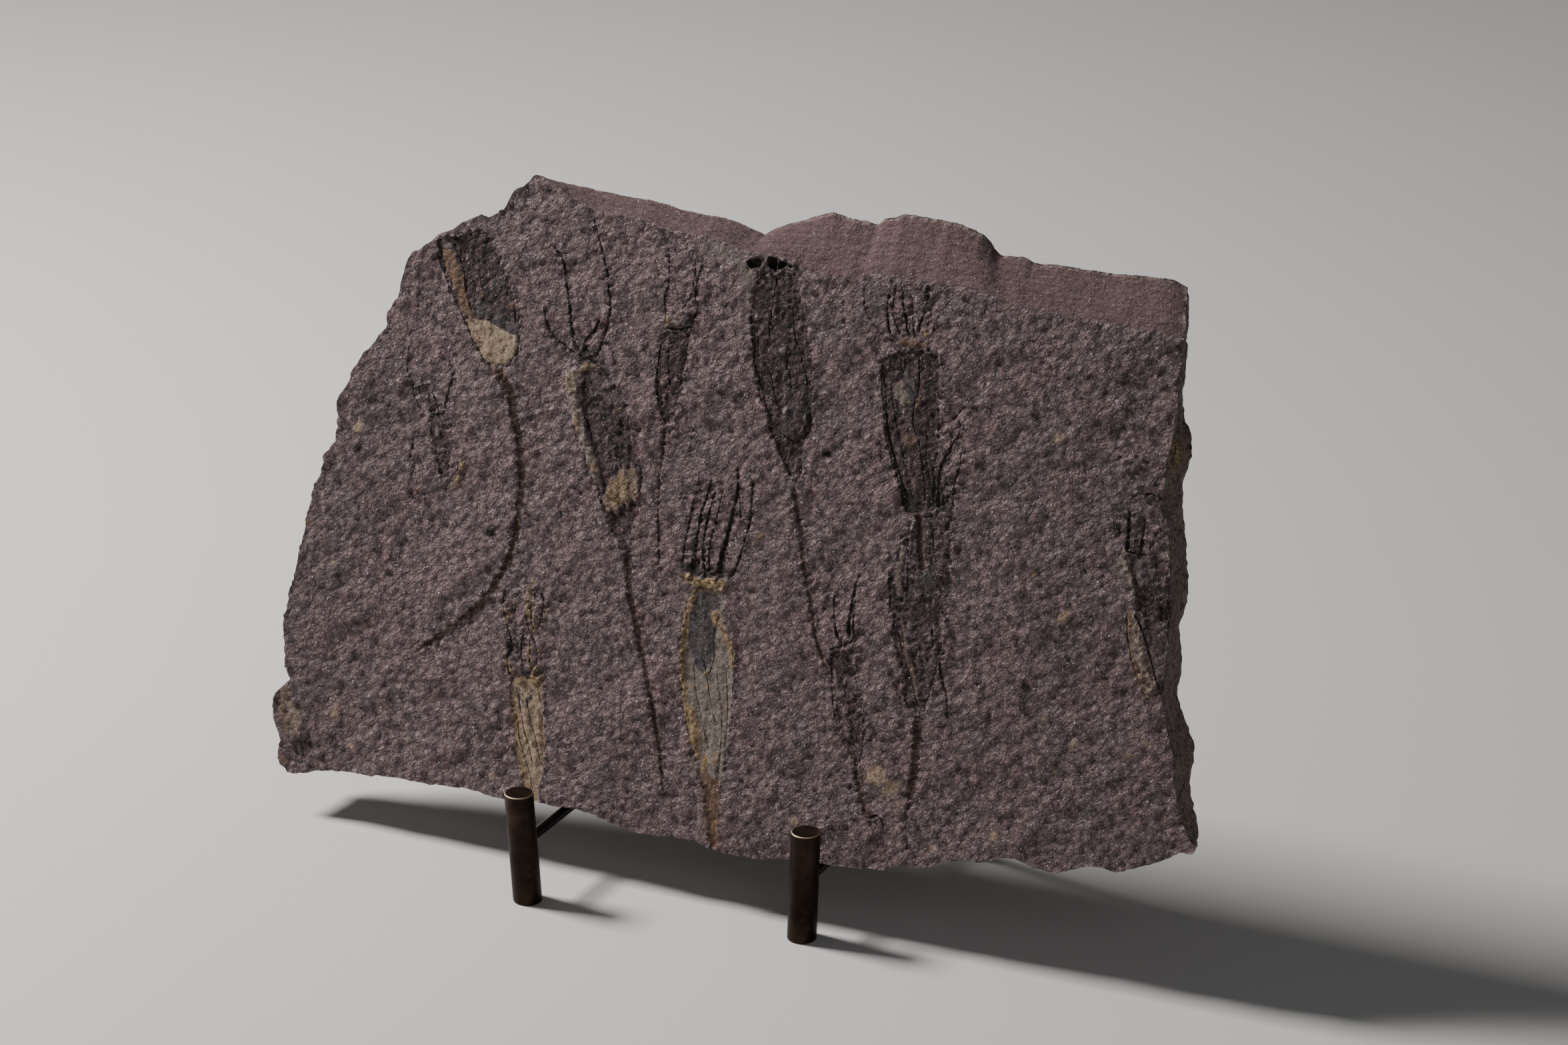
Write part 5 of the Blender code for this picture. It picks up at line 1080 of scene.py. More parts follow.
CREAM_BODIED = [
    body((-73.8, 42.4), (-73.6, 36.5), (-71.4, 28.1), (-69.8, 18.9), (-67.0, 10.6), (-64.0, 4.5),
        (-59.9, -3.5), (-57.0, -2.9), (-58.6, 4.9), (-58.0, 13.8), (-57.7, 20.3), (-59.0, 26.8),
        (-61.0, 36.0), (-62.2, 43.4), (-68.2, 43.8), depth=0.34, stain=Stain.CREAM, strength=0.72,
        crease=0.2),
    crust((-72.2, 43.0), (-69.0, 43.6), (-68.7, 40.8), (-71.5, 40.2), height=0.45, strength=0.85,
        soft=0.5),
    crust((-67.3, 44.3), (-62.4, 45.2), (-62.0, 41.6), (-65.8, 41.3), height=0.45, strength=0.85,
        soft=0.5),
    crust((-72.6, 39.3), (-70.6, 40.0), (-67.9, 34.7), (-66.5, 40.1), (-64.3, 39.0), (-66.4, 32.7),
        (-67.5, 31.1), (-70.6, 33.4), height=0.0, stain=Stain.SLATE, strength=0.5, soft=0.8),
    crust((-72.2, 33.1), (-69.8, 18.9), (-67.0, 10.6), (-64.0, 4.5), (-62.1, 4.9), (-65.1, 12.4),
        (-68.0, 20.7), (-69.9, 29.2), height=0.15, strength=0.75, soft=0.7),
    crust((-62.7, 36.4), (-59.1, 26.8), (-57.9, 20.3), (-58.4, 12.6), (-60.0, 19.3), (-62.1, 29.2),
        height=0.1, stain=Stain.RUST, strength=0.75, soft=0.7),
    crust((-69.3, 39.5), (-67.1, 31.2), (-63.7, 24.4), (-61.2, 17.6), (-59.6, 9.1), (-60.6, 8.9),
        (-63.6, 18.6), (-67.3, 26.7), (-69.8, 35.1), height=0.3, stain=Stain.CREAM, strength=1.0,
        soft=0.4),
    seam((-70.9, 37.8), (-69.1, 30.8), (-66.8, 24.6), (-64.1, 18.5), (-61.9, 13.0), width=0.5, depth=0.3,
        strength=0.35),
    seam((-67.5, 36.9), (-65.5, 30.0), (-62.8, 23.9), (-60.5, 18.4), (-58.8, 13.6), width=0.5, depth=0.3,
        strength=0.4),
    seam((-70.7, 30.5), (-68.5, 22.1), (-65.5, 15.3), (-63.0, 9.9), (-61.2, 4.4), width=0.5, depth=0.3,
        strength=0.35),
    seam((-64.0, 42.0), (-61.7, 35.1), (-59.8, 28.1), width=0.4, strength=0.25),
    arm((-80.0, 73.5), (-80.8, 68.9), (-79.6, 63.7), (-77.2, 58.6), (-75.0, 53.5), (-76.2, 49.3),
        (-75.2, 44.3), (-73.7, 43.0), width=(0.5, 0.75), depth=(0.2, 0.35), strength=0.7),
    arm((-76.0, 72.3), (-77.1, 67.8), (-77.5, 62.9), width=(0.4, 0.5), strength=0.45),
    arm((-71.5, 76.0), (-71.2, 67.7), (-70.2, 62.6), (-67.7, 58.1), (-65.0, 53.5), (-65.0, 47.6),
        width=(0.5, 0.7), strength=0.45, stain=Stain.BROWN),
    arm((-69.7, 77.4), (-69.2, 68.1), (-68.1, 63.0), (-66.9, 59.7), width=(0.4, 0.5), strength=0.6),
    arm((-70.8, 59.7), (-71.4, 52.3), (-69.5, 45.0), width=(0.5, 0.7), strength=0.55),
    arm((-68.1, 55.9), (-67.5, 50.1), (-66.6, 45.9), width=(0.4, 0.6), strength=0.5),
    arm((-67.0, 76.5), (-64.9, 71.7), (-64.6, 66.7), (-65.4, 61.3), width=(0.5, 0.7), strength=0.7),
    arm((-62.8, 70.6), (-63.6, 66.5), (-65.0, 61.5), width=(0.6, 0.5), depth=(0.1, 0.1),
        stain=Stain.OCHRE, strength=0.6),
    crust((-72.2, 72.6), (-71.4, 63.3), (-69.0, 57.9), (-66.7, 53.2), (-65.7, 53.4), (-68.0, 58.8),
        (-69.8, 63.6), (-70.6, 72.9), height=0.2, strength=0.34, soft=0.6),
    crust((-81.1, 68.9), (-78.9, 62.0), (-76.6, 58.0), (-77.7, 57.8), (-80.5, 63.1), height=0.1,
        strength=0.42, soft=0.6),
    crust((-77.1, 49.8), (-75.7, 44.2), (-73.9, 42.7), (-75.0, 42.2), (-77.2, 45.4), height=0.1,
        strength=0.5, soft=0.6),
    crust((-66.9, 46.9), (-64.3, 48.5), (-63.3, 45.8), (-65.8, 44.6), height=0.3, strength=0.7, soft=0.5),
    crust((-77.8, 55.6), (-74.5, 54.7), (-74.3, 50.3), (-76.6, 48.5), height=-0.25, stain=Stain.SOOT_AND_SHADE,
        strength=0.75, soft=0.8),
    crust((-78.3, 71.6), (-75.1, 66.3), (-72.4, 57.3), (-71.0, 46.5), (-73.5, 46.1), (-74.5, 56.9),
        (-78.0, 62.8), height=-0.1, stain=Stain.VIOLET, strength=0.5, soft=1.6),
    crust((-68.8, 45.1), (-66.6, 45.9), (-66.7, 43.3), (-68.3, 43.0), height=-0.2, stain=Stain.SOOT_AND_SHADE,
        strength=0.7),
    crust((-80.8, 69.6), (-78.5, 63.4), (-76.3, 58.7), (-77.0, 57.8), (-79.4, 62.5), (-80.9, 68.1),
        height=0.2, strength=0.6, soft=0.5),
    crust((-76.4, 71.8), (-75.7, 71.6), (-77.1, 66.6), (-76.9, 62.6), (-77.8, 62.8), (-78.0, 67.2),
        height=0.2, strength=0.55, soft=0.5),
    crust((-72.0, 76.2), (-70.8, 76.1), (-70.4, 70.0), (-68.8, 65.1), (-69.8, 63.5), (-71.7, 68.3),
        height=0.25, strength=0.66, soft=0.5),
    crust((-69.8, 77.3), (-68.8, 77.4), (-68.4, 69.6), (-66.6, 60.4), (-65.3, 58.5), (-67.2, 58.9),
        (-69.1, 67.3), height=0.25, strength=0.62, soft=0.5),
    crust((-62.6, 69.2), (-61.8, 68.6), (-63.6, 64.0), (-64.8, 63.4), height=0.2, strength=0.6, soft=0.4),
    crust((-77.2, 51.2), (-75.7, 51.5), (-74.5, 45.8), (-72.7, 43.6), (-74.3, 42.9), (-76.4, 46.2),
        height=0.2, strength=0.66, soft=0.5),
    crust((-68.9, 54.9), (-67.5, 54.4), (-66.8, 48.0), (-65.3, 46.1), (-66.2, 44.4), (-67.7, 47.1),
        height=0.25, strength=0.66, soft=0.5),
    crust((-66.1, 55.4), (-63.6, 54.8), (-63.6, 52.2), (-65.4, 52.6), height=0.25, strength=0.66,
        soft=0.5),
    crust((-77.2, 53.8), (-75.4, 54.8), (-73.9, 53.3), (-74.3, 51.0), (-76.5, 51.0), height=-0.3,
        stain=Stain.SOOT_AND_SHADE, strength=0.7, soft=0.5),
    crust((-71.9, 42.5), (-69.0, 43.2), (-69.1, 40.6), (-71.1, 40.2), height=0.3, stain=Stain.OCHRE,
        strength=0.7, soft=0.4),
    crust((-65.4, 44.2), (-62.0, 45.2), (-61.8, 42.3), (-64.2, 41.5), height=0.3, stain=Stain.OCHRE,
        strength=0.7, soft=0.4),
]
STAINED_ROCK = [
    crust((-162.3, 23.4), (-165.6, 19.7), (-164.1, 12.5), (-161.1, 5.4), (-157.0, 5.7), (-153.9, 10.5),
        (-157.2, 15.9), (-160.5, 18.8), height=0.7, stain=Stain.CREAM, strength=0.45, soft=0.8),
    crust((-162.6, 23.5), (-165.6, 20.0), (-164.2, 12.5), (-161.3, 5.2), (-158.7, 5.4), (-161.6, 12.2),
        (-162.9, 19.1), (-161.5, 22.1), height=0.2, stain=Stain.RUST, strength=0.7, soft=0.5),
    crust((-166.2, 21.5), (-168.9, 17.6), (-167.6, 11.1), (-164.1, 7.1), (-163.2, 9.6), (-165.4, 15.3),
        height=0.6, stain=Stain.SLATE, strength=0.4, soft=0.8),
    crust((-158.4, 1.5), (-152.3, 8.5), (-148.5, 4.2), (-153.3, -4.9), (-158.4, -4.5), height=-0.5,
        stain=Stain.SOOT_AND_SHADE, strength=0.42, soft=1.5),
    crust((-163.9, -2.3), (-161.1, -0.5), (-159.3, -3.9), (-161.7, -6.3), height=0.4, stain=Stain.RUST,
        strength=0.6, soft=0.5),
    crust((-145.6, 16.1), (-142.1, 20.8), (-139.7, 19.1), (-140.2, 15.6), (-144.3, 14.4), height=0.15,
        stain=Stain.CREAM, strength=0.5, soft=0.7),
    spot(-134.7, 6.4, 1.2),
    spot(-77.3, 6.9, 0.9, slant=1.6),
    spot(-112, 13.4, 1.0, strength=0.7),
    spot(39.4, 13.6, 1.9, Stain.CREAM, 0.5, 0.7, 1.1),
    spot(-149.3, 69.8, 1.3, strength=0.7),
    spot(-145.2, 118.7, 1.6, slant=1.5),
    spot(-161.8, 81.7, 1.2, Stain.OCHRE),
    spot(66.6, 34.8, 3.3, Stain.CREAM, 0.3, 0.95, 1.1),
    spot(72.2, 31.3, 3.0, Stain.CREAM, 0.1, 0.55, 1.5, 1.5),
    spot(75.2, 26.3, 2.2, Stain.CREAM, 0.0, 0.4, 1.5, 1.5),
    spot(111.1, 22.9, 1.7, Stain.CREAM, 0.2),
    spot(90.4, 14.7, 1.2),
    spot(135.3, 58.8, 1.5, strength=0.7, slant=1.6),
    spot(154, 58.3, 1.6, strength=0.6, slant=1.5),
    spot(123.2, 64.8, 1.3, strength=0.6, slant=1.5),
    spot(129.2, 48.3, 1.1, strength=0.7),
    spot(123.7, 49.3, 1.0, strength=0.7),
    spot(101, 45.3, 1.3, strength=0.5, slant=1.6),
    spot(96.4, 47.3, 1.0, strength=0.5),
    spot(160.1, 63.3, 1.3, strength=0.6, slant=1.5),
    spot(168.3, 39.3, 1.4, strength=0.5),
    spot(125.7, 99.7, 1.8, Stain.OCHRE, 0.1, 0.5, 2.0),
    spot(130.3, 124.7, 1.1, strength=0.6),
    spot(116.6, 157.1, 2.0, Stain.OCHRE, 0.1, 0.45, 1.5),
    spot(124.2, 152.1, 2.2, Stain.BLEACH, 0.2, 0.6, 1.2),
    spot(140.9, 79.7, 1.4, Stain.OCHRE, 0.1, 0.5, 1.8),
    spot(-9.4, 26.3, 1.4, Stain.BLEACH, 0.2, 0.6),
    spot(1.7, 10.4, 1.3, strength=0.6),
    spot(114.1, 112, 1.0, Stain.OCHRE, 0.1, 0.8, 1.6),
    seam((113.7, 113.8), (114.5, 113.6), width=0.78, depth=0.54, strength=1.0),
    spot(-137.7, 130.1, 3.4, Stain.SOOT_AND_SHADE, 0.0, 0.4, 2.2, 2.5),
    spot(-116, 27.3, 1.4, Stain.SOOT_AND_SHADE, 0.0, 0.45, 1.5),
    spot(115.6, 72.8, 3.0, Stain.SOOT_AND_SHADE, -0.3, 0.5, 1.2, 1.4),
    spot(119.7, 178, 3.4, Stain.SLATE, 0.0, 0.4, 2.0, 2.2),
    spot(130.8, 91.7, 2.0, Stain.SOOT_AND_SHADE, 0.0, 0.4, 1.6, 1.4),
    spot(111.6, 27.3, 6.5, Stain.MOSS, 0.0, 0.22, 1.6, 3.0),
    spot(142.9, 39.3, 3.2, Stain.SLATE, 0.0, 0.4, 1.9, 2.0),
    spot(-87.9, 91.2, 1.6, Stain.SOOT_AND_SHADE, -0.7, 0.75, 2.2),
    spot(-74.8, 110.2, 1.2, Stain.SOOT_AND_SHADE, -0.3, 0.5, 1.8),
    spot(34.9, 138.1, 1.2, Stain.SOOT_AND_SHADE, -0.5, 0.8, 2.0),
    crust((-22, 203), (-9.4, 203), (-3.4, 199), (1.7, 197), (1.7, 183), (-2.4, 181), (-4.4, 190),
        (-9.4, 197), (-20.5, 197.5), height=0.0, stain=Stain.MOSS, strength=0.5, soft=2.2),
    seam((105, 190.5), (106.5, 192), (108.5, 190.8), (108.1, 188.6), strength=0.4),
    # This wide, faint pale patch brightens the middle of the face: painted light, not a stain
    spot(46, 104.2, 9.0, Stain.BLEACH, 0.0, 0.22, 1.4, 6.0),
    spot(-96.9, 130.1, 12.0, Stain.BLEACH, 0.0, 0.15, 1.4, 8.0),
    spot(-114, 88.2, 14.0, Stain.BLEACH, 0.0, 0.18, 1.6, 9.0),
]
FOSSILS: list[Shape] = (LONG_STEMMED + SMALL_LEFT + HOOKED + SLENDER + MANY_ARMED + UNDERLYING
                        + SHOULDERED + LOWER + FAN_ARMED + EDGE_CUT + CREAM_BODIED)

# ---------------------------------------------------------------------------------------------
# The rim of the slab: (front line, back line) of each side, clockwise from the lower left
# ---------------------------------------------------------------------------------------------
LEFT_FRONT = [
    (-159.3, -7.5), (-163.4, -5.5), (-163.9, -2), (-163.4, 3), (-165.4, 6.5), (-167.4, 10), (-167.7, 14),
    (-167.9, 18), (-166.4, 21), (-163.4, 23.5), (-161.8, 25.5), (-163.9, 28), (-164.9, 31), (-165.4, 35),
    (-166.4, 40), (-167.4, 45), (-167.4, 48), (-166.4, 50), (-166.4, 55), (-165.4, 59), (-163.9, 65),
    (-163.9, 70), (-163.4, 75), (-161.8, 79), (-162.3, 83), (-161.3, 90), (-160.3, 96), (-158.3, 100),
    (-157.8, 106), (-155.3, 110), (-153.8, 113), (-153.3, 117), (-154.8, 126), (-152.3, 130.5),
    (-150.3, 134), (-149.8, 138), (-147.8, 140), (-147, 143.5), (-145.2, 146), (-142.2, 149),
    (-140.2, 152), (-138.2, 155.5), (-138.2, 160), (-135.7, 165), (-134.7, 168), (-134, 173),
    (-132.1, 179), (-130.6, 182.5), (-127.1, 185), (-123.1, 188), (-120.1, 191), (-117, 192), (-113, 195),
    (-108, 198), (-105.5, 199), (-101.9, 199), (-99.4, 200.5), (-95.9, 203.5), (-95.1, 206),
    (-92.9, 209.5), (-89.9, 211), (-86.9, 214.5), (-85.3, 215.7),
]
LEFT_BACK = [
    (-156.3, -1), (-160.3, 0), (-161.3, 4), (-163.4, 10), (-164.4, 17), (-162.3, 25), (-163.4, 35),
    (-165.4, 46), (-162.3, 64), (-161.3, 84), (-158.3, 99), (-156.3, 106), (-152.3, 115), (-152.3, 125),
    (-148.3, 135), (-145.2, 142), (-140.2, 150), (-138.2, 158.4), (-135.2, 168.9), (-131.1, 181.5),
    (-121.1, 188.8), (-110, 195.2), (-103, 198.3), (-98.9, 203.5), (-94.9, 208.5), (-89.9, 213.5),
]
TOP_FRONT = [
    (-85.3, 215.7), (-82.8, 215.7), (-79.8, 214.3), (-75.8, 212.5), (-71.8, 210), (-66.7, 208.5),
    (-61.7, 207), (-56.7, 206.5), (-46.6, 206.5), (-41.6, 206), (-36.6, 204.5), (-26.5, 204),
    (-16.5, 203.5), (-11.4, 203), (-6.4, 201.5), (-1.4, 201), (7.7, 201), (13.7, 200), (18.8, 198.5),
    (23.8, 197.5), (28.9, 197), (38.9, 197.5), (41.9, 199.5), (49, 200.3), (65.1, 200.3), (84.3, 200),
    (89.3, 198.5), (94.4, 197.3), (104.5, 197), (114.6, 196.5), (129.8, 196.5), (149.9, 196), (155, 195),
]
TOP_BACK = [
    (-89.9, 213.5), (-84.8, 212.9), (-74.8, 212.5), (-64.7, 211.8), (-47.6, 211.5), (-36.6, 210),
    (-20.5, 209.5), (-14.5, 208.5), (-9.7, 207.2), (-5.7, 206.2), (-2.7, 208.3), (2.4, 210.8), (8.4, 213),
    (12.4, 215), (18.5, 217.2), (24.5, 216.2), (35.6, 215.5), (37.6, 217.5), (41.6, 218.8), (44.7, 220.2),
    (52.7, 220.3), (65.8, 219.7), (73.9, 217.5), (76.9, 214.8), (78.9, 213), (81, 211.5), (90.1, 212.3),
    (93.1, 210.7), (103.2, 211.5), (121.4, 211.2), (128.4, 212), (141.6, 212.5), (147.1, 210.5),
]
RIGHT_FRONT = [
    (155.0, 195), (155.0, 190), (155.2, 180), (155.5, 170), (155.8, 166), (154.1, 155), (154.5, 150),
    (154.5, 140), (157.6, 135), (158.6, 130), (159.6, 125), (160.7, 120), (160.1, 115), (160.7, 110),
    (161.7, 105), (162.2, 100), (162.7, 95), (162.7, 85), (163.2, 80), (164.2, 77), (166.8, 68),
    (168.3, 65), (169.9, 60), (170.4, 55), (171.9, 50), (173.4, 45), (175.5, 40), (178.0, 36),
    (180.6, 33.5),
]
RIGHT_BACK = [
    (147.1, 210.5), (148.6, 206.5), (148.6, 199.3), (150.2, 190.9), (150.2, 176.2), (152.2, 167.8),
    (154.7, 164.2), (156, 159.4), (156, 154.2), (154.2, 147), (156, 137), (158.3, 127), (160.6, 115),
    (160.8, 109), (159.3, 101), (162.1, 88), (161.6, 79), (165.4, 71), (170, 63), (170.5, 55), (170, 50),
    (172.1, 44), (174.4, 38), (175.6, 34),
]
BOTTOM_FRONT = [
    (182.1, 33.5), (180.6, 30.5), (176.5, 30.5), (173.4, 28.5), (170.3, 26.5), (162.2, 22.5),
    (158.1, 20.5), (155, 19.5), (149.9, 20), (144.9, 19.5), (139.8, 17.5), (135.8, 15.5), (130.8, 14.8),
    (124.7, 15.8), (119.7, 17), (114.6, 16.5), (109.5, 14), (106.5, 13), (102.5, 13.5), (95.4, 10.3),
    (86.3, 7), (81.3, 6.5), (77.2, 5.5), (74.2, 4), (66.1, 2.8), (57.1, 1.5), (47, 1), (36.9, 0),
    (31.9, -0.5), (26.8, -2), (16.8, -2.5), (11.7, -2.3), (3.7, -0.8), (-1.4, -0.5), (-11.4, -1.3),
    (-21.5, -2.2), (-29.5, -0.7), (-39.6, 1.5), (-43.6, 2), (-51.7, 0.7), (-58.7, 1), (-69.8, 0),
    (-75.8, -0.8), (-86.9, 0.3), (-96.9, -0.5), (-107, -1.5), (-117, -1.2), (-127.1, -2.7),
    (-137.2, -3.2), (-147.2, -5), (-152.3, -6.8), (-156.3, -7.8), (-159.3, -7.5),
]
BOTTOM_BACK = [
    (175.6, 34), (168.3, 33), (160.1, 29), (152, 26), (143.9, 25), (134.8, 21), (126.7, 20), (116.6, 21),
    (106.5, 19), (95.4, 16), (84.3, 12), (74.2, 9), (59.1, 7), (44, 6.5), (32.9, 5), (16.8, 3.5),
    (3.7, 5), (-11.4, 4.5), (-23.5, 4), (-34.6, 6), (-43.6, 7.5), (-56.7, 6.5), (-73.8, 6), (-89.9, 6),
    (-107, 5), (-122.1, 4), (-138.2, 2.5), (-148.3, 0.5), (-156.3, -1),
]
SIDES: dict[Flank, tuple[list[Pair], list[Pair]]] = {
    Flank.LEFT: (LEFT_FRONT, LEFT_BACK),
    Flank.TOP: (TOP_FRONT, TOP_BACK),
    Flank.RIGHT: (RIGHT_FRONT, RIGHT_BACK),
    Flank.BOTTOM: (BOTTOM_FRONT, BOTTOM_BACK),
}


# ---------------------------------------------------------------------------------------------
# Node trees
# ---------------------------------------------------------------------------------------------
Socket = bpy.types.NodeSocket
Value = float | int | bool | Sequence[float] | Socket


class NodeBench:
    """A node tree being put together, with short calls for the nodes that it uses."""

    def __init__(self, tree: bpy.types.NodeTree) -> None:
        """Start with an empty tree."""
        self.tree = tree
        tree.nodes.clear()

    def add(self, kind: str, inputs: dict[str | int, Value] | None = None,
            **settings: object) -> bpy.types.Node:
        """Add a node.

        Args:
            kind: Blender's name of the node's type.
            inputs: Values or sockets for its inputs, by name or place.
            settings: Properties of the node.

        Returns:
            The node.
        """
        node = self.tree.nodes.new(kind)
        for name, value in settings.items():
            setattr(node, name, value)
        for key, value in (inputs or {}).items():
            if isinstance(value, bpy.types.NodeSocket):
                self.tree.links.new(value, node.inputs[key])
            else:
                node.inputs[key].default_value = value
        return node


class ShaderBench(NodeBench):
    """A material's node tree, measured in millimetres."""

    def __init__(self, material: bpy.types.Material) -> None:
        """Start the tree with the place of each point in millimetres."""
        material.use_nodes = True
        super().__init__(material.node_tree)
        coordinates = self.add("ShaderNodeTexCoord")
        self.object_place = coordinates.outputs["Object"]
        self.place = self.stretched((1000.0, 1000.0, 1000.0))

    def stretched(self, scale: Sequence[float], turn: Sequence[float] = (0, 0, 0)) -> Socket:
        """Return the place turned and scaled, from metres."""
        turned = self.add("ShaderNodeMapping", {"Vector": self.object_place, "Rotation": turn})
        scaled = self.add("ShaderNodeMapping", {"Vector": turned.outputs[0], "Scale": scale})
        return scaled.outputs[0]

    def noise(self, vector: Socket, scale: float, detail: float = 3.0,
              rough: float = 0.55, warp: float = 0.0) -> Socket:
        """Return a noise value of about 0 to 1.

        Args:
            vector: Where it is read.
            scale: Cells to a unit.
            detail: Number of finer layers.
            rough: Height of each finer layer.
            warp: How far the pattern is warped.

        Returns:
            The value's socket.
        """
        node = self.add("ShaderNodeTexNoise", {"Vector": vector, "Scale": scale,
                                               "Detail": detail, "Roughness": rough,
                                               "Distortion": warp})
        return node.outputs["Fac"]

    def warped(self, vector: Socket, scale: float, reach: float) -> Socket:
        """Return places pushed about by noise.

        Args:
            vector: The places.
            scale: Cells of noise to a unit.
            reach: How far the places are pushed.

        Returns:
            The pushed places.
        """
        noise = self.add("ShaderNodeTexNoise", {"Vector": vector, "Scale": scale,
                                                "Detail": 2.0})
        push = self.add("ShaderNodeVectorMath", {0: noise.outputs["Color"], 1: (reach,) * 3,
                                                 2: vector}, operation="MULTIPLY_ADD")
        return push.outputs[0]

    def cells(self, vector: Socket, scale: float) -> tuple[Socket, Socket]:
        """Return the distance to the nearest cell's middle and the cell's random value."""
        node = self.add("ShaderNodeTexVoronoi", {"Vector": vector, "Scale": scale})
        parts = self.add("ShaderNodeSeparateColor", {0: node.outputs["Color"]})
        return node.outputs["Distance"], parts.outputs[0]

    def maths(self, operation: str, first: Value, second: Value = 0.0,
              clamp: bool = False) -> Socket:
        """Return the result of one sum."""
        node = self.add("ShaderNodeMath", {0: first, 1: second}, operation=operation,
                        use_clamp=clamp)
        return node.outputs[0]

    def step(self, value: Socket, low: float, high: float) -> Socket:
        """Return a smooth step from 0 at low to 1 at high."""
        node = self.add("ShaderNodeMapRange", {"Value": value, "From Min": low,
                                               "From Max": high},
                        interpolation_type="SMOOTHSTEP")
        return node.outputs["Result"]

    def span(self, value: Socket, low: float, high: float) -> Socket:
        """Return a value of 0 to 1 spread over low to high."""
        node = self.add("ShaderNodeMapRange", {"Value": value, "To Min": low, "To Max": high})
        return node.outputs["Result"]

    def blend(self, share: Value, first: Value, second: Value,
              mode: str = "MIX") -> Socket:
        """Return two colours mixed by a share."""
        colours = [c if isinstance(c, bpy.types.NodeSocket) else (*c, 1.0)
                   for c in (first, second)]
        node = self.add("ShaderNodeMix", {0: share, 6: colours[0], 7: colours[1]},
                        data_type="RGBA", blend_type=mode)
        return node.outputs[2]

    def ramp(self, value: Socket, stops: Sequence[tuple[float, Colour]],
             hard: bool = False) -> Socket:
        """Return the colour that a value has on a ramp of stops."""
        node = self.add("ShaderNodeValToRGB", {0: value})
        if hard:
            node.color_ramp.interpolation = "CONSTANT"
        elements = node.color_ramp.elements
        while len(elements) < len(stops):
            elements.new(1.0)
        for element, (position, colour) in zip(elements, stops):
            element.position = position
            element.color = (*colour, 1.0)
        return node.outputs["Color"]

    def attribute(self, name: str) -> Socket:
        """Return a point attribute of the mesh."""
        node = self.add("ShaderNodeAttribute", attribute_name=name)
        return node.outputs["Fac"]

    def bump(self, height: Socket, distance: float) -> Socket:
        """Return a normal raised by a height of 0 to 1 times a distance in metres."""
        return self.add("ShaderNodeBump", {"Height": height, "Distance": distance}).outputs[0]

    def finish(self, inputs: dict[str | int, Value]) -> None:
        """End the tree in a Principled shader with these inputs."""
        shader = self.add("ShaderNodeBsdfPrincipled", inputs)
        self.add("ShaderNodeOutputMaterial", {"Surface": shader.outputs[0]})


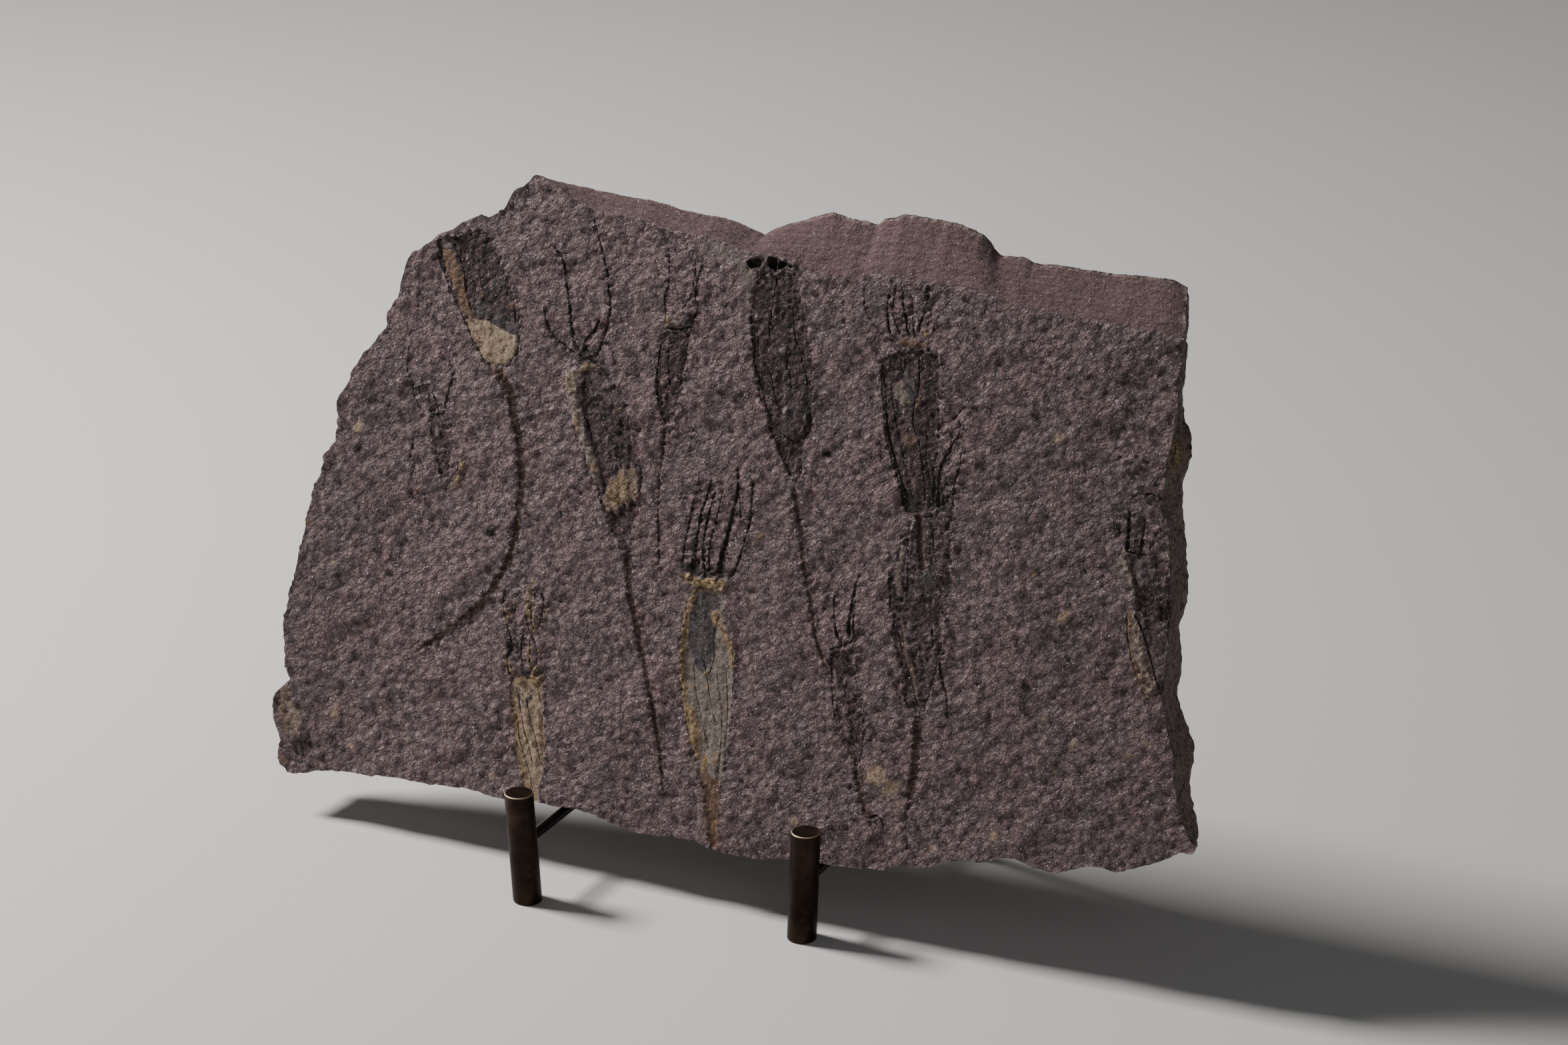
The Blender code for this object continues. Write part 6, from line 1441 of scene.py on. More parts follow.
# ---------------------------------------------------------------------------------------------
# Finishes
# ---------------------------------------------------------------------------------------------
@dataclass(frozen=True)
class SandstoneFinish:
    """Mauve micaceous sandstone with mineral stains."""

    name: str = "mauve_sandstone"
    dark_grain: Colour = (0.098, 0.062, 0.063)
    plain_grain: Colour = (0.196, 0.130, 0.133)
    pale_grain: Colour = (0.306, 0.218, 0.224)
    quartz_grain: Colour = (0.50, 0.43, 0.43)
    warm_tone: Colour = (0.214, 0.134, 0.137)
    cool_tone: Colour = (0.165, 0.126, 0.125)
    fresh_tone: Colour = (0.086, 0.048, 0.048)
    fresh_dark: Colour = (0.056, 0.030, 0.030)
    side_tone: Colour = (0.235, 0.178, 0.152)
    side_dark: Colour = (0.160, 0.120, 0.105)
    side_rust: Colour = (0.230, 0.158, 0.104)
    pale_fleck: Colour = (0.270, 0.200, 0.190)
    dark_fleck: Colour = (0.040, 0.025, 0.027)
    # Painted shade: the rock's colour is darkened towards its left end and a little towards its right end
    left_painted_shade: Pair = (-168.0, -112.0)        # where the shade of the left end fades, in mm
    right_painted_shade: Pair = (40.0, 120.0)          # and that of the right end
    stains: ClassVar[dict[Stain, tuple[Colour, Colour]]] = {
        Stain.VIOLET: ((0.036, 0.018, 0.021), (0.090, 0.050, 0.056)),
        Stain.BLEACH: ((0.185, 0.135, 0.137), (0.330, 0.250, 0.250)),
        Stain.MOSS: ((0.165, 0.132, 0.110), (0.330, 0.268, 0.232)),
        Stain.CREAM: ((0.265, 0.180, 0.120), (0.480, 0.362, 0.255)),
        Stain.SLATE: ((0.052, 0.042, 0.045), (0.122, 0.098, 0.103)),
        Stain.OCHRE: ((0.175, 0.108, 0.056), (0.465, 0.335, 0.185)),
        Stain.RUST: ((0.125, 0.070, 0.043), (0.230, 0.140, 0.090)),
        Stain.BROWN: ((0.052, 0.027, 0.020), (0.098, 0.054, 0.038)),
        Stain.SOOT_AND_SHADE: ((0.015, 0.011, 0.011), (0.058, 0.041, 0.040)),
    }

    def material(self) -> bpy.types.Material:
        """Return the sandstone's material."""
        material = bpy.data.materials.new(self.name)
        bench = ShaderBench(material)
        _, chance = bench.cells(bench.place, 1.55)
        _, fine_chance = bench.cells(bench.place, 3.1)
        _, speck_chance = bench.cells(bench.place, 4.8)
        fine = bench.noise(bench.place, 1.9, 3.0, 0.6)
        ragged = bench.noise(bench.place, 0.75, 3.0, 0.65)
        colour = self._rock(bench, bench.blend(0.5, chance, fine_chance), fine)
        colour = bench.blend(1.0, colour, bench.span(speck_chance, 0.62, 1.42), "MULTIPLY")
        shade = bench.blend(0.55, bench.span(fine, 0.45, 1.5), bench.span(chance, 0.55, 1.4))
        shift = bench.span(ragged, -0.62, 0.62)
        for stain, (dark, light) in self.stains.items():
            amount = bench.step(bench.maths("ADD", bench.attribute(stain.value), shift),
                                0.22, 0.66)
            own = bench.blend(bench.step(ragged, 0.34, 0.68), light, dark)
            own = bench.blend(1.0, own, shade, "MULTIPLY")
            colour = bench.blend(amount, colour, own)
        colour = self._flecks(bench, colour)
        height = self._height(bench)
        # Painted shade and light: the colour darkens where the bump height is low, in the hollows between
        # the lumps, and lightens on their tops
        crevice_shade = bench.add("ShaderNodeMapRange", {"Value": height, "From Min": -0.0007,
                                                "From Max": 0.0007, "To Min": 0.38,
                                                "To Max": 1.50})
        bench.finish({
            "Base Color": bench.blend(1.0, colour, crevice_shade.outputs["Result"], "MULTIPLY"),
            "Roughness": bench.span(bench.step(fine_chance, 0.90, 0.96), 0.86, 0.32),
            "Specular IOR Level": 0.40,
            "Normal": bench.bump(height, 1.15),
        })
        return material

    def _rock(self, bench: ShaderBench, pick: Socket, fine: Socket) -> Socket:
        """Return the colour of the bare rock.

        Args:
            bench: The material's tree.
            pick: A random value for each grain.
            fine: A fine noise value.

        Returns:
            The colour's socket.
        """
        place = bench.place
        colour = bench.ramp(pick, [(0.0, self.dark_grain), (0.30, self.dark_grain),
                                   (0.45, self.plain_grain), (0.64, self.plain_grain),
                                   (0.78, self.pale_grain), (0.93, self.quartz_grain)])
        blotch = bench.step(bench.noise(place, 0.055, 4.0, 0.6), 0.36, 0.64)
        colour = bench.blend(0.36, colour, bench.blend(blotch, self.cool_tone, self.warm_tone))
        drawn = bench.stretched((330.0, 620.0, 620.0), (0.0, GRAIN_SLANT, 0.0))
        shade = bench.span(bench.noise(drawn, 1.0, 5.0, 0.70), 0.58, 1.38)
        # Painted shade: the colour is darker towards the left end and a little towards the right end
        width = bench.add("ShaderNodeSeparateXYZ", {"Vector": place}).outputs["X"]
        left = bench.span(bench.step(width, *self.left_painted_shade), 0.76, 1.03)
        right = bench.span(bench.step(width, *self.right_painted_shade), 1.04, 0.93)
        shade = bench.maths("MULTIPLY", shade, bench.maths("MULTIPLY", left, right))
        colour = bench.blend(1.0, colour, shade, "MULTIPLY")
        fresh = bench.blend(bench.step(bench.noise(self._beds(bench), 1.0, 4.0, 0.65, 0.6),
                                       0.38, 0.62), self.fresh_dark, self.fresh_tone)
        fresh = bench.blend(1.0, fresh, bench.span(fine, 0.6, 1.4), "MULTIPLY")
        colour = bench.blend(bench.maths("MULTIPLY", bench.attribute("fresh"), 0.8), colour,
                             fresh)
        side = bench.blend(bench.step(bench.noise(place, 0.22, 6.0, 0.75), 0.30, 0.70),
                           self.side_dark, self.side_tone)
        rust = bench.maths("MULTIPLY", bench.step(bench.noise(place, 0.10, 4.0, 0.65), 0.48, 0.66), 0.5)
        side = bench.blend(rust, side, self.side_rust)
        side = bench.blend(1.0, side, bench.span(fine, 0.6, 1.4), "MULTIPLY")
        flank = bench.maths("MULTIPLY", bench.attribute("flank"), 0.68)
        return bench.blend(flank, colour, side)

    def _flecks(self, bench: ShaderBench, colour: Socket) -> Socket:
        """Return the colour with crumbs of iron mineral inside the moulds."""
        crumbs = bench.noise(bench.place, 0.95, 2.0, 0.5, 0.8)
        inside = bench.maths("MULTIPLY", bench.step(bench.attribute("mould"), 0.25, 0.7),
                             bench.span(bench.attribute("coat"), 1.0, 0.25))
        pale = bench.maths("MULTIPLY", bench.step(crumbs, 0.655, 0.70), inside)
        colour = bench.blend(pale, colour, self.pale_fleck)
        dark = bench.maths("MULTIPLY", bench.step(crumbs, 0.37, 0.32), inside)
        return bench.blend(dark, colour, self.dark_fleck)

    @staticmethod
    def _beds(bench: ShaderBench) -> Socket:
        """Return the place drawn out along the thin beds of the stone."""
        turn = (math.radians(-15.0), 0.0, 0.0)
        return bench.stretched((75.0, 800.0, 75.0), turn)

    def _height(self, bench: ShaderBench) -> Socket:
        """Return the height of the lumps, the grains and the beds in metres."""
        drawn = bench.stretched((720.0, 1050.0, 1050.0), (0.0, GRAIN_SLANT, 0.0))
        place = bench.warped(drawn, 0.5, 1.6)
        open_rock = bench.maths("MULTIPLY", bench.span(bench.attribute("fresh"), 1.0, 0.55),
                                bench.span(bench.attribute("coat"), 1.0, 0.22))
        open_rock = bench.maths("MULTIPLY", open_rock,
                                bench.span(bench.attribute("flank"), 1.0, 1.7))
        lumps, _ = bench.cells(place, 0.42)
        grains, _ = bench.cells(place, 1.1)
        crumbs = bench.noise(bench.place, 1.7, 3.0, 0.72)
        lumps = bench.maths("MULTIPLY", bench.maths("SUBTRACT", 0.45, lumps), 0.0014)
        grains = bench.maths("MULTIPLY", bench.maths("SUBTRACT", 0.45, grains), 0.00062)
        crumbs = bench.maths("MULTIPLY", bench.maths("SUBTRACT", crumbs, 0.5), 0.00095)
        height = bench.maths("MULTIPLY", bench.maths("ADD", lumps, grains), open_rock)
        height = bench.maths("ADD", height, crumbs)
        beds = bench.noise(self._beds(bench), 1.0, 4.0, 0.65, 0.6)
        deep = bench.maths("MULTIPLY", bench.attribute("edge"), 0.0016)
        return bench.maths("ADD", height, bench.maths("MULTIPLY", beds, deep))


@dataclass(frozen=True)
class RingFinish:
    """Dark iron-stained ribs of the stems."""

    name: str
    dark: Colour
    light: Colour

    def material(self) -> bpy.types.Material:
        """Return the ribs' material."""
        material = bpy.data.materials.new(self.name)
        bench = ShaderBench(material)
        patch = bench.step(bench.noise(bench.place, 0.5, 3.0, 0.6), 0.40, 0.66)
        colour = bench.blend(patch, self.dark, self.light)
        normal = bench.bump(bench.noise(bench.place, 2.0, 3.0), 0.00015)
        bench.finish({"Base Color": colour, "Roughness": 0.75, "Normal": normal})
        return material


RIB_FINISH = RingFinish("dark_stem_rib", (0.020, 0.011, 0.008), (0.052, 0.029, 0.021))


@dataclass(frozen=True)
class FlakeFinish:
    """Bright mica flakes and clear quartz grains."""

    name: str = "mica_flake"
    dull: Colour = (0.36, 0.29, 0.29)
    bright: Colour = (0.82, 0.76, 0.76)

    def material(self) -> bpy.types.Material:
        """Return the flakes' material."""
        material = bpy.data.materials.new(self.name)
        bench = ShaderBench(material)
        _, chance = bench.cells(bench.place, 0.9)
        colour = bench.blend(bench.step(chance, 0.35, 0.8), self.dull, self.bright)
        rough = bench.span(chance, 0.45, 0.16)
        bench.finish({"Base Color": colour, "Roughness": rough, "Specular IOR Level": 0.8})
        return material


@dataclass(frozen=True)
class BronzeFinish:
    """Drawn bronze rod with a brown patina."""

    name: str
    metal: Colour
    patina: Colour
    red: Colour
    rough: Pair
    grime: float = 0.5

    def material(self) -> bpy.types.Material:
        """Return the bronze's material."""
        material = bpy.data.materials.new(self.name)
        bench = ShaderBench(material)
        place = bench.place
        cloud = bench.noise(place, 0.11, 4.0, 0.62, 0.5)
        drawn = bench.noise(bench.stretched((2600.0, 2600.0, 70.0)), 1.0, 3.0, 0.6)
        colour = bench.blend(bench.step(cloud, 0.35, 0.68), self.metal, self.patina)
        blush = bench.step(bench.noise(place, 0.07, 3.0, 0.6), 0.50, 0.72)
        colour = bench.blend(bench.maths("MULTIPLY", blush, 0.65), colour, self.red)
        mark = bench.maths("MULTIPLY", bench.attribute("mark"), self.grime)
        colour = bench.blend(mark, colour, self.patina)
        colour = bench.blend(0.35, colour, bench.ramp(drawn, [(0.25, (0.35, 0.35, 0.35)),
                                                              (0.75, (1.0, 1.0, 1.0))]),
                             "MULTIPLY")
        bright = bench.attribute("bright")
        colour = bench.blend(bright, colour, (0.55, 0.42, 0.28))
        rough = bench.span(bench.noise(place, 0.4, 4.0, 0.65), *self.rough)
        normal = bench.bump(drawn, 0.000018)
        bench.finish({"Base Color": colour, "Metallic": 1.0, "Roughness": rough,
                      "Normal": normal})
        return material


POST_FINISH = BronzeFinish("aged_bronze", (0.040, 0.027, 0.018), (0.018, 0.013, 0.010),
                           (0.090, 0.050, 0.036), (0.40, 0.60))
ROD_FINISH = BronzeFinish("dark_rod", (0.034, 0.030, 0.028), (0.016, 0.015, 0.015),
                          (0.050, 0.031, 0.024), (0.20, 0.36))
BRAZE_FINISH = BronzeFinish("braze", (0.230, 0.120, 0.070), (0.080, 0.042, 0.028),
                            (0.260, 0.120, 0.075), (0.38, 0.62))


@dataclass(frozen=True)
class FloorFinish:
    """A plain pale studio floor."""

    name: str = "pale_floor"
    colour: Colour = (0.62, 0.61, 0.60)

    def material(self) -> bpy.types.Material:
        """Return the floor's material."""
        material = bpy.data.materials.new(self.name)
        bench = ShaderBench(material)
        haze = bench.noise(bench.place, 0.004, 2.0)
        darker = tuple(0.96 * part for part in self.colour)
        bench.finish({"Base Color": bench.blend(haze, darker, self.colour),
                      "Roughness": 0.8})
        return material


# ---------------------------------------------------------------------------------------------
# Meshes
# ---------------------------------------------------------------------------------------------
def show_piece(name: str, mesh: bpy.types.Mesh, material: bpy.types.Material,
               nodes: Sequence[str] = ()) -> bpy.types.Object:
    """Put a finished mesh in the scene as a piece of the part.

    Args:
        name: The piece's name.
        mesh: Its mesh, in place.
        material: Its material.
        nodes: The CAD nodes that it stands for.

    Returns:
        The piece.
    """
    mesh.name = name
    mesh.materials.clear()
    mesh.materials.append(material)
    piece = bpy.data.objects.new(name, mesh)
    bpy.context.scene.collection.objects.link(piece)
    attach(piece, "root")
    if nodes:
        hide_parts(*nodes)
    mesh.calc_loop_triangles()
    LOG.info("%s: %d triangles", name, len(mesh.loop_triangles))
    return piece


def mesh_of(name: str, vertices: np.ndarray, faces: Sequence[Sequence[int]],
            sharp: float) -> bpy.types.Mesh:
    """Make a smooth mesh whose edges are sharp above an angle in degrees."""
    mesh = bpy.data.meshes.new(name)
    mesh.from_pydata(vertices.tolist(), [], faces)
    mesh.validate()
    mesh.shade_smooth()
    mesh.set_sharp_from_angle(angle=math.radians(sharp))
    return mesh


def add_attribute(mesh: bpy.types.Mesh, name: str, values: np.ndarray) -> None:
    """Give a mesh a point attribute."""
    attribute = mesh.attributes.new(name, "FLOAT", "POINT")
    attribute.data.foreach_set("value", np.asarray(values, dtype=np.float32))


def grown_mesh(source: bpy.types.Object, tree: bpy.types.NodeTree,
               inputs: dict[str, object]) -> bpy.types.Mesh:
    """Run a Geometry Nodes tree on an object and keep the result as a plain mesh.

    Args:
        source: The object that the tree works on; it is removed.
        tree: The tree.
        inputs: Values for its named inputs.

    Returns:
        The mesh.
    """
    modifier = source.modifiers.new(tree.name, "NODES")
    modifier.node_group = tree
    for item in tree.interface.items_tree:
        if item.item_type == "SOCKET" and item.in_out == "INPUT" and item.name in inputs:
            modifier[item.identifier] = inputs[item.name]
    bpy.context.view_layer.update()
    graph = bpy.context.evaluated_depsgraph_get()
    mesh = bpy.data.meshes.new_from_object(source.evaluated_get(graph))
    source.modifiers.remove(modifier)
    bpy.data.objects.remove(source)
    return mesh


def geometry_tree(name: str, sizes: dict[str, float]) -> tuple[NodeBench, bpy.types.Node]:
    """Start a Geometry Nodes tree.

    Args:
        name: Its name.
        sizes: Its named float inputs with their values.

    Returns:
        The bench and the group's input node.
    """
    tree = bpy.data.node_groups.new(name, "GeometryNodeTree")
    bench = NodeBench(tree)
    tree.interface.new_socket("Geometry", in_out="INPUT", socket_type="NodeSocketGeometry")
    for size, value in sizes.items():
        socket = tree.interface.new_socket(size, in_out="INPUT", socket_type="NodeSocketFloat")
        socket.default_value = value
    tree.interface.new_socket("Material", in_out="INPUT", socket_type="NodeSocketMaterial")
    tree.interface.new_socket("Geometry", in_out="OUTPUT", socket_type="NodeSocketGeometry")
    return bench, bench.add("NodeGroupInput")


def end_tree(bench: NodeBench, source: bpy.types.Node, geometry: Socket) -> None:
    """End a Geometry Nodes tree in real geometry with its material."""
    real = bench.add("GeometryNodeRealizeInstances", {0: geometry})
    dressed = bench.add("GeometryNodeSetMaterial", {"Geometry": real.outputs[0],
                                                    "Material": source.outputs["Material"]})
    bench.add("NodeGroupOutput", {0: dressed.outputs[0]})


def rod_tree(name: str, sides: int) -> bpy.types.NodeTree:
    """Return the tree that turns lines into rod, thick as each point's radius says.

    Args:
        name: The tree's name.
        sides: How many sides the rod has.

    Returns:
        The tree.
    """
    bench, source = geometry_tree(name, {"Radius": 0.001})
    profile = bench.add("GeometryNodeCurvePrimitiveCircle",
                        {"Resolution": sides, "Radius": source.outputs["Radius"]})
    rod = bench.add("GeometryNodeCurveToMesh",
                    {"Curve": source.outputs["Geometry"],
                     "Profile Curve": profile.outputs[0], "Fill Caps": True})
    if "Scale" in rod.inputs:
        scale = bench.add("GeometryNodeInputRadius").outputs[0]
        bench.tree.links.new(scale, rod.inputs["Scale"])
    end_tree(bench, source, rod.outputs[0])
    return bench.tree


# ---------------------------------------------------------------------------------------------
# The stone
# ---------------------------------------------------------------------------------------------
@dataclass(frozen=True)
class Bedding:
    """The slab's front plane: where a point (u, v, w) of the stone lies in the scene."""

    lean: float = math.radians(15.0)
    foot_y: float = 17.1
    foot_z: float = 22.9
    post_u: float = -48.6
    post_y: float = -8.2
    post_radius: float = 5.0

    def shift(self) -> tuple[float, float]:
        """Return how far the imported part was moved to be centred, read off the left post."""
        low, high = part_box("post_left")
        shift_x = high.x / MM - self.post_radius - self.post_u
        shift_y = (low.y + high.y) / 2 / MM - self.post_y
        return shift_x, shift_y

    def place(self, stone: np.ndarray) -> np.ndarray:
        """Return points (u, v, w) in metres in the scene."""
        shift_x, shift_y = self.shift()
        u, v, w = stone.T
        x = u + shift_x
        y = self.foot_y + v * math.sin(self.lean) + w * math.cos(self.lean) + shift_y
        z = self.foot_z + v * math.cos(self.lean) - w * math.sin(self.lean)
        return np.column_stack([x, y, z]) * MM

    def outward(self) -> Vector:
        """Return the direction that the front face looks in."""
        return Vector((0.0, -math.cos(self.lean), math.sin(self.lean)))


@dataclass(frozen=True)
class Rock:
    """The relief of the bare sandstone; heights in millimetres, grain per millimetre."""

    swell: float = 0.80
    drift: float = 0.50
    lump: float = 0.50
    crease: float = 0.60
    crumb: float = 0.42

    def height(self, points: np.ndarray, seed: int = 1) -> np.ndarray:
        """Return the height of the bare rock at points (u, v)."""
        along = points[:, 0] * GRAIN_COS + points[:, 1] * GRAIN_SIN
        across = -points[:, 0] * GRAIN_SIN + points[:, 1] * GRAIN_COS
        noise = RockNoise(seed)

        def layer(scale_along: float, scale_across: float, depth: float) -> np.ndarray:
            """Return one drawn-out layer of noise."""
            places = np.column_stack([along * scale_along, across * scale_across,
                                      np.full(len(points), depth)])
            return noise.value(places)

        creases = 0.3 - np.abs(layer(0.30, 0.50, 4.0)) - 0.5 * np.abs(layer(0.48, 0.80, 9.0))
        return (self.swell * layer(0.028, 0.055, 0.0) + self.drift * layer(0.085, 0.17, 7.0)
                + self.lump * layer(0.36, 0.62, 5.0) + self.crease * creases
                + self.crumb * layer(0.80, 1.1, 2.0))


@dataclass
class Slab:
    """The stone with its moulds."""

    bedding: Bedding
    rock: Rock = Rock()
    thickness: float = 18.0
    rim_step: float = 1.3
    side_rows: int = 13
    open_step: float = 1.38
    pan_step: float = 0.72
    row_step: float = 0.52
    back_step: float = 4.5
    rim_chips: float = 0.55
    strut_rests: tuple[Pair, ...] = ((-49.96, 128.0), (48.67, 128.0))
    strut_gap: float = 0.25
    ground: Ground = field(init=False)

    def rims(self) -> tuple[np.ndarray, np.ndarray, np.ndarray]:
        """Return the front rim, the back rim and how rough the side is at each of their points."""
        fronts, backs, stray = [], [], []
        for flank, (front_line, back_line) in SIDES.items():
            front_line, back_line = points_array(front_line), points_array(back_line)
            length = np.hypot(*np.diff(front_line, axis=0).T).sum()
            count = round(length / self.rim_step)
            fronts.append(resample(front_line, count + 1)[:-1])
            backs.append(resample(back_line, count + 1)[:-1])
            stray.append(np.full(count, flank.value))
        return np.vstack(fronts), np.vstack(backs), np.concatenate(stray)

    def outward(self, rim: np.ndarray) -> np.ndarray:
        """Return the outward direction at each point of a clockwise rim."""
        along = np.roll(rim, -3, axis=0) - np.roll(rim, 3, axis=0)
        along /= np.hypot(*along.T)[:, None]
        return np.column_stack([-along[:, 1], along[:, 0]])

    def chipped(self, rim: np.ndarray, stray: np.ndarray, seed: int) -> np.ndarray:
        """Return a rim with small chips."""
        places = np.column_stack([rim * 0.30, np.full(len(rim), 1.0)])
        chips = RockNoise(seed).fractal(places, 3, 0.6)
        size = self.rim_chips * np.clip(stray, 0.5, 1.1)
        return rim + self.outward(rim) * (chips * size)[:, None]

    def front_points(self, rim: np.ndarray) -> np.ndarray:
        """Return the points of the front face inside its rim, closer together on the moulds."""
        rows = np.vstack([shape.rows(self.row_step) for shape in FOSSILS
                          if not isinstance(shape, Crust)])
        chosen = self._clear_of(rows[is_inside(rows, rim)], rim, 0.45)
        pans = self._zone(self.pan_step, rim)
        coarse = self._scatter(self.open_step, rim, 31)
        for extra, gap in ((pans, 0.62 * self.pan_step), (coarse, 0.62 * self.open_step)):
            chosen = np.vstack([chosen, self._clear_of(extra, chosen, gap)])
        return chosen

    def _scatter(self, step: float, rim: np.ndarray, seed: int) -> np.ndarray:
        """Return a jittered hexagonal grid of points inside a rim."""
        low, high = rim.min(axis=0), rim.max(axis=0)
        row_step = step * math.sqrt(3.0) / 2.0
        rows, columns = np.meshgrid(np.arange(int((high[1] - low[1]) / row_step) + 1),
                                    np.arange(int((high[0] - low[0]) / step) + 2),
                                    indexing="ij")
        points = np.column_stack([(low[0] + (columns + 0.5 * (rows % 2)) * step).ravel(),
                                  (low[1] + rows * row_step).ravel()])
        jitter = np.random.default_rng(seed).uniform(-0.24, 0.24, points.shape) * step
        points = points + jitter
        points = points[is_inside(points, rim)]
        return self._clear_of(points, rim, 0.6 * min(step, self.rim_step))

    def _zone(self, step: float, rim: np.ndarray) -> np.ndarray:
        """Return a grid of points on the pans and the crusts."""
        points = self._scatter(step, rim, 37)
        wanted = np.zeros(len(points), dtype=bool)
        ground = Ground(points)
        for shape in FOSSILS:
            if not isinstance(shape, Groove):
                near = ground.near(points_array(shape.outline), 3.0)
                wanted[near] |= shape.fine_zone(points[near])
        return points[wanted]

    @staticmethod
    def _clear_of(points: np.ndarray, taken: np.ndarray, gap: float,
                  own_gap: float = 0.20) -> np.ndarray:
        """Return the points that keep clear of the taken ones and of each other.

        Args:
            points: The points to choose from.
            taken: Points that are already there.
            gap: The least distance to a taken point.
            own_gap: The least distance between two of the points.

        Returns:
            The chosen points.
        """
        tree = KDTree(len(taken))
        for i, (u, v) in enumerate(taken):
            tree.insert((u, v, 0.0), i)
        tree.balance()
        occupied: dict[tuple[int, int], list[Pair]] = {}
        keep = []
        for i, (u, v) in enumerate(points.tolist()):
            if tree.find((u, v, 0.0))[2] < gap:
                continue
            a, b = int(u // own_gap), int(v // own_gap)
            close = any((u - p) ** 2 + (v - q) ** 2 < own_gap ** 2
                        for da in (-1, 0, 1) for db in (-1, 0, 1)
                        for p, q in occupied.get((a + da, b + db), ()))
            if not close:
                keep.append(i)
                occupied.setdefault((a, b), []).append((u, v))
        return points[keep]

    def relief(self, points: np.ndarray) -> np.ndarray:
        """Return the height of the front face, and keep its stains in the ground."""
        ground = Ground(points)
        for shape in FOSSILS + STAINED_ROCK:
            shape.press(ground)
        self.ground = ground
        inside = smooth_ramp(ground.pan / 0.3)
        folds = self._folds(inside)
        calm = (1.0 - 0.5 * inside - 0.3 * smooth_ramp(ground.cut / 0.5)) * (1.0 - 0.5 * self.coat())
        return self.rock.height(points) * calm + folds - ground.pan - ground.cut + ground.crust

    def coat(self) -> np.ndarray:
        """Return how far a smooth mineral coat covers each point of the front."""
        stains = self.ground.stains
        covers = {Stain.CREAM: 1.0, Stain.MOSS: 1.0, Stain.SLATE: 0.8, Stain.RUST: 0.8,
                  Stain.BROWN: 0.8}
        return np.max([share * stains[stain] for stain, share in covers.items()], axis=0)

    def _folds(self, inside: np.ndarray) -> np.ndarray:
        """Wrinkle and stain the floors of the moulds along the bodies, and paint shade into the wrinkles'
        creases.

        Args:
            inside: How far inside a mould each point is, from 0 to 1.

        Returns:
            The height of the wrinkles.
        """
        u, v = self.ground.points.T
        bare = np.minimum(1.0, 1.25 * self.coat())
        noise = RockNoise(29)
        places = np.column_stack([u * 0.30 + v * 0.035, v * 0.050, np.zeros(len(u))])
        wrinkle = noise.value(places)
        crease = np.exp(-(wrinkle / 0.10) ** 2)
        patches = noise.fractal(places * [0.7, 1.6, 1.0] + 31.0, 3)
        flecks = noise.fractal(places * [1.3, 3.0, 1.0] + 57.0, 3)
        everywhere = np.arange(len(u))
        # The black tint in the creases of the wrinkles is painted shade
        tints = {Stain.VIOLET: 0.42 + 0.70 * patches, Stain.SOOT_AND_SHADE: 0.42 * crease,
                 Stain.BLEACH: 1.3 * (flecks - 0.40), Stain.SLATE: 1.3 * (-flecks - 0.42)}
        for stain, amount in tints.items():
            self.ground.tint(stain, everywhere, amount * inside * (1.0 - bare))
        return inside * (0.30 * wrinkle - 0.28 * crease * (1.0 - 0.6 * bare))

    def back_depth(self, points: np.ndarray) -> np.ndarray:
        """Return the depth of the rough back, level where the struts lean on it."""
        swell = 0.9 * self.rock.height(points, 20)
        rest = np.zeros(len(points))
        for u, v in self.strut_rests:
            near = np.exp(-(((points[:, 0] - u) ** 2 + (points[:, 1] - v) ** 2) / 49.0))
            rest = np.maximum(rest, near)
        contact = 1.3 - self.strut_gap
        return self.thickness + swell * (1.0 - rest) + contact * rest

    @staticmethod
    def triangles(rim: np.ndarray, points: np.ndarray) -> tuple[np.ndarray, list[list[int]]]:
        """Triangulate points inside a rim.

        Args:
            rim: The closed rim, (n, 2).
            points: The points inside it.

        Returns:
            All the points, the rim's first and in order, and the triangles.
        """
        count = len(rim)
        together = np.vstack([rim, points])
        edges = [(i, (i + 1) % count) for i in range(count)]
        made = delaunay_2d_cdt([Vector(p) for p in together], edges, [], 0, 1e-4)
        vertices, _, faces, origins = made[:4]
        old_place = {group[0]: i for i, group in enumerate(origins) if group}
        order = [old_place[i] for i in range(len(together)) if i in old_place]
        rank = {old: new for new, old in enumerate(order)}
        plane = np.array([vertices[i] for i in order])
        faces = np.array([[rank[i] for i in face] for face in faces])
        inside = is_inside(plane[faces].mean(axis=1), rim)
        faces = faces[inside]
        a, b, c = (plane[faces[:, k]] for k in range(3))
        twice = (b[:, 0] - a[:, 0]) * (c[:, 1] - a[:, 1]) - (b[:, 1] - a[:, 1]) * (c[:, 0] - a[:, 0])
        faces[twice < 0] = faces[twice < 0][:, ::-1]
        return plane, faces.tolist()

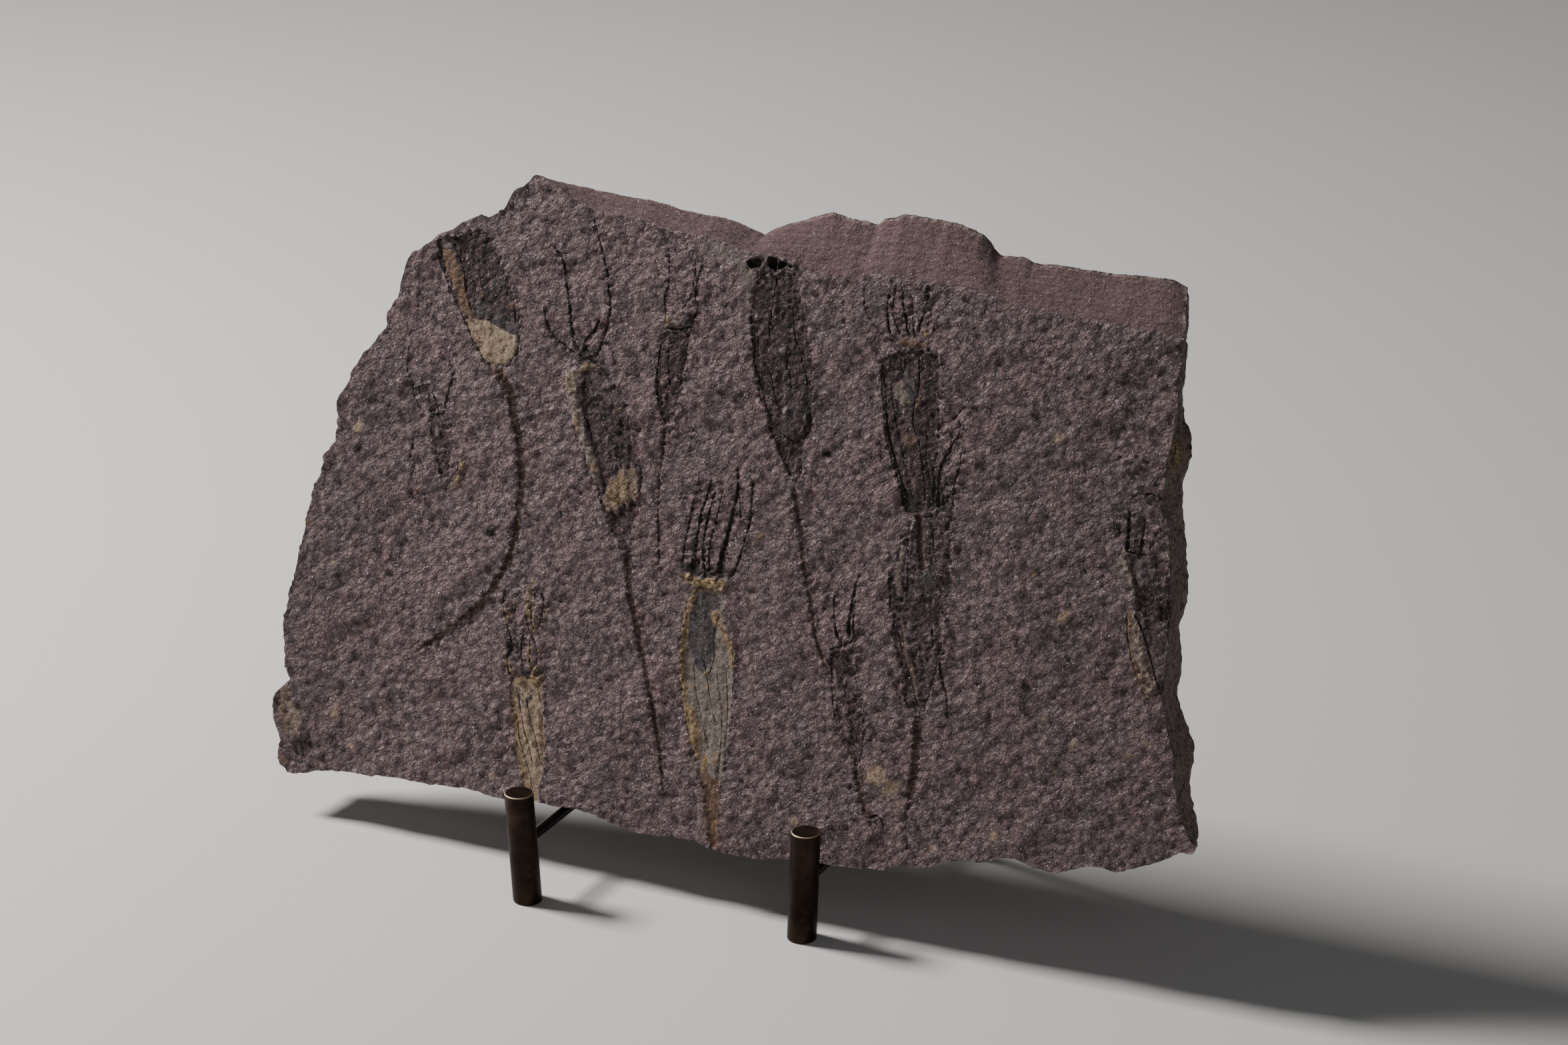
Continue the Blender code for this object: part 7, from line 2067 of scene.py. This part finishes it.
    def side_grid(self, front: np.ndarray, back: np.ndarray,
                  stray: np.ndarray) -> np.ndarray:
        """Return the rows of side points between the rims.

        Args:
            front: The front rim's points (u, v, w).
            back: The back rim's points.
            stray: How far each station's side strays.

        Returns:
            The rows, (side_rows, n, 3).
        """
        outward = self.outward(front[:, :2])
        kernel = np.ones(9) / 9.0
        padded = np.concatenate([stray[-4:], stray, stray[:4]])
        stray = np.convolve(padded, kernel, mode="valid")
        rows = []
        noise = RockNoise(8)
        for k in range(1, self.side_rows + 1):
            share = k / (self.side_rows + 1)
            row = front * (1.0 - share) + back * share
            drawn = row * np.array([0.09, 0.09, 0.16])
            chips = noise.fractal(drawn, 4, 0.55)
            beds = noise.value(row * np.array([0.05, 0.05, 0.62]) + 40.0)
            window = math.sin(math.pi * share) ** 0.6
            bulge = (stray * chips + 0.22 * beds + 0.12 * noise.value(row * 0.8)) * window
            row = row.copy()
            row[:, :2] += outward * bulge[:, None]
            rows.append(row)
        return np.array(rows)

    def hollow(self, rows: np.ndarray) -> np.ndarray:
        """Return the rows with the small cavity sunk in the right side."""
        middle = np.array([157.0, 158.0, 9.0])
        reach = (rows - middle) / np.array([8.0, 6.5, 5.0])
        rows = rows.copy()
        rows[..., 0] -= 2.2 * np.exp(-(reach ** 2).sum(axis=-1))
        return rows

    def build(self) -> bpy.types.Mesh:
        """Model the stone as one closed mesh with its attributes."""
        front_rim, back_rim, stray = self.rims()
        front_rim = self.chipped(front_rim, stray, 13)
        back_rim = self.chipped(back_rim, stray, 14)
        plane, front_faces = self.triangles(front_rim, self.front_points(front_rim))
        height = self.relief(plane)
        front = np.column_stack([plane, -height])
        back_points = self._scatter(self.back_step, back_rim, 41)
        back_plane, back_faces = self.triangles(back_rim, back_points)
        back = np.column_stack([back_plane, self.back_depth(back_plane)])
        count = len(front_rim)
        rows = self.hollow(self.side_grid(front[:count], back[:count], stray))

        stone = np.vstack([front, rows.reshape(-1, 3), back])
        first_side, first_back = len(front), len(front) + rows.shape[0] * count
        rings = [np.arange(count)]
        rings += [first_side + k * count + np.arange(count) for k in range(rows.shape[0])]
        rings.append(first_back + np.arange(count))
        faces = list(front_faces)
        faces += [[first_back + i for i in face[::-1]] for face in back_faces]
        for ring, following in zip(rings, rings[1:]):
            for i in range(count):
                k = (i + 1) % count
                faces.append([int(ring[i]), int(ring[k]), int(following[k])])
                faces.append([int(ring[i]), int(following[k]), int(following[i])])
        mesh = mesh_of("stone_slab", self.bedding.place(stone), faces, 62.0)
        self._paint(mesh, stone, len(front), count, rows.shape[0], stray)
        return mesh

    def _paint(self, mesh: bpy.types.Mesh, stone: np.ndarray, front_count: int, count: int,
               row_count: int, stray: np.ndarray) -> None:
        """Give the mesh its stain and side attributes."""
        total = len(stone)
        side = slice(front_count, front_count + count * row_count)
        for stain, values in self.ground.stains.items():
            full = np.zeros(total)
            full[:front_count] = values
            for k in range(row_count):
                start = front_count + k * count
                fade = max(0.0, 1.0 - (k + 1) / 4.0)
                full[start:start + count] = values[:count] * fade
            if stain is Stain.OCHRE:
                full[side] = np.maximum(full[side], self._cavity(stone[side]))
            # The ochre is a stain; the black tint, strongest in the cavity's middle, is painted shade in
            # the hollow
            if stain is Stain.SOOT_AND_SHADE:
                full[side] = np.maximum(full[side], 0.8 * self._cavity(stone[side]) ** 2)
            add_attribute(mesh, stain.value, full)
        is_top = np.tile(stray == Flank.TOP.value, row_count)
        fresh, flank = np.zeros(total), np.zeros(total)
        fresh[side] = is_top
        flank[side] = ~is_top
        flank[side.stop:] = 1.0
        edge = np.zeros(total)
        edge[side] = 1.0
        add_attribute(mesh, "fresh", fresh)
        add_attribute(mesh, "flank", flank)
        add_attribute(mesh, "edge", edge)
        mould = np.zeros(total)
        mould[:front_count] = np.clip(self.ground.pan / 0.3, 0.0, 1.0)
        add_attribute(mesh, "mould", mould)
        coat = np.zeros(total)
        coat[:front_count] = self.coat()
        add_attribute(mesh, "coat", coat)

    @staticmethod
    def _cavity(points: np.ndarray) -> np.ndarray:
        """Return how strongly the right side's cavity tints its surroundings, strongest in its middle."""
        reach = (points - np.array([156.0, 157.0, 9.0])) / np.array([9.0, 7.0, 6.0])
        return 0.85 * np.exp(-(reach ** 2).sum(axis=1))

    def show(self) -> bpy.types.Object:
        """Build the stone and show it in place of its CAD node."""
        mesh = self.build()
        return show_piece("stone_slab", mesh, SandstoneFinish().material(),
                          ["slab"])


@dataclass
class StemRings:
    """The ribs that a stem's discs left in its groove."""

    slab: Slab
    pitch: float = 0.66
    rib: float = 0.036
    arc: float = math.radians(46.0)
    spread: float = 1.80

    def curve(self) -> bpy.types.Object:
        """Return the stems' centre lines as one curve object that knows their radius."""
        data = bpy.data.curves.new("stem_lines", "CURVE")
        data.dimensions = "3D"
        stems = [s for s in FOSSILS if isinstance(s, Groove) and s.stain is Stain.BROWN
                 and s.width[0] > 1.7]
        for groove in stems:
            line = groove.centre(1.0)
            share = np.linspace(0.0, 1.0, len(line))
            radius = 0.5 * np.interp(share, [0, 1], groove.width) * self.spread
            floor = -self._floor(line)
            centres = self.slab.bedding.place(np.column_stack([line, floor - radius]))
            spline = data.splines.new("POLY")
            spline.points.add(len(line) - 1)
            spline.points.foreach_set("co", np.column_stack([centres, np.ones(len(line))]).ravel())
            spline.points.foreach_set("radius", radius * MM)
        holder = bpy.data.objects.new("stem_lines", data)
        bpy.context.scene.collection.objects.link(holder)
        return holder

    def _floor(self, line: np.ndarray) -> np.ndarray:
        """Return the height of the grooves' floors, smoothed along the line."""
        front_ground = self.slab.ground          # relief() replaces it with that of the line
        height = self.slab.relief(line)
        self.slab.ground = front_ground
        kernel = np.ones(5) / 5.0
        padded = np.concatenate([height[:1].repeat(2), height, height[-1:].repeat(2)])
        return np.convolve(padded, kernel, mode="valid")

    def tree(self) -> bpy.types.NodeTree:
        """Return the tree that lays one rib on each step of the stems."""
        bench, source = geometry_tree("stem_rings", {"Pitch": 0.00066, "Rib": 0.12,
                                                     "Arc": 2.6})
        steps = bench.add("GeometryNodeResampleCurve",
                          {"Curve": source.outputs["Geometry"],
                           "Length": source.outputs["Pitch"]}, mode="LENGTH")
        tangent = bench.add("GeometryNodeInputTangent").outputs[0]
        turn = bench.add("FunctionNodeAxesToRotation",
                         {"Primary Axis": tangent,
                          "Secondary Axis": tuple(-self.slab.bedding.outward())},
                         primary_axis="Z", secondary_axis="X")
        half = bench.add("ShaderNodeMath", {0: source.outputs["Arc"], 1: -0.5},
                         operation="MULTIPLY").outputs[0]
        arc = bench.add("GeometryNodeCurveArc",
                        {"Resolution": 8, "Radius": 1.0, "Start Angle": half,
                         "Sweep Angle": source.outputs["Arc"]}, mode="RADIUS")
        profile = bench.add("GeometryNodeCurvePrimitiveCircle",
                            {"Resolution": 3, "Radius": source.outputs["Rib"]})
        rib = bench.add("GeometryNodeCurveToMesh",
                        {"Curve": arc.outputs[0], "Profile Curve": profile.outputs[0],
                         "Fill Caps": True})
        uneven = bench.add("FunctionNodeRandomValue", {2: 0.93, 3: 1.05, "Seed": 4},
                           data_type="FLOAT").outputs[1]
        radius = bench.add("GeometryNodeInputRadius").outputs[0]
        size = bench.add("ShaderNodeMath", {0: radius, 1: uneven},
                         operation="MULTIPLY").outputs[0]
        ribs = bench.add("GeometryNodeInstanceOnPoints",
                         {"Points": steps.outputs[0], "Instance": rib.outputs[0],
                          "Rotation": turn.outputs[0], "Scale": size})
        end_tree(bench, source, ribs.outputs[0])
        return bench.tree

    def show(self) -> bpy.types.Object:
        """Lay the ribs and show them."""
        material = RIB_FINISH.material()
        mesh = grown_mesh(self.curve(), self.tree(),
                          {"Pitch": self.pitch * MM, "Rib": self.rib, "Arc": self.arc,
                           "Material": material})
        return show_piece("stem_rings", mesh, material)


@dataclass
class MicaFlakes:
    """The bright flakes that stand out of the sandstone."""

    slab: bpy.types.Object
    density: float = 70000.0
    smallest: float = 0.10
    largest: float = 0.27
    seed: ClassVar[int] = 12

    def tree(self) -> bpy.types.NodeTree:
        """Return the tree that scatters the flakes."""
        bench, source = geometry_tree("mica_flakes", {"Density": 100000.0, "Smallest": 0.0001,
                                                      "Largest": 0.0003})
        shown = bench.add("GeometryNodeInputNamedAttribute", {"Name": "bare"},
                          data_type="FLOAT").outputs[0]
        density = bench.add("ShaderNodeMath", {0: shown, 1: source.outputs["Density"]},
                            operation="MULTIPLY").outputs[0]
        scatter = bench.add("GeometryNodeDistributePointsOnFaces",
                            {"Mesh": source.outputs["Geometry"], "Density": density,
                             "Seed": self.seed}, distribute_method="RANDOM")
        tilt = bench.add("FunctionNodeRandomValue",
                         {0: (-0.75, -0.75, 0.0), 1: (0.75, 0.75, math.tau), "Seed": 3},
                         data_type="FLOAT_VECTOR").outputs[0]
        turned = bench.add("FunctionNodeRotateRotation",
                           {0: scatter.outputs["Rotation"], 1: tilt}, rotation_space="LOCAL")
        flake = bench.add("GeometryNodeMeshCone",
                          {"Vertices": 5, "Radius Top": 0.0, "Radius Bottom": 1.0,
                           "Depth": 0.55}, fill_type="TRIANGLE_FAN")
        size = bench.add("FunctionNodeRandomValue",
                         {2: source.outputs["Smallest"], 3: source.outputs["Largest"],
                          "Seed": 5}, data_type="FLOAT").outputs[1]
        flakes = bench.add("GeometryNodeInstanceOnPoints",
                           {"Points": scatter.outputs["Points"], "Instance": flake.outputs[0],
                            "Rotation": turned.outputs[0], "Scale": size})
        end_tree(bench, source, flakes.outputs[0])
        return bench.tree

    def ground(self) -> bpy.types.Object:
        """Return a copy of the stone that says where flakes may lie."""
        mesh = self.slab.data.copy()
        count = len(mesh.vertices)
        covered = np.zeros(count)
        for stain in (Stain.CREAM, Stain.OCHRE, Stain.SOOT_AND_SHADE, Stain.BROWN):
            values = np.zeros(count, dtype=np.float32)
            mesh.attributes[stain.value].data.foreach_get("value", values)
            covered = np.maximum(covered, values)
        add_attribute(mesh, "bare", np.clip(1.0 - 0.9 * covered, 0.0, 1.0))
        holder = bpy.data.objects.new("flake_ground", mesh)
        bpy.context.scene.collection.objects.link(holder)
        return holder

    def show(self) -> bpy.types.Object:
        """Scatter the flakes and show them."""
        material = FlakeFinish().material()
        mesh = grown_mesh(self.ground(), self.tree(),
                          {"Density": self.density, "Smallest": self.smallest * MM,
                           "Largest": self.largest * MM, "Material": material})
        return show_piece("mica_flakes", mesh, material)


# ---------------------------------------------------------------------------------------------
# The stand
# ---------------------------------------------------------------------------------------------
@dataclass(frozen=True)
class Post:
    """A post sawn from round bar, with a small rounded edge at each end."""

    name: str
    node: str
    lean: float
    marked: bool = False
    edge: float = 0.45
    segments: int = 72
    shaft_rows: int = 44

    def profile(self, radius: float, height: float) -> list[Pair]:
        """Return the post's outline as (radius, height), from the middle of the foot."""
        points = [(0.0, 0.0), (radius * 0.5, 0.0), (radius - self.edge, 0.0)]
        for k in range(1, 5):
            angle = math.pi / 2 * k / 4
            points.append((radius - self.edge * (1 - math.sin(angle)),
                           self.edge * (1 - math.cos(angle))))
        span = height - 2 * self.edge
        for k in range(1, self.shaft_rows):
            points.append((radius, self.edge + span * k / self.shaft_rows))
        for k in range(5):
            angle = math.pi / 2 * k / 4
            points.append((radius - self.edge * (1 - math.cos(angle)),
                           height - self.edge * (1 - math.sin(angle))))
        points += [(radius * share, height - 0.03) for share in (0.8, 0.6, 0.4, 0.2)]
        return points + [(0.0, height - 0.03)]

    def build(self) -> bpy.types.Mesh:
        """Turn the post, standing where its CAD node stands."""
        low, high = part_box(self.node)
        height = (high.z - low.z) / MM
        slope = math.tan(math.radians(self.lean))
        radius = (high.y - low.y) / 2 / MM
        foot_x = (high.x / MM - radius) if slope <= 0 else (low.x / MM + radius)
        foot_y = (low.y + high.y) / 2 / MM
        profile = self.profile(radius, height)
        angles = math.tau * np.arange(self.segments) / self.segments
        vertices, marks, brights = [], [], []
        for r, z in profile:
            wear = 1.0 + 0.0025 * np.sin(angles * 2 + z * 0.11) if r > radius * 0.9 else 1.0
            x = foot_x + slope * z + r * wear * np.cos(angles)
            y = foot_y + r * wear * np.sin(angles)
            single = r == 0.0
            count = 1 if single else self.segments
            vertices.append(np.column_stack([x, y, np.full(len(angles), z)])[:count])
            on_edge = z > height - self.edge * 0.98 and radius - self.edge < r < radius
            brights.append(np.full(count, 0.8 if on_edge else 0.0))
            marks.append(self._mark(angles, z)[:count])
        mesh = mesh_of(self.name, np.vstack(vertices) * MM, self._faces(profile), 50.0)
        add_attribute(mesh, "mark", np.concatenate(marks))
        add_attribute(mesh, "bright", np.concatenate(brights))
        return mesh

    def _mark(self, angles: np.ndarray, z: float) -> np.ndarray:
        """Return the dark U-shaped patch on the upper half of a marked post."""
        if not self.marked:
            return np.zeros(len(angles))
        facing = math.radians(-70.0)
        offset = np.abs((angles - facing + math.pi) % math.tau - math.pi) / 0.95
        bottom = 14.5 + 9.0 * offset ** 3
        inside = 1.0 / (1.0 + np.exp(-(z - bottom) / 0.35))
        rim = np.exp(-((z - bottom) / 0.6) ** 2)
        return np.clip(0.75 * inside + 0.6 * rim, 0.0, 1.0) * (offset < 2.0)

    def _faces(self, profile: Sequence[Pair]) -> list[list[int]]:
        """Return the faces between the profile's rings."""
        starts, total = [], 0
        for r, _ in profile:
            starts.append(total)
            total += 1 if r == 0.0 else self.segments
        faces = []
        for k in range(len(profile) - 1):
            a, b = starts[k], starts[k + 1]
            for i in range(self.segments):
                j = (i + 1) % self.segments
                if profile[k][0] == 0.0:
                    faces.append([a, b + j, b + i])
                elif profile[k + 1][0] == 0.0:
                    faces.append([a + i, a + j, b])
                else:
                    faces.append([a + i, a + j, b + j, b + i])
        return faces


@dataclass
class Stand:
    """Four posts and the round rod that joins them."""

    rod_radius: float = 1.8
    rod_segments: ClassVar[int] = 32
    posts: ClassVar[tuple[Post, ...]] = (
        Post("front_post_left", "post_left", -3.7),
        Post("front_post_right", "post_right", 2.1, marked=True),
        Post("back_post_left", "rear_post_left", 0.0),
        Post("back_post_right", "rear_post_right", 0.0),
    )

    def rod(self, name: str, node: str, start: Vector, end: Vector, tree: bpy.types.NodeTree,
            material: bpy.types.Material, domed: bool = False) -> bpy.types.Object:
        """Show a length of round rod.

        Args:
            name: The piece's name.
            node: The CAD node that it stands for.
            start: Its first end in metres.
            end: Its last end.
            tree: The rod tree.
            material: Its material.
            domed: Whether the last end is round.

        Returns:
            The piece.
        """
        length = (end - start).length / MM
        stations = [(k / 12 * (length - self.rod_radius), 1.0) for k in range(13)]
        if domed:
            for k in range(1, 7):
                angle = math.pi / 2 * k / 6.2
                stations.append((length - self.rod_radius * (1 - math.sin(angle)),
                                 math.cos(angle)))
        else:
            stations.append((length, 1.0))
        data = bpy.data.curves.new(name, "CURVE")
        data.dimensions = "3D"
        spline = data.splines.new("POLY")
        spline.points.add(len(stations) - 1)
        direction = (end - start).normalized()
        for point, (along, size) in zip(spline.points, stations):
            point.co = (*(start + direction * along * MM), 1.0)
            point.radius = size
        holder = bpy.data.objects.new(name + "_line", data)
        bpy.context.scene.collection.objects.link(holder)
        mesh = grown_mesh(holder, tree, {"Radius": self.rod_radius * MM, "Material": material})
        mesh.shade_smooth()
        mesh.set_sharp_from_angle(angle=math.radians(50.0))
        return show_piece(name, mesh, material, [node])

    def braze(self, name: str, centre: Vector, direction: Vector,
              material: bpy.types.Material) -> bpy.types.Object:
        """Show the fillet of braze round a rod where it meets a post.

        Args:
            name: The piece's name.
            centre: Where the rod's axis meets the post's side.
            direction: The way that the rod leads away.
            material: Its material.

        Returns:
            The piece.
        """
        across = direction.orthogonal().normalized()
        third = direction.cross(across)
        noise = RockNoise(21)
        segments, rows = 40, 9
        vertices = []
        for k in range(rows):
            share = k / (rows - 1)
            flare = 1.25 * (1.0 - share) ** 2.2
            angles = math.tau * np.arange(segments) / segments
            uneven = noise.value(np.column_stack([np.cos(angles) * 1.5, np.sin(angles) * 1.5,
                                                  np.full(segments, share + centre.x * 90)]))
            radius = self.rod_radius * 0.97 + flare + 0.18 * uneven * (1.0 - share)
            ring = [centre + (across * math.cos(a) + third * math.sin(a)) * r * MM
                    + direction * (2.2 * share - 0.75) * MM for a, r in zip(angles, radius)]
            vertices += [tuple(p) for p in ring]
        faces = []
        for k in range(rows - 1):
            for i in range(segments):
                j = (i + 1) % segments
                faces.append([k * segments + i, k * segments + j,
                              (k + 1) * segments + j, (k + 1) * segments + i])
        faces.append(list(range(segments))[::-1])
        faces.append([(rows - 1) * segments + i for i in range(segments)])
        mesh = mesh_of(name, np.array(vertices), faces, 60.0)
        return show_piece(name, mesh, material)

    def show(self) -> None:
        """Build and show the whole stand."""
        bronze, dark = POST_FINISH.material(), ROD_FINISH.material()
        braze = BRAZE_FINISH.material()
        for post in self.posts:
            show_piece(post.name, post.build(), bronze, [post.node])
        tree = rod_tree("round_rod", self.rod_segments)
        for side in ("left", "right"):
            self._side(side, tree, dark, braze)
        low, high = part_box("cross_bar")
        y, z = (low.y + high.y) / 2, (low.z + high.z) / 2
        reach = 0.0004
        self.rod("cross_rod", "cross_bar", Vector((low.x - reach, y, z)),
                 Vector((high.x + reach, y, z)), tree, dark)
        self.braze("cross_braze_left", Vector((low.x - 0.0003, y, z)), Vector((1, 0, 0)), braze)
        self.braze("cross_braze_right", Vector((high.x + 0.0003, y, z)), Vector((-1, 0, 0)),
                   braze)

    def _side(self, side: str, tree: bpy.types.NodeTree, dark: bpy.types.Material,
              braze: bpy.types.Material) -> None:
        """Build and show the arm and the strut of one side."""
        low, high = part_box(f"arm_{side}")
        x, z = (low.x + high.x) / 2, (low.z + high.z) / 2
        reach = 0.0004
        front, back = Vector((x, low.y - reach, z)), Vector((x, high.y + reach, z))
        self.rod(f"arm_rod_{side}", f"arm_{side}", front, back, tree, dark)
        self.braze(f"front_braze_{side}", Vector((x, low.y - 0.0003, z)), Vector((0, 1, 0)),
                   braze)
        self.braze(f"back_braze_{side}", Vector((x, high.y + 0.0003, z)), Vector((0, -1, 0)),
                   braze)
        post_low, post_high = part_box(f"rear_post_{side}")
        start = Vector((x, (post_low.y + post_high.y) / 2, post_high.z - 0.0003))
        tilt = self.strut_end(side)
        self.rod(f"strut_rod_{side}", f"strut_{side}", start, tilt, tree, dark, domed=True)
        self.braze(f"strut_braze_{side}", start + Vector((0, 0, 0.0003)),
                   (tilt - start).normalized(), braze)

    @staticmethod
    def strut_end(side: str) -> Vector:
        """Return the centre of the end of a strut, from the box of its CAD node."""
        low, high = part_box(f"strut_{side}")
        x = (low.x + high.x) / 2
        post_low, post_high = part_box(f"rear_post_{side}")
        start = Vector((x, (post_low.y + post_high.y) / 2, post_high.z))
        points = [v.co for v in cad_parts[f"strut_{side}"].data.vertices]
        return max(points, key=lambda p: (p - start).length).copy()


# ---------------------------------------------------------------------------------------------
# Floor, light and camera
# ---------------------------------------------------------------------------------------------
@dataclass(frozen=True)
class Lamp:
    """A soft rectangular light that looks at a point over the plate's foot."""

    name: str
    azimuth: float
    elevation: float
    distance: float
    size: float
    power: float
    tint: Colour = (1.0, 1.0, 1.0)

    def show(self) -> None:
        """Hang the light."""
        data = bpy.data.lights.new(self.name, "AREA")
        data.shape = "SQUARE"
        data.size = self.size
        data.energy = self.power
        data.color = self.tint
        turn, rise = math.radians(self.azimuth), math.radians(self.elevation)
        away = Vector((math.sin(turn) * math.cos(rise), -math.cos(turn) * math.cos(rise),
                       math.sin(rise)))
        lamp = bpy.data.objects.new(self.name, data)
        lamp.location = away * self.distance + Vector((0.0, 0.0, 0.1))
        lamp.rotation_euler = away.to_track_quat("Z", "Y").to_euler()
        bpy.context.scene.collection.objects.link(lamp)


@dataclass(frozen=True)
class Studio:
    """The floor, the lights and the camera."""

    floor_half: float = 4.0
    azimuth: float = 26.5
    elevation: float = 22.0
    camera_at: tuple[float, float, float] = (0.65995, -1.2929, 0.718)
    focal: float = 7000.0
    picture_width: float = 2352.0
    sensor: float = 36.0
    sky: float = 0.09
    lamps: ClassVar[tuple[Lamp, ...]] = (
        Lamp("key", -85.0, 43.0, 1.5, 0.35, 40.0, (1.0, 0.98, 0.96)),
        Lamp("fill", 40.0, 30.0, 2.4, 1.6, 3.5, (0.96, 0.98, 1.0)),
    )

    def show(self) -> None:
        """Build the floor, light it and set the camera."""
        half = self.floor_half
        corners = np.array([(-half, -half, 0), (half, -half, 0), (half, half, 0),
                            (-half, half, 0)], dtype=float)
        mesh = mesh_of("floor", corners, [[0, 1, 2, 3]], 30.0)
        mesh.materials.append(FloorFinish().material())
        floor = bpy.data.objects.new("floor", mesh)
        bpy.context.scene.collection.objects.link(floor)
        for lamp in self.lamps:
            lamp.show()
        world = bpy.data.worlds.new("studio")
        world.use_nodes = True
        world.node_tree.nodes["Background"].inputs["Color"].default_value = (1, 1, 1, 1)
        world.node_tree.nodes["Background"].inputs["Strength"].default_value = self.sky
        bpy.context.scene.world = world
        self._camera()

    def _camera(self) -> None:
        """Set the camera."""
        data = bpy.data.cameras.new("camera")
        data.sensor_width = self.sensor
        data.lens = self.focal / self.picture_width * self.sensor
        data.clip_start = 0.05
        data.clip_end = 30.0
        camera = bpy.data.objects.new("camera", data)
        camera.location = self.camera_at
        turn, rise = math.radians(self.azimuth), math.radians(self.elevation)
        camera.rotation_euler = Euler((math.pi / 2 - rise, 0.0, turn))
        bpy.context.scene.collection.objects.link(camera)
        bpy.context.scene.camera = camera


def main() -> None:
    """Build every piece in order."""
    logging.basicConfig(level=logging.INFO, format="%(name)s: %(message)s")
    Studio().show()
    bedding = Bedding()
    slab = Slab(bedding)
    stone = slab.show()
    StemRings(slab).show()
    MicaFlakes(stone).show()
    Stand().show()


if __name__ == "__main__":
    main()
